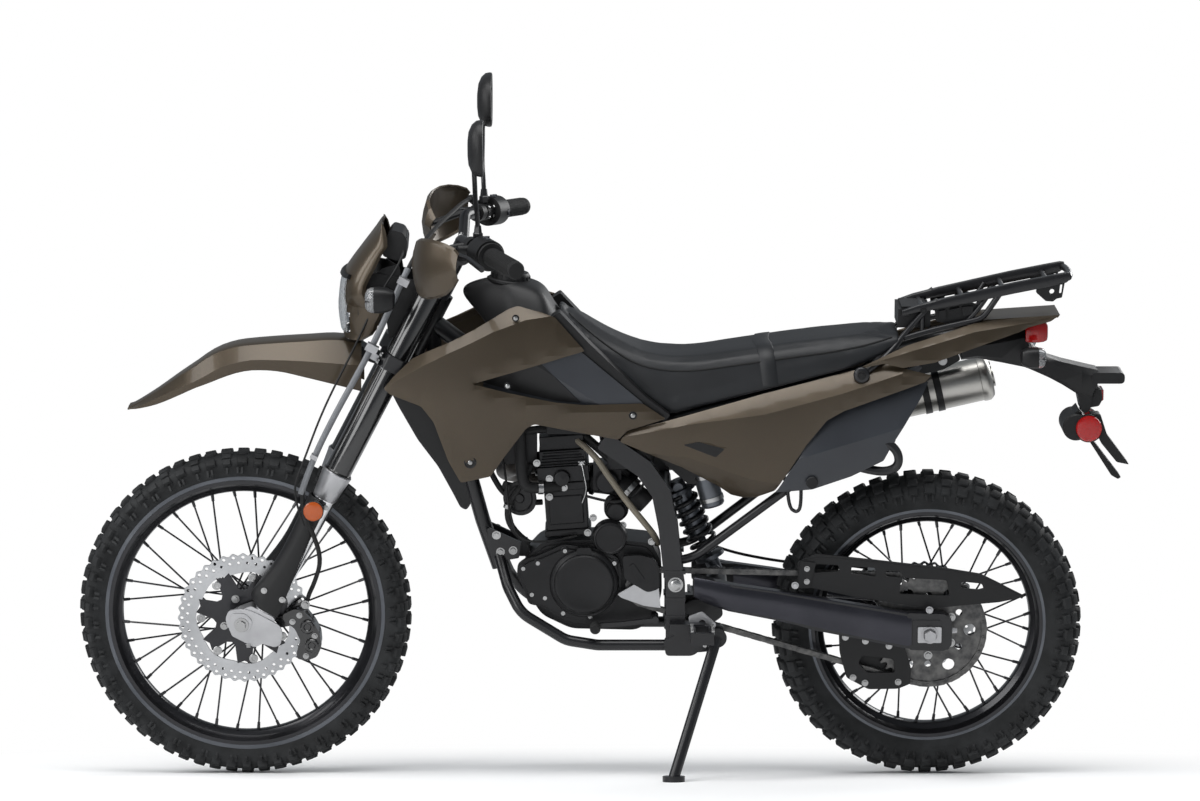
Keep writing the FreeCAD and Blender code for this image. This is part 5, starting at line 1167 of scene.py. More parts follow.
# %% Front caliper
BODY = [(1286, 346), (1262, 358), (1244, 354), (1222, 327), (1211, 305), (1209, 280), (1218, 260),
    (1238, 252), (1258, 256), (1258, 272), (1250, 292), (1262, 318), (1284, 334)]
add_plate(bm, BODY, 72, 92, 6)
add_plate(bm, [(x * 0.97 + 1240 * 0.03, z * 0.97 + 306 * 0.03) for x, z in BODY], 36, 52, 6)
add_plate(bm, [(1238, 352), (1222, 327), (1212, 304), (1210, 282), (1217, 276), (1226, 300), (1240, 322),
    (1250, 340)], 52, 72, 3)
add_plate(bm, [(1244, 344), (1300, 338), (1320, 350), (1290, 316), (1262, 322)], 67.5, 76, 3)
add_steered(bm, "front_caliper_body", GLOSS_BLACK, ["front_caliper"], edge=1.8, sharp=40)
for x, z in ((1236, 322), (1228, 284)):
    add_turned(bm, [(0, 14), (5, 14), (7, 12), (7, 8), (5, 6), (5, 0)], V(x, 92, z), LEFT, 28)
add_tube(bm, [(1278, 80, 344), (1262, 80, 366), (1248, 80, 372)], 7, sides=12)
add_steered(bm, "caliper_pistons", GLOSS_BLACK, sharp=30)
add_bolts(bm, 92, [(1252, 345), (1222, 303), (1240, 262), (1266, 332)], 4.2, 4)
add_bolt(bm, (1240, 88, 366), LEFT, 6, 5)
add_steered(bm, "caliper_bolts", BOLT_STEEL, tidy=False)

# %% [markdown]
# ## Brake hose and its clips
#
# The hose runs up in front of the left leg inside a grey sleeve, next to a thin cable, and crosses to the
# brake cylinder on the right-hand bar. It follows the same route as its solid.

# %% Hose, sleeve and cable
HOSE = [V(1240, 80, 362), V(1234, 80, 385), V(1222, 98, 410), V(1203, 132, 470), V(1225, 140, 535),
    V(1246, 140, 590), V(1222, 136, 665), V(1172, 130, 765), V(1112, 122, 870), V(1060, 111, 980), V(1020, 96,
    1066), V(985, 20, 1108), V(950, -80, 1128), V(930, -160, 1136), V(921, -214, 1133), V(918, -238, 1132)]
add_tube(bm, HOSE, 4.6)
add_steered(bm, "brake_hose_black", SOFT_RUBBER, ["brake_hose"])
add_tube(bm, [(1243, 140, 602), (1222, 136, 665), (1172, 130, 765), (1112, 122, 870), (1060, 111, 980),
    (1030, 100, 1046)], 6.2)
add_steered(bm, "brake_hose_sleeve", SLEEVE_GREY)
add_tube(bm, [(1236, 150, 540), (1262, 150, 604), (1237, 145, 668), (1197, 114, 772), (1140, 96, 880),
    (1088, 92, 992), (1042, 94, 1060), (1040, 40, 1078)], 2.4, sides=8)
add_steered(bm, "meter_cable", SOFT_RUBBER)

# %% Clips
for along, size in ((V(1039, 118, 1022), 11), (V(1101, 130, 892), 12), (V(1216, 142, 677), 7)):
    for vert in bmesh.ops.create_cube(bm, size=1)["verts"]:
        vert.co = along + OUT_FORK * (vert.co.x * 2 * size) + UP_FORK * (vert.co.z * 1.3 * size) + V(0,
            vert.co.y * 18, 0)
add_plate(bm, [(1100, 882), (1084, 872), (1068, 846), (1078, 842), (1092, 862), (1108, 870)], 112, 118, 3)
add_steered(bm, "hose_clips", ALLOY, edge=1.2, sharp=40)

# %% [markdown]
# ## Headlamp cowl
#
# The cowl is a mask: a skin that is bent round the lamp, with a bevelled edge at the back and a window for
# the lens. At each height it has a front, a back and a half width. The skin is a grid of such points, its
# window is left out, and a narrow strip along the back edge is turned inwards for the bevel.

# %% The mask
COWL_FRONT = [(899, 1163), (930, 1168), (960, 1170), (1000, 1166), (1018, 1163), (1040, 1153), (1065, 1135),
    (1090, 1116), (1112, 1099), (1128, 1088)]
COWL_BACK = [(899, 1120), (913, 1098), (940, 1088), (966, 1077), (974, 1098), (984, 1110), (994, 1114),
    (1010, 1112), (1041, 1096), (1074, 1079), (1084, 1071), (1117, 1076), (1128, 1082)]
COWL_WIDTH = [(899, 84), (930, 94), (966, 101), (1010, 99), (1050, 94), (1090, 84), (1118, 70), (1128, 62)]
LENS_LOW, LENS_HIGH, LENS_HALF = 910, 1022, 68


def cowl_point(z, part, out=0):
    """part runs from 0 at the back edge to 1 in the middle of the front."""
    front, back, wide = smooth_curve(COWL_FRONT, z), smooth_curve(COWL_BACK, z), smooth_curve(COWL_WIDTH, z)
    deep = front - back
    plan = [(0, back, wide - 5), (0.06, back + min(7, 0.3 * deep), wide), (0.35, back + 0.45 * deep,
        wide * 0.94), (0.6, front - 0.22 * deep - 4, wide * 0.74), (0.75, front - 0.08 * deep - 2,
        wide * 0.5), (1, front, 0)]
    x = smooth_curve([(p, a) for p, a, _ in plan], part)
    y = smooth_curve([(p, b) for p, _, b in plan], part)
    away = (V(x, y, z) - V(1040, 0, z)).normalized()
    return V(x, y, z) + away * out


def add_cowl_skin(bm, heights, parts, out, thickness, skip=None):
    grid = [[bm.verts.new(cowl_point(z, p, out)) for p in parts] for z in heights]
    far = [[bm.verts.new(V(v.co.x, -v.co.y, v.co.z)) for v in row] for row in grid]
    for i in range(len(heights) - 1):
        for j in range(len(parts) - 1):
            if skip and skip((heights[i] + heights[i + 1]) / 2, cowl_point(heights[i],
                    (parts[j] + parts[j + 1]) / 2)):
                continue
            bm.faces.new((grid[i][j], grid[i][j + 1], grid[i + 1][j + 1], grid[i + 1][j]))
            bm.faces.new((far[i][j + 1], far[i][j], far[i + 1][j], far[i + 1][j + 1]))
    bmesh.ops.remove_doubles(bm, verts=bm.verts, dist=0.05)
    bmesh.ops.recalc_face_normals(bm, faces=bm.faces)
    bmesh.ops.solidify(bm, geom=bm.faces[:], thickness=thickness)


HEIGHTS = [899, 910, 922, 936, 952, 966, 974, 984, 994, 1008, 1022, 1030, 1041, 1056, 1074, 1084, 1100, 1117,
    1128]
add_cowl_skin(bm, HEIGHTS, [0, 0.06, 0.15, 0.25, 0.35, 0.48, 0.6, 0.68, 0.75, 0.87, 1], 0, 3.2, skip=lambda z,
    p: LENS_LOW < z < LENS_HIGH and abs(p.y) < LENS_HALF)
add_steered(bm, "cowl_mask", KHAKI, ["headlamp_cowl"], sharp=20)
add_cowl_skin(bm, [911, 930, 950, 966, 984, 1003, 1021], [0.66, 0.75, 0.83, 0.92, 1], 3, 2.4)
add_steered(bm, "headlamp_glass", CLEAR_LENS, ["headlamp_lens"], sharp=30)
add_cowl_skin(bm, [1021, 1026, 1030], [0.6, 0.68, 0.75, 0.87, 1], 7, 9)
add_cowl_skin(bm, [899, 905, 910], [0.35, 0.48, 0.6, 0.75, 1], -3.4, 3)
add_steered(bm, "cowl_lips", BLACK_PLASTIC, sharp=40)

# %% [markdown]
# Behind the glass sits a bright parabolic bowl with a bulb. Its drum-shaped housing shows behind the mask,
# under the instrument block.

# %% Reflector, housing and instrument block
BULB = V(1117, 0, 968)
add_turned(bm, [(0, 16), (4, 27), (14, 42), (30, 56), (33, 56), (17, 39), (6, 24), (2, 14)], BULB, FORWARD,
    40)
add_turned(bm, [(4, 0), (4, 6), (22, 6), (26, 3), (26, 0)], BULB, FORWARD, 16)
add_steered(bm, "headlamp_bowl", CHROME, sharp=30)
add_turned(bm, [(0, 0), (0, 30), (8, 44), (26, 54), (58, 58), (62, 56), (62, 50)], V(1052, 0, 992),
    V(1, 0, 0.05), 40)
for side in (1, -1):
    add_plate(bm, [(1120, 940), (1120, 1010), (1080, 1040), (1050, 1046), (1044, 1010), (1068, 930)],
        side * 60 - 2, side * 60 + 2, 6)
add_steered(bm, "headlamp_housing", BLACK_PLASTIC, sharp=30, edge=0.6)
POD = [(1036, 1058), (1052, 1052), (1080, 1061), (1084, 1070), (1070, 1106), (1062, 1114), (1042, 1108),
    (1033, 1092)]
add_plate(bm, POD, -54, 54, 5)
add_steered(bm, "instrument_body", BLACK_PLASTIC, ["instrument_pod"], edge=3, sharp=40)
for vert in bmesh.ops.create_cube(bm, size=1)["verts"]:
    vert.co = V(1037, 0, 1081) + V(vert.co.x * 2.4 + vert.co.z * -4, vert.co.y * 86, vert.co.z * 36)
add_steered(bm, "instrument_window", GLOSS_BLACK, slot="black_plastic", edge=1, sharp=40)

# %% [markdown]
# ## Turn signals
#
# Each signal is a short rounded box with its lens in front: two cells that are divided by a thin rib. The
# rear ones are the same lamp, a little smaller, so one function makes both.

# %% Signals
def signal_ring(x, half_w, half_h, centre):
    ring = []
    for k in range(20):
        a = 2 * pi * k / 20
        c, s = cos(a), sin(a)
        ring.append(V(x, centre.y + half_w * copysign(abs(c) ** 0.6, c), centre.z + half_h
            * copysign(abs(s) ** 0.6, s)))
    return ring


def dress_signals(end, rides_on, centre, length, half_w, half_h, ahead, root, tip):
    """ahead is 1 for lamps that look forward, -1 for lamps that look back; a stalk runs from root to tip."""
    shell, lens, bowl = bmesh.new(), bmesh.new(), bmesh.new()
    back = centre.x - ahead * length / 2

    def ring(share, scale):
        return signal_ring(back + ahead * length * share, half_w * scale, half_h * scale, centre)
    add_loft(shell, [ring(0, 0.45), ring(0.06, 0.72), ring(0.25, 0.92), ring(0.5, 1), ring(0.7, 1), ring(0.7,
        0.86), ring(0.45, 0.7)])
    add_loft(lens, [ring(0.69, 0.97), ring(0.8, 0.96), ring(0.92, 0.84), ring(0.99, 0.55), ring(1, 0.2)])
    add_loft(bowl, [ring(0.5, 0.3), ring(0.6, 0.7), ring(0.69, 0.9)])
    rib = back + ahead * length * 0.84
    for vert in bmesh.ops.create_cube(shell, size=1)["verts"]:
        vert.co = V(rib + vert.co.x * length * 0.3, centre.y + vert.co.y * half_w * 1.86, centre.z + vert.co.z
            * 2)
    add_tube(shell, [root, root.lerp(tip, 0.5), tip], 7)
    add_turned(shell, [(-3, 10), (3, 10), (5, 8)], root.lerp(tip, 0.15), tip - root, 20)
    for bm in (shell, lens, bowl):
        add_mirror(bm)
    add_piece(shell, f"{end}_signal_shells", BLACK_PLASTIC, [f"{end}_signals"], body=rides_on, sharp=35)
    add_piece(lens, f"{end}_signal_lenses", CLEAR_LENS, body=rides_on, slot="signal_lens", sharp=35)
    add_piece(bowl, f"{end}_signal_bowls", CHROME, body=rides_on, sharp=35)


dress_signals("front", "steering", V(1083, 163, 993), length=58, half_w=23, half_h=25, ahead=1, root=V(1076,
    66, 994), tip=V(1076, 146, 994))

# %% [markdown]
# ## Hand guards
#
# A hand guard is a shell that wraps round the fingers. Seen from above it is a bent line, and its section
# bulges forward to a ridge. Above the ridge it faces the sky, which is why it looks lighter there.

# %% Guard shells
GUARD_PLAN = [  # x, y, top, ridge, low
    (992, 222, 1092, 1076, 1060), (1003, 240, 1112, 1080, 1042), (1009, 262, 1127, 1082, 1034),
    (1007, 292, 1134, 1083, 1027), (1001, 322, 1140, 1084, 1024), (988, 350, 1143, 1086, 1026),
    (970, 372, 1143, 1088, 1031), (950, 388, 1139, 1090, 1040), (932, 399, 1132, 1092, 1058),
    (924, 403, 1122, 1092, 1072)]
for side in (1, -1):
    columns = []
    for k, (x, y, top, ridge, low) in enumerate(GUARD_PLAN):
        ahead = Vector(GUARD_PLAN[min(k + 1, len(GUARD_PLAN) - 1)][:2]) - Vector(GUARD_PLAN[max(k - 1,
            0)][:2])
        out = Vector((ahead.y, -ahead.x)).normalized()
        column = [(top + (ridge - top) * s, bulge) for s, bulge in ((0, -7), (0.08, -1), (0.5, 4.5), (1, 8))]
        column += [(ridge + (low - ridge) * s, bulge) for s, bulge in ((0.5, 5), (0.92, -1), (1, -6))]
        columns.append([(x + out.x * b, side * (y + out.y * b), z) for z, b in column])
    add_sheet(bm, columns)
bmesh.ops.recalc_face_normals(bm, faces=bm.faces)
bmesh.ops.solidify(bm, geom=bm.faces[:], thickness=3)
add_steered(bm, "hand_guard_shells", KHAKI, ["hand_guards"], sharp=18)

BAR_END, BAR_BEND = V(816, 402, 1092), V(926, 160, 1112)
BAR_IN = (BAR_BEND - BAR_END).normalized()


def on_bar(along, out=0, up=0):
    return BAR_END + BAR_IN * along + V(out, 0, up)


add_tube(bm, [on_bar(206, 16), on_bar(204, 36), (975, 222, 1090), (996, 232, 1084)], 7)
add_turned(bm, [(197, 11.4), (197, 17.5), (215, 17.5), (215, 11.4)], BAR_END, BAR_IN, 28)
add_mirror(bm)
add_steered(bm, "hand_guard_stays", BLACK_PLASTIC)

# %% [markdown]
# ## Grips, switches and mirrors
#
# A grip is a rubber sleeve with ribs and a collar at its inner end. A row of narrow rings makes the ribs.

# %% Grips and switches
ribs = [(-8, 0), (-8, 15), (-6, 17.5), (0, 17.5), (0.1, 17)]
for k in range(20):
    at = 4 + k * 5.4
    ribs += [(at, 17), (at + 0.8, 18.2), (at + 2.6, 18.2), (at + 3.4, 17)]
ribs += [(112, 17.2), (112, 26), (114, 27), (118, 26.5), (118, 11.4)]
add_turned(bm, ribs, BAR_END, BAR_IN, 36)
add_mirror(bm)
add_steered(bm, "grip_rubbers", SOFT_RUBBER, ["grips"], slot="grip_rubber", sharp=35)
for along, out, up in ((128, 0, 30), (140, 0, 30), (152, -8, 29)):
    bmesh.ops.create_cube(bm, size=1, matrix=Matrix.Translation(on_bar(along, out, up)) @ Matrix.Diagonal((9,
        8, 5, 1)))
add_turned(bm, [(0, 7), (5, 7), (6, 6), (6, 0)], on_bar(136, -28, -4), V(-1, 0, -0.1), 20)
add_mirror(bm)
add_steered(bm, "switch_buttons", GREY_PANEL, slot="black_plastic", edge=0.8, sharp=40, tidy=False)
for along in (167, 189):
    for up in (-10, 10):
        add_bolt(bm, on_bar(along, -14, up), (-1, 0, 0), 2.6, 3)
for y in (32, 52):
    for out in (-14, 14):
        add_bolt(bm, on_stem(792 + 58, y, out) + UP_FORK * 19, UP_FORK, 3.6, 5)
for along in (599, 615, 772, 786):
    add_bolt(bm, on_leg(along, LEG_Y + 30, 30), OUT_FORK, 4, 4)
add_mirror(bm)
add_turned(bm, [(0, 17), (5, 17), (6, 15), (6, 6), (3, 6), (3, 0)], on_stem(792), UP_FORK, 6)
add_steered(bm, "cockpit_bolts", BOLT_STEEL, tidy=False)

# %% Mirrors
HEAD = V(885, 352, 1318)
OUTLINE = [(-64, -20), (-66, 6), (-58, 30), (-44, 45), (-10, 52), (30, 54), (52, 48), (64, 28), (66, 0),
    (60, -34), (46, -48), (20, -53), (-20, -52), (-44, -46), (-58, -36)]
add_loft(bm, [[HEAD + V(depth, y * scale, z * scale) for y, z in OUTLINE] for depth, scale in ((-7, 0.9),
    (-10, 0.95), (-9, 0.99), (-4, 1), (4, 0.97), (12, 0.84), (18, 0.6), (20, 0.3))])
add_mirror(bm)
add_steered(bm, "mirror_shells", BLACK_PLASTIC, ["mirrors"], sharp=50)
add_loft(bm, [[HEAD + V(depth, y * 0.885, z * 0.885) for y, z in OUTLINE] for depth in (-8.6, -7)])
add_mirror(bm)
add_steered(bm, "mirror_glasses", MIRROR_GLASS, sharp=40)
ROOT = on_bar(178, 0, 18.3)
add_tube(bm, [ROOT, ROOT + V(0, 0, 40), ROOT + V(4, 20, 74), HEAD + V(8, -30, -66), HEAD + V(9, -12, -40)],
    4.8)
add_turned(bm, [(0, 9), (2, 10), (13, 10), (15, 8), (28, 6.5)], ROOT, UP, 6)
add_mirror(bm)
add_steered(bm, "mirror_stalks", FRAME_BLACK, slot="black_plastic")

# %% [markdown]
# ## Engine
#
# The engine is a single-cylinder one with a cast case. From the left it shows three things: the flat case,
# the generator's cover with its ring of bolts, and the cylinder that leans a little forward. The photograph
# shows smooth cylinder walls, because the engine is cooled by water, so the fins of the construction are
# left out here. Castings have rounded edges everywhere; a bevel modifier with an angle limit does that.

# %% Case and cylinder
CASE = [(806, 448), (800, 400), (796, 378), (770, 338), (712, 310), (580, 307), (546, 332), (531, 384),
    (532, 446), (552, 484), (640, 493), (770, 487)]
add_plate(bm, CASE, -57.5, 57.5, 14)
add_plate(bm, [(x * 0.94 + 670 * 0.06, z * 0.92 + 400 * 0.08) for x, z in CASE], -62, 62, 14)
add_turned(bm, [(-24, 0), (-24, 13), (24, 13), (24, 0)], V(830, 0, 462), LEFT, 32)
add_plate(bm, [(838, 474), (800, 480), (790, 450), (836, 450)], -23, 23, 3)
add_piece(bm, "engine_case", ENGINE_BLACK, ["crankcase"], edge=3, sharp=35)

CYLINDER = Matrix.Translation((717, 0, 490)) @ Matrix.Rotation(radians(4), 4, "Y")


def add_block(bm, x0, x1, y0, y1, z0, z1, place=Matrix.Identity(4)):
    middle = V((x0 + x1) / 2, (y0 + y1) / 2, (z0 + z1) / 2)
    bmesh.ops.create_cube(bm, size=1, matrix=place @ Matrix.Translation(middle)
        @ Matrix.Diagonal((abs(x1 - x0), abs(y1 - y0), abs(z1 - z0), 1)))


add_block(bm, -46, 46, -48, 48, 6, 20, CYLINDER)
add_block(bm, -42, 42, -49, 49, 20, 117, CYLINDER)
add_block(bm, -34, 34, -52, 52, 32, 90, CYLINDER)
add_block(bm, -46, 46, -51, 51, 100, 117, CYLINDER)
add_piece(bm, "cylinder_block", ENGINE_BLACK, ["cylinder"], edge=3, sharp=35, tidy=False)
add_block(bm, -50, 52, -56, 56, 118.5, 150, CYLINDER)
add_block(bm, -46, 46, -52, 52, 150, 182, CYLINDER)
add_block(bm, -44, 44, -45, 45, 182, 210, CYLINDER)
for k in range(5):
    add_block(bm, -50 + 4 * k, 46 - 2 * k, -58 + k, 58 - k, 152 + k * 6, 155 + k * 6, CYLINDER)
add_turned(bm, [(20, 24), (58, 24), (58, 20), (58, 0)], CYLINDER @ V(0, 0, 148), CYLINDER.to_3x3() @ FORWARD,
    32)
add_turned(bm, [(0, 0), (0, 17), (13, 15), (15, 0)], CYLINDER @ V(4, 54, 128), LEFT, 32)
add_piece(bm, "cylinder_head_block", ENGINE_BLACK, ["cylinder_head"], edge=2.2, sharp=35, tidy=False)

# %% [markdown]
# Every cover is a plate with a raised dome on it. The dome is a turned part with a stepped profile. The bolts
# are placed where the photograph shows them, since their ring is what the eye checks first.

# %% Covers
GENERATOR = [(818, 444), (800, 457), (781, 461), (727, 486), (690, 481), (655, 475), (618, 459), (611, 425),
    (614, 392), (632, 352), (668, 329), (700, 325), (733, 336), (772, 360), (797, 364), (806, 395),
    (820, 425)]
add_plate(bm, GENERATOR, 58, 76, 9)
add_plate(bm, [(x * 0.93 + 700 * 0.07, z * 0.9 + 408 * 0.1) for x, z in GENERATOR], 76, 83, 12)
add_turned(bm, [(60, 70), (84, 69), (88, 66), (91, 62), (92, 60), (96, 59), (98.5, 56), (99, 50), (97.5, 46),
    (97.5, 0)], V(686, 0, 409), LEFT, 64)
add_plate(bm, [(700, 482), (672, 482), (668, 452), (704, 452)], 80, 92, 5)
add_piece(bm, "generator_cover", ENGINE_BLACK, ["engine_covers"], edge=2.4, sharp=35, tidy=False)
add_turned(bm, [(50, 35), (74, 34), (78, 32), (79, 29), (77.5, 27), (77.5, 0)], V(635, 0, 498), LEFT, 48)
STARTER = V(622, 0, 546)
add_turned(bm, [(-30, 0), (-30, 22), (34, 22), (36, 20), (48, 20), (52, 16), (52, 0)], STARTER, LEFT, 32)
for k in range(5):
    add_turned(bm, [(-20 + k * 9, 22), (-18.5 + k * 9, 24.5), (-15.5 + k * 9, 24.5), (-14 + k * 9, 22)],
        STARTER, LEFT, 32)
add_piece(bm, "starter_cover", ENGINE_BLACK, sharp=30)
SPROCKET = [(610, 466), (575, 468), (546, 460), (537, 440), (536, 400), (560, 392), (606, 420)]
add_plate(bm, SPROCKET, 82, 95, 8)
add_plate(bm, [(598, 446), (588, 452), (566, 420), (578, 414)], 95, 97, 2)
add_piece(bm, "sprocket_cover", ENGINE_BLACK, edge=2, sharp=35, tidy=False)
add_plate(bm, [(620, 388), (578, 413), (540, 427), (534, 360), (568, 365), (612, 381)], 84, 93, 3)
add_piece(bm, "sprocket_cover_foot", ALLOY, edge=1.5, sharp=35)
CLUTCH_AXLE = V(640, 0, 402)
CLUTCH = [(CLUTCH_AXLE.x + 92 * cos(a), CLUTCH_AXLE.z + 90 * sin(a)) for a in [radians(20 * k + 30) for k
    in range(16)]]
CLUTCH += [(742, 350), (778, 380), (782, 424), (744, 450)]
add_plate(bm, CLUTCH, -76, -58, 9)
add_turned(bm, [(60, 74), (90, 72), (96, 68), (99.5, 58), (98, 50), (98, 0)], CLUTCH_AXLE, RIGHT, 64)
add_turned(bm, [(60, 44), (84, 42), (88, 36), (88, 0)], V(722, 0, 400), RIGHT, 48)
add_piece(bm, "clutch_cover", ENGINE_BLACK, edge=2.4, sharp=35, tidy=False)

# %% Engine bolts
BOSSES = [(807, 438), (778, 449), (724, 474), (626, 449), (624, 397), (674, 340), (728, 347), (764, 378),
    (790, 385)]
for x, z in BOSSES:
    add_turned(bm, [(60, 9), (78, 8.5), (79, 7), (79, 0)], V(x, 0, z), LEFT, 16)
add_piece(bm, "bolt_bosses", ENGINE_BLACK, tidy=False)
add_bolts(bm, 79, BOSSES, 4.6, 4, washer=False, sides=12)
for y, spots in ((58, [(679, 506), (552, 488)]), (54, [(609, 520)]), (48, [(668, 534)]), (55, [(755, 615),
        (726, 597), (755, 578)]), (52, [(691, 646), (780, 646)])):
    add_bolts(bm, y, spots, 5, 5)
for k in range(9):
    a = radians(40 * k + 10)
    add_bolt(bm, CLUTCH_AXLE + V(84 * cos(a), -76, 82 * sin(a)), RIGHT, 4.6, 4)
add_piece(bm, "engine_bolts", BOLT_STEEL, tidy=False)

# %% [markdown]
# Hoses and cables give an engine its depth. They start and end inside something solid. The coolant hose
# comes down behind the shroud, and the grey one vents the case.

# %% Horn, coil and throttle body
add_turned(bm, [(-16, 0), (-16, 14), (-12, 20), (0, 33), (6, 35), (9, 34), (9, 28), (6, 24), (6, 10), (9, 8),
    (9, 0)], V(812, 44, 574), V(0.3, 1, 0), 40)
add_plate(bm, [(846, 606), (812, 598), (806, 566), (822, 560), (852, 590)], 30, 33, 4)
add_block(bm, 584, 640, 28, 62, 636, 676)
add_block(bm, 576, 600, 34, 56, 664, 700)
add_block(bm, 556, 760, -60, 60, 706, 736)
add_block(bm, 780, 868, -40, 34, 640, 700)
add_turned(bm, [(-34, 0), (-34, 31), (-26, 33), (-22, 28), (18, 28), (22, 33), (34, 33), (34, 26), (60, 24),
    (60, 0)], V(640, 0, 600), V(-1, 0, -0.12), 40)
add_block(bm, 612, 668, -30, 40, 588, 640)
add_turned(bm, [(0, 0), (0, 22), (10, 24), (14, 20), (14, 0)], V(640, 38, 606), LEFT, 32)
add_piece(bm, "engine_auxiliaries", ENGINE_BLACK, edge=2, sharp=35, tidy=False)

# %% Hoses, clamps and cables
add_tube(bm, [(813, 66, 716), (811, 66, 650), (808, 66, 612), (796, 66, 598), (766, 62, 598), (730, 46, 598)],
    11.5, sides=20)
add_tube(bm, [(796, 30, 478), (834, 40, 508), (840, 44, 560), (812, 48, 596), (790, 40, 640)], 7)
add_tube(bm, [(560, 40, 560), (600, 30, 596), (650, 10, 600), (690, 0, 598)], 22, sides=20)
add_tube(bm, [(880, 24, 716), (840, 34, 700), (760, 40, 716), (660, 44, 706), (580, 46, 716), (540, 40, 700)],
    8)
add_tube(bm, [(690, 30, 700), (650, 44, 668), (622, 40, 640), (600, 20, 620)], 9)
add_tube(bm, [(880, 20, 640), (862, 30, 600), (836, 30, 570), (800, 30, 560), (770, 20, 560)], 6)
add_piece(bm, "coolant_hoses", SOFT_RUBBER)
add_tube(bm, [(700, 40, 690), (668, 72, 671), (640, 78, 628), (600, 80, 572), (566, 78, 530), (543, 70, 499),
    (540, 40, 480)], 6.5)
add_piece(bm, "breather_hose", GREY_HOSE)
add_turned(bm, [(-5, 11.6), (-5, 13), (5, 13), (5, 11.6)], V(772, 63.4, 598), V(1, 0.12, 0), 28)
add_turned(bm, [(-4, 7), (-4, 8.4), (4, 8.4), (4, 7)], V(838, 44, 557), V(-0.3, 0.1, 1), 20)
add_turned(bm, [(-5, 22.4), (-5, 24), (5, 24), (5, 22.4)], V(592, 32, 590), V(-0.8, 0.2, -0.7), 32)
add_tube(bm, [(691, 58, 646), (684, 66, 616), (680, 64, 590), (692, 48, 560)], 1.4, sides=8)
add_piece(bm, "hose_clamps", BOLT_STEEL, sharp=40)
add_tube(bm, [(682, 56, 580), (650, 66, 573), (612, 70, 569), (560, 60, 600), (540, 40, 690)], 2.8, sides=10)
add_tube(bm, [(860, 40, 700), (842, 56, 640), (838, 60, 560), (812, 64, 470), (700, 60, 500)], 2.4, sides=10)
add_piece(bm, "engine_cables", SOFT_RUBBER)

# %% [markdown]
# ## Frame details
#
# The box-section spar is bolted to the engine at the pivot and below it. The joints are welded lugs, seen as
# raised bands across the spar.

# %% Spar bands and bolts
for z0, z1 in ((434, 441), (380, 386), (344, 350)):
    add_block(bm, 485, 526, 84, 115.5, z0, z1)
add_plate(bm, [(528, 300), (524, 268), (470, 268), (452, 282), (420, 286), (404, 300), (412, 332), (470, 330),
    (490, 318)], 96, 116, 8)
add_mirror(bm)
add_piece(bm, "spar_bands", FRAME_BLACK, edge=1.5, sharp=35, tidy=False)
add_turned(bm, [(0, 15), (2, 15), (2, 11), (9, 11), (11, 8), (11, 0)], V(505, 114, 413), LEFT, 24)
add_bolts(bm, 32, [(861, 495), (828, 464), (853, 461)], 6, 5)
add_bolt(bm, (446, 114, 290), LEFT, 5, 4)
add_mirror(bm)
add_piece(bm, "frame_bolts", BOLT_STEEL, sharp=35, tidy=False)
add_plate(bm, [(479, 350), (452, 360), (424, 334), (428, 322), (476, 312)], 117, 121, 4, holes=[circle(452,
    336, 7, 20), circle(469, 322, 4, 16)])
add_piece(bm, "stand_bracket_plate", ALLOY, edge=0.8, sharp=40)

# %% Foot pegs' teeth
for k in range(8):
    for x in (432, 473):
        y = 141 + k * 8
        add_block(bm, x - 3, x + 3, y, y + 4, 333, 340)
add_mirror(bm)
add_piece(bm, "peg_teeth", BOLT_STEEL, edge=0.6, sharp=40, tidy=False)

# %% [markdown]
# ## Swingarm and chain guard
#
# The swingarm is a pair of welded alloy beams. Each is pressed, so its section bulges a little in the
# middle and the bulge carries a long highlight. A loft gives it: rings of the same ten points are scaled
# to the beam's height at each station. The slotted blocks at its end hold the axle and its adjusters.

# %% Swingarm beams
ARM = [(468, 425, 386), (440, 420, 372), (400, 411, 358), (308, 398, 340), (256, 389, 328), (170, 374, 308),
    (100, 362, 293), (54, 354, 284), (36, 351, 281)]
rings = []
for x, top, low in ARM:
    middle, half = (top + low) / 2, (top - low) / 2
    rings.append([V(x, y, middle + share * half) for y, share in ((84.5, 0.8), (84.5, -0.8), (88, -1.03),
        (107, -1.03), (111.5, -0.78), (114, -0.16), (114, 0.16), (111.5, 0.78), (107, 1.03), (88, 1.03))])
add_loft(bm, rings)
add_mirror(bm)
add_piece(bm, "swingarm_beams", ARM_BLACK, sharp=40)
add_plate(bm, [(45, 354), (-30, 352), (-44, 340), (-44, 288), (-30, 277), (40, 279)], 85, 111.5, 5)
add_plate(bm, [(34, 340), (-22, 340), (-22, 286), (34, 288)], 111, 114, 3)
add_mirror(bm)
add_piece(bm, "axle_blocks", FRAME_BLACK, edge=1.6, sharp=35, tidy=False)
add_plate(bm, [(24, 327), (-23, 327), (-23, 295), (24, 295)], 113.5, 118, 2.5)
add_turned(bm, [(0, 17), (2.5, 17), (2.5, 14)], V(0, 118, 311), LEFT, 32)
add_bolt(bm, (0, 119, 311), LEFT, 13.5, 13, washer=False)
add_bolt(bm, (-44, 99, 316), (-1, 0, 0), 6, 10, washer=False)
for place in (V(268, 112, 411), V(1, 112, 361)):
    add_bolt(bm, place, LEFT, 5, 5)
add_mirror(bm)
add_piece(bm, "axle_nuts_rear", ALLOY, edge=0.6, sharp=35, tidy=False)

# %% [markdown]
# The guard over the chain is a thin moulding with slots that save weight. Its outline and its slots were
# read from the photograph. A rounded flange runs along its upper edge.

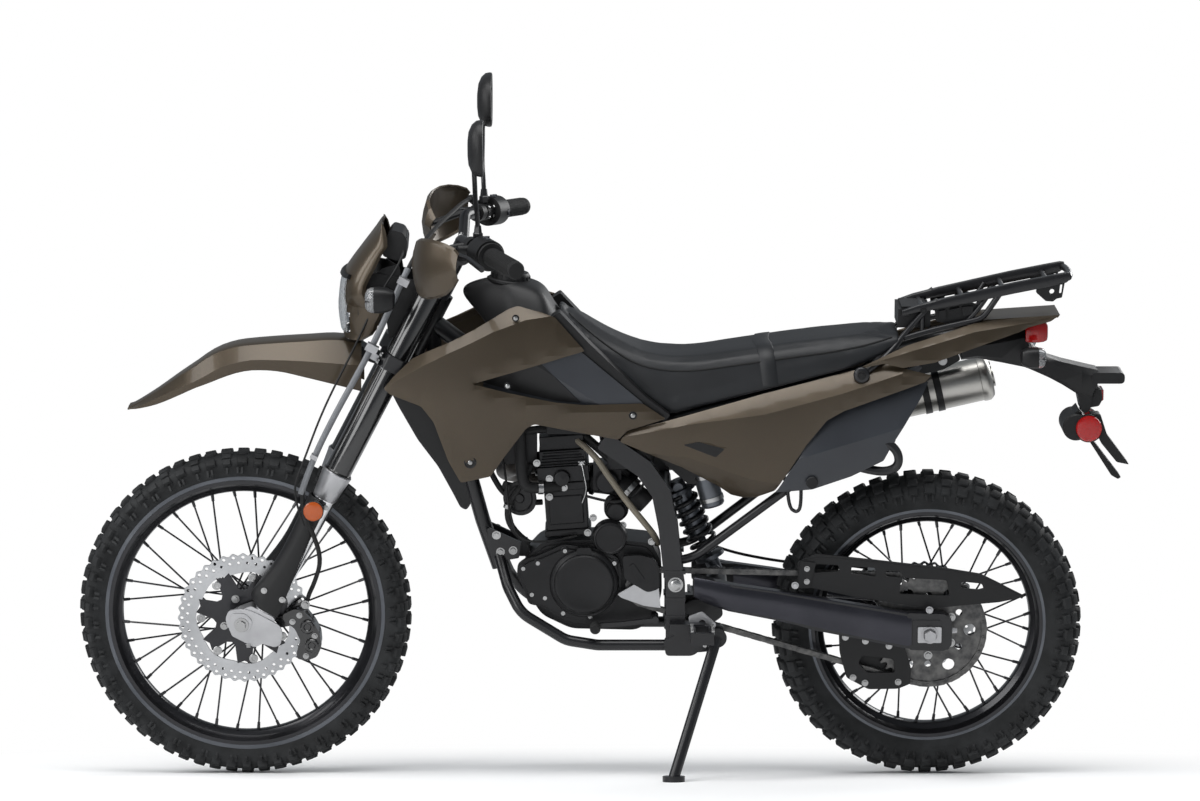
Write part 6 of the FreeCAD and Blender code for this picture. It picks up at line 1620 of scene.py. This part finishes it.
# %% Chain guard and guide
GUARD = [(262, 453), (226, 470), (106, 457), (-24, 442), (-101, 429), (-139, 410), (-190, 382), (-139, 371),
    (-60, 364), (-2, 358), (149, 382), (262, 406)]
OPENINGS = [[(179, 434), (230, 431), (228, 449), (181, 447)], [(106, 423), (157, 430), (155, 444),
    (108, 441)], [(54, 421), (88, 424), (87, 436), (55, 433)], [(-40, 384), (60, 388), (56, 421), (-34, 416)],
    [(-108, 396), (-62, 400), (-62, 413), (-104, 409)]]
add_plate(bm, GUARD, 84.5, 88.5, 4, holes=[round_corners(slot, 5, 3) for slot in OPENINGS])
add_tube(bm, [V(x, 85, z - 2) for x, z in ((250, 460), (226, 467), (106, 455), (-24, 440), (-101, 427),
    (-139, 407), (-186, 383))], 4, sides=12)
add_plate(bm, [(266, 400), (238, 400), (226, 452), (256, 456)], 88, 92, 3)
add_piece(bm, "chain_guard_shell", BLACK_PLASTIC, ["chain_guard"], slot="dark_panel", edge=0.8, sharp=35)
GUIDE = [(178, 310), (50, 287), (34, 234), (36, 203), (60, 193), (119, 192), (163, 216), (176, 262)]
add_plate(bm, GUIDE, 78, 86, 5, holes=[round_corners([(66, 226), (122, 226), (140, 246), (132, 262),
    (70, 254)], 5, 3)])
add_plate(bm, GUIDE, 54, 62, 5)
add_plate(bm, [(160, 292), (60, 276), (52, 268), (150, 282)], 60, 79)
add_piece(bm, "chain_guide_shell", BLACK_PLASTIC, ["chain_guide"], edge=1.2, sharp=35)
add_bolts(bm, 85.5, [(166, 299), (126, 291), (79, 281), (150, 216), (126, 205), (60, 207)], 4.6, 4, sides=12)
add_bolts(bm, 91.5, [(244, 440), (244, 414)], 4, 3, sides=12)
add_piece(bm, "chain_guide_bolts", BOLT_STEEL, tidy=False)

# %% [markdown]
# ## Rear shock
#
# A coil spring is wound round the damper's body: the path of its wire is a helix about the line between the
# two ends, and a tube is swept along it. The reservoir beside it holds oil and gas.

# %% Shock
TOP, LOW = V(498.7, 0, 588), V(424, 0, 421)
RESERVOIR, RESERVOIR_AXIS = V(440, 52, 600), V(0.28, 0, 1)
TURNS, STEPS, COIL_R = 7.5, 16, 26.5
run = LOW - TOP
along = run.normalized()
side_a, side_b = LEFT, along.cross(LEFT)
add_turned(bm, [(-14, 0), (-14, 15), (4, 17), (6, 30), (13, 31), (13, 22), (110, 22), (112, 8), (150, 8),
    (152, 30), (160, 30), (164, 15), (188, 14), (188, 0)], TOP, run, 40)
for end in (TOP, LOW):
    add_turned(bm, [(-20, 10), (20, 10), (20, 0), (-20, 0)], end, LEFT, 24)
add_tube(bm, [(470, 8, 598), (452, 44, 604), (444, 58, 606)], 7)
add_turned(bm, [(-42, 0), (-42, 20), (-38, 23), (36, 23), (40, 20), (40, 0)], RESERVOIR, RESERVOIR_AXIS, 36)
add_piece(bm, "shock_body", SHOCK_GREY, ["rear_shock"], sharp=35)
wire = [TOP + along * (17 + 132 * k / (TURNS * STEPS)) + (side_a * cos(2 * pi * k / STEPS) + side_b
    * sin(2 * pi * k / STEPS)) * COIL_R for k in range(int(TURNS * STEPS) + 1)]
add_tube(bm, wire, 4.6, sides=12, steps=1)
add_piece(bm, "shock_spring", FRAME_BLACK, sharp=60)
for share in (-26, 22):
    add_turned(bm, [(share - 4, 23.2), (share - 4, 24.6), (share + 4, 24.6), (share + 4, 23.2)], RESERVOIR,
        RESERVOIR_AXIS, 36)
add_piece(bm, "reservoir_bands", BOLT_STEEL, sharp=40)

# %% [markdown]
# ## Muffler
#
# The muffler hangs on the right, outside the frame, and from the left its brushed sleeve shows between the
# panels. It is a turned part with a rolled edge at its end cap. Its grain runs along it, because sheet
# metal is brushed before it is rolled.

# %% Muffler
M_FOOT, M_AXIS = V(196, -142, 708), V(-cos(radians(13)), 0, sin(radians(13)))
add_turned(bm, [(2, 20), (14, 24), (36, 42.5), (40, 44), (322, 44)], M_FOOT, M_AXIS, 72)
add_turned(bm, [(316, 44.2), (317, 45.6), (323, 46.2), (330, 45.8), (334, 43), (339, 38), (340, 34),
    (338, 30), (338, 21), (344, 21), (345, 19.5), (344, 18), (300, 18), (300, 0)], M_FOOT, M_AXIS, 72)
add_turned(bm, [(36, 44.2), (36, 45.6), (48, 45.6), (48, 44.2)], M_FOOT, M_AXIS, 72)
add_piece(bm, "muffler_sleeve", MUFFLER_STEEL, ["muffler"], sharp=32)
for start in (196, 222):
    add_turned(bm, [(start, 44.2), (start, 46), (start + 14, 46), (start + 14, 44.2)], M_FOOT, M_AXIS, 72)
add_plate(bm, [(60, 808), (48, 788), (-36, 806), (-70, 826), (-64, 842), (-20, 842)], -118, -100, 5)
add_plate(bm, [(30, 838), (34, 806), (-14, 816), (-20, 850)], -108, -92, 4)
add_piece(bm, "muffler_straps", BLACK_PLASTIC, edge=1.2, sharp=35)
add_bolt(bm, (20, -99, 814), LEFT, 6, 5)
add_bolt(bm, (-34, -99, 824), LEFT, 6, 5)
for k in range(3):
    a = radians(120 * k + 20)
    side = LEFT * cos(a) + M_AXIS.cross(LEFT) * sin(a)
    add_bolt(bm, M_FOOT + M_AXIS * 338 + side * 27, M_AXIS, 4, 4)
add_piece(bm, "muffler_bolts", BOLT_STEEL, tidy=False)

# %% [markdown]
# ## Rack
#
# The rack is bent from steel. Its rails are flat bars, taller than they are wide, and thin round struts
# hold them up. A flat bar is swept here by lofting a rounded rectangle along the rail's line.

# %% Rack
RAIL = [(60, 951), (30, 962), (-20, 975), (-90, 991), (-160, 1007), (-230, 1021), (-262, 1027), (-270, 1026)]


def bar_ring(x, z, y, tall, wide):
    corner = 0.28
    points = ((1, 1 - corner), (1 - corner, 1), (corner - 1, 1), (-1, 1 - corner), (-1, corner - 1),
        (corner - 1, -1), (1 - corner, -1), (1, corner - 1))
    return [V(x, y + a * wide / 2, z + b * tall / 2) for a, b in points]


for y in (66, -66):
    sizes = [12, 15, 19, 21, 22, 22, 20, 12]
    add_loft(bm, [bar_ring(x, z - tall / 2 + 5, y, tall, 13) for (x, z), tall in zip(RAIL, sizes)])
add_piece(bm, "rack_rails", FRAME_BLACK, ["carrier_rack"], sharp=50)
for s in (1, -1):
    add_tube(bm, [V(144, s * 112, 834), V(120, s * 108, 848), V(83, s * 88, 876), V(58, s * 72, 906),
        V(9, s * 66, 962), V(-10, s * 66, 976)], 5.8)
    add_tube(bm, [V(56, s * 74, 902), V(10, s * 68, 915), V(-60, s * 66, 931), V(-94, s * 66, 938),
        V(-108, s * 66, 952), V(-136, s * 66, 996)], 6)
    add_tube(bm, [V(-66, s * 62, 932), V(-84, s * 62, 946), V(-112, s * 62, 990)], 5)
    add_tube(bm, [V(20, s * 66, 914), V(20, s * 66, 960)], 5, sides=12)
    add_turned(bm, [(0, 0), (0, 14), (3, 16), (9, 16), (12, 13), (12, 0)], V(141, s * 110, 836), V(0, s, 0),
        32)
for x, z in ((20, 958), (-60, 977), (-140, 996), (-225, 1012)):
    add_tube(bm, [V(x, -66, z), V(x, 66, z)], 5.4)
add_tube(bm, [(-266, -66, 1022), (-272, -40, 1023), (-272, 40, 1023), (-266, 66, 1022)], 7)
add_piece(bm, "rack_struts", FRAME_BLACK, sharp=50)
for s in (1, -1):
    y = 66 * s
    add_plate(bm, [(-206, 1012), (-203, 992), (-212, 984), (-222, 975), (-236, 974), (-244, 980), (-254, 982),
        (-260, 1018)], y - 4, y + 4, 2, holes=[circle(-234, 994, 5, 16), round_corners([(-248, 990),
        (-253, 990), (-255, 1008), (-250, 1008)], 1.5, 2)])
    add_plate(bm, [(-4, 962), (-8, 932), (-28, 928), (-84, 936), (-90, 966), (-60, 976)], y - 14, y - 8, 4,
        holes=[round_corners([(-34, 954), (-54, 958), (-54, 964), (-34, 960)], 1.5, 2)])
    add_plate(bm, [(-12, 954), (-14, 940), (-26, 938), (-26, 956)], y - 8, y - 2, 2)
    add_plate(bm, [(-58, 962), (-60, 944), (-80, 947), (-80, 964)], y - 8, y - 2, 2)
add_block(bm, 3, 67, -58, 58, 920, 957)
add_block(bm, 10, 60, -50, 50, 957, 961)
add_piece(bm, "rack_plates", BLACK_PLASTIC, edge=1.6, sharp=35, tidy=False)
for s in (1, -1):
    add_bolt(bm, (141, s * 122, 836), (0, s, 0), 6, 4)
    add_bolt(bm, (18, s * 73, 957), (0, s, 0), 4.5, 3)
add_piece(bm, "rack_bolts", BLACK_PLASTIC, tidy=False)

# %% [markdown]
# ## Tail end
#
# Under the tail cowl an arm carries a small lamp and a two-tongued mud flap. The red lens closes the cowl,
# the signals stand beside it and a round reflector faces each side.

# %% Arm, lamp housing and flap
FLANK = [(-60, 874, 852, 50), (-92, 887, 855, 48), (-140, 898, 846, 44), (-186, 912, 836, 40), (-196, 884,
    832, 38), (-212, 868, 825, 38), (-236, 853, 814, 37), (-262, 845, 800, 36), (-300, 836, 776, 35),
    (-322, 831, 770, 34), (-332, 829, 797, 33)]
add_loft(bm, [ring_across(x, [(0.72 * w, top), (w, top - 0.2 * (top - low)), (w, low + 0.2 * (top - low)),
    (0.8 * w, low)]) for x, top, low, w in FLANK])
add_plate(bm, [(-320, 825), (-385, 825), (-385, 803), (-320, 803)], -36, 36, 9)
add_plate(bm, [(-287, 800), (-294, 776), (-300, 748), (-308, 742), (-318, 748), (-322, 780), (-330, 800)],
    -30, 30, 2)
add_turned(bm, [(-43, 0), (-43, 24), (-40, 27), (40, 27), (43, 24), (43, 0)], V(-290, 0, 716), LEFT, 40)
add_plate(bm, [(-296, 752), (-284, 740), (-292, 690), (-306, 690)], -34, 34, 2)
for y, tongue in ((20, [(-318, 742), (-338, 742), (-352, 700), (-397, 640), (-372, 645), (-340, 684)]),
        (-20, [(-300, 700), (-320, 692), (-386, 606), (-380, 602), (-366, 610), (-318, 684)])):
    add_plate(bm, tongue, y - 18, y + 18, 3)
add_piece(bm, "rear_fender_arm", BLACK_PLASTIC, ["rear_fender"], edge=2, sharp=40, tidy=False)
add_plate(bm, [(-340, 790), (-296, 790), (-300, 762), (-312, 752), (-336, 756), (-343, 770)], -26, 26, 4)
add_piece(bm, "plate_lamp_body", BLACK_PLASTIC, edge=1.5, sharp=40)
REFLECTOR = V(-315, 0, 714)
add_plate(bm, [(-345, 788), (-340, 788), (-340, 764), (-345, 768)], -22, 22, 1)
for way in (LEFT, RIGHT):
    add_turned(bm, [(36, 26), (46, 26), (49, 24), (50, 20), (50, 0)], REFLECTOR, way, 40)
add_piece(bm, "round_reflectors", RED_LENS, sharp=35)
for way in (LEFT, RIGHT):
    add_turned(bm, [(34, 28), (44, 28), (44, 26.5), (36, 26.5)], REFLECTOR, way, 40)
add_tube(bm, [(-300, -30, 720), (-315, 0, 716), (-315, 34, 714)], 7, sides=12)
add_piece(bm, "reflector_rims", BLACK_PLASTIC, sharp=35)

# %% Tail lamp and rear signals
rings = []
for x, top, low, w in ((-186, 918, 888, 44), (-196, 925, 887, 47), (-212, 926, 887, 47), (-222, 926, 888, 45),
        (-229, 924, 890, 40), (-231, 918, 896, 34)):
    middle, tall = (top + low) / 2, (top - low) / 2
    rings.append([V(x, w * a, middle + tall * b) for a, b in ((1, 0.6), (0.94, 1), (-0.94, 1), (-1, 0.6),
        (-1, -0.6), (-0.94, -1), (0.94, -1), (1, -0.6))])
add_loft(bm, rings)
add_piece(bm, "tail_lens", RED_LENS, ["tail_lamp"], edge=2, sharp=30)
dress_signals("rear", "chassis", V(-196, 109, 869), length=50, half_w=19, half_h=20, ahead=-1, root=V(-190,
    36, 860), tip=V(-190, 94, 866))

# %% [markdown]
# ## Small parts of the rear half
#
# A loop of tube behind the side panel holds the passenger's foot peg. The left shift lever ends in a rubber
# sleeve. The rear brake's caliper has its bridge bolts and a hose that follows the arm.

# %% Peg loops, shift rubber, rear brake parts
add_tube(bm, [(150, 104, 700), (96, 112, 704), (70, 114, 686), (64, 114, 660), (78, 112, 643), (112, 106,
    640), (150, 100, 650)], 9)
add_tube(bm, [(285, 100, 625), (284, 106, 572), (266, 108, 556), (256, 106, 572), (258, 100, 625)], 3.6,
    sides=12)
add_mirror(bm)
add_piece(bm, "peg_loops", FRAME_BLACK)
SHIFT_TIP = V(664, 118, 326)
add_turned(bm, [(-14, 0), (-14, 8), (-12, 9.5), (12, 9.5), (14, 8), (14, 0)], SHIFT_TIP, LEFT, 24)
for k in range(5):
    add_turned(bm, [(-11 + 5 * k, 9.4), (-10.4 + 5 * k, 10.6), (-8.6 + 5 * k, 10.6), (-8 + 5 * k, 9.4)],
        SHIFT_TIP, LEFT, 24)
add_piece(bm, "shift_rubber", SOFT_RUBBER, sharp=35)
add_tube(bm, [(110, -84, 400), (150, -96, 404), (220, -106, 404), (300, -108, 410), (420, -106, 436),
    (480, -96, 470)], 3, sides=12)
add_piece(bm, "rear_brake_hose", SOFT_RUBBER)
for x, z in ((70, 392), (118, 392), (98, 364)):
    add_bolt(bm, (x, -85.6, z), RIGHT, 5, 5)
add_piece(bm, "rear_caliper_bolts", BOLT_STEEL, tidy=False)

# %% [markdown]
# ## Finishes on the construction itself
#
# Whatever the imported model still shows gets a finish too: the frame tubes, fork tubes, engine castings,
# axles and brackets. These meshes stay as they are, because they are the construction itself.

# %% Dress the CAD pieces
# The rear disc takes the dark chain steel, not the disc steel, as painted shade on the far side of the wheel.
DRESS = ((RUBBER, "front_tyre rear_tyre"), (RIM_BLACK, "front_rim rear_rim front_hub rear_hub"),
    (STEEL, "front_disc"), (DARK_STEEL, "rear_disc rear_sprocket drive_chain"), (BOLT_STEEL,
    "front_axle rear_axle"), (GLOSS_BLACK, "fork_outer_tubes front_caliper rear_caliper"),
    (ALLOY, "fork_sliders"), (FRAME_BLACK,
    "lower_clamp upper_clamp handlebar hand_levers main_frame subframe carrier_rack swingarm "
    "foot_controls side_stand"), (SOFT_RUBBER, "grips brake_hose"), (CLEAR_LENS, "headlamp_lens"), (RED_LENS,
    "tail_lamp"), (KHAKI, "hand_guards headlamp_cowl front_fender shrouds side_covers tail_cowl"),
    (ENGINE_BLACK, "crankcase cylinder cylinder_head engine_covers"), (PIPE_BLACK, "exhaust_pipe"),
    (MUFFLER_STEEL, "muffler"), (GREY_PANEL, "tank_side_panels rear_panels chain_guard"), (CUSHION_GRAIN,
    "seat"), (SHOCK_GREY, "rear_shock"))
cad_finish = {name: material for material, names in DRESS for name in names.split()}
for name, node in frame["nodes"].items():
    node.data.materials.clear()
    node.data.materials.append(cad_finish.get(name, BLACK_PLASTIC))
print("dressed", len(frame["nodes"]), "construction pieces")

# %% [markdown]
# ## Floor, light and camera
#
# The photograph was taken from the left side with a long lens, on a white ground. The camera stands over
# nine metres away, so that the wheels look like circles. Four large soft lamps make the studio light: one
# above, one low from the front left that runs a highlight along the tyres, one in front and one behind.

# %% Set the stage
floor_mesh = bmesh.new()
bmesh.ops.create_grid(floor_mesh, x_segments=1, y_segments=1, size=30)
floor_data = bpy.data.meshes.new("floor")
floor_mesh.to_mesh(floor_data)
floor_mesh.free()
floor = bpy.data.objects.new("floor", floor_data)
scene.collection.objects.link(floor)
paper = finish("floor_paper", (0.86, 0.86, 0.86), (0.9, 0.9, 0.9), rough=0.9, bump=0, patch=0.5)
floor_data.materials.append(paper)

# %% [markdown]
# The paper fades to pure white where it runs away from the machine, so there is no horizon. The distance is
# measured on the floor's own coordinates and mixes the lit paper with a white glow. The sky is white to the
# camera and only gently bright to the machine, which a light path node can tell apart.

# %% Fade the floor and the sky to white
tree = paper.node_tree
oval = add_node(tree, "Mapping", Vector=add_node(tree, "TexCoord").outputs["Object"], Scale=(0.75, 1.6, 1))
reach = add_node(tree, "VectorMath", oval.outputs["Vector"], mode="LENGTH").outputs["Value"]
fade = add_node(tree, "MapRange", Value=reach, From_Min=0.7, From_Max=1.5).outputs["Result"]
share = add_node(tree, "Math", fade, add_node(tree, "LightPath").outputs["Is Camera Ray"], mode="MULTIPLY")
glow = add_node(tree, "Emission", Color=(1, 1, 1, 1))
blend = add_node(tree, "MixShader", share.outputs["Value"], tree.nodes["Principled BSDF"].outputs["BSDF"],
    glow.outputs["Emission"])
fill(tree, tree.nodes["Material Output"].inputs, Surface=blend.outputs["Shader"])
scene.view_settings.view_transform = "Standard"
scene.view_settings.look = "None"
scene.world = scene.world or bpy.data.worlds.new("studio")
scene.world.use_nodes = True
tree = scene.world.node_tree
sky = tree.nodes["Background"]
fill(tree, sky.inputs, Color=(0.86, 0.93, 1, 1), Strength=0.26)
white = add_node(tree, "Background", Color=(1, 1, 1, 1))
blend = add_node(tree, "MixShader", add_node(tree, "LightPath").outputs["Is Camera Ray"],
    sky.outputs["Background"], white.outputs["Background"])
fill(tree, tree.nodes["World Output"].inputs, Surface=blend.outputs["Shader"])


def add_softbox(name, place, aim, size, power):
    lamp = bpy.data.lights.new(name, "AREA")
    lamp.shape = "RECTANGLE"
    lamp.size, lamp.size_y = size
    lamp.energy = power
    obj = bpy.data.objects.new(name, lamp)
    obj.location = place
    obj.rotation_euler = (Vector(aim) - Vector(place)).to_track_quat("-Z", "Y").to_euler()
    scene.collection.objects.link(obj)
    return obj


add_softbox("overhead", (0.2, 1.2, 3.6), (0, 0, 0.5), (3.4, 2.2), 120)
add_softbox("front_left", (2.6, 3.4, 1.6), (0.2, 0, 0.6), (1.6, 2.4), 70)
add_softbox("front", (3.0, 0.9, 2.3), (0.5, 0, 0.9), (1.6, 1.6), 45)
add_softbox("behind", (-2.4, -2.2, 2.2), (0, 0, 0.8), (2.0, 1.6), 60)

camera = bpy.data.cameras.new("camera")
camera.sensor_width = 36
camera.lens = 140
camera_obj = bpy.data.objects.new("camera", camera)
camera_obj.location = (0.003, 9.2, 0.75)
camera_obj.rotation_euler = (radians(90), 0, radians(180))
scene.collection.objects.link(camera_obj)
scene.camera = camera_obj
scene.render.resolution_x, scene.render.resolution_y = 1200, 801
print("camera at", tuple(camera_obj.location))
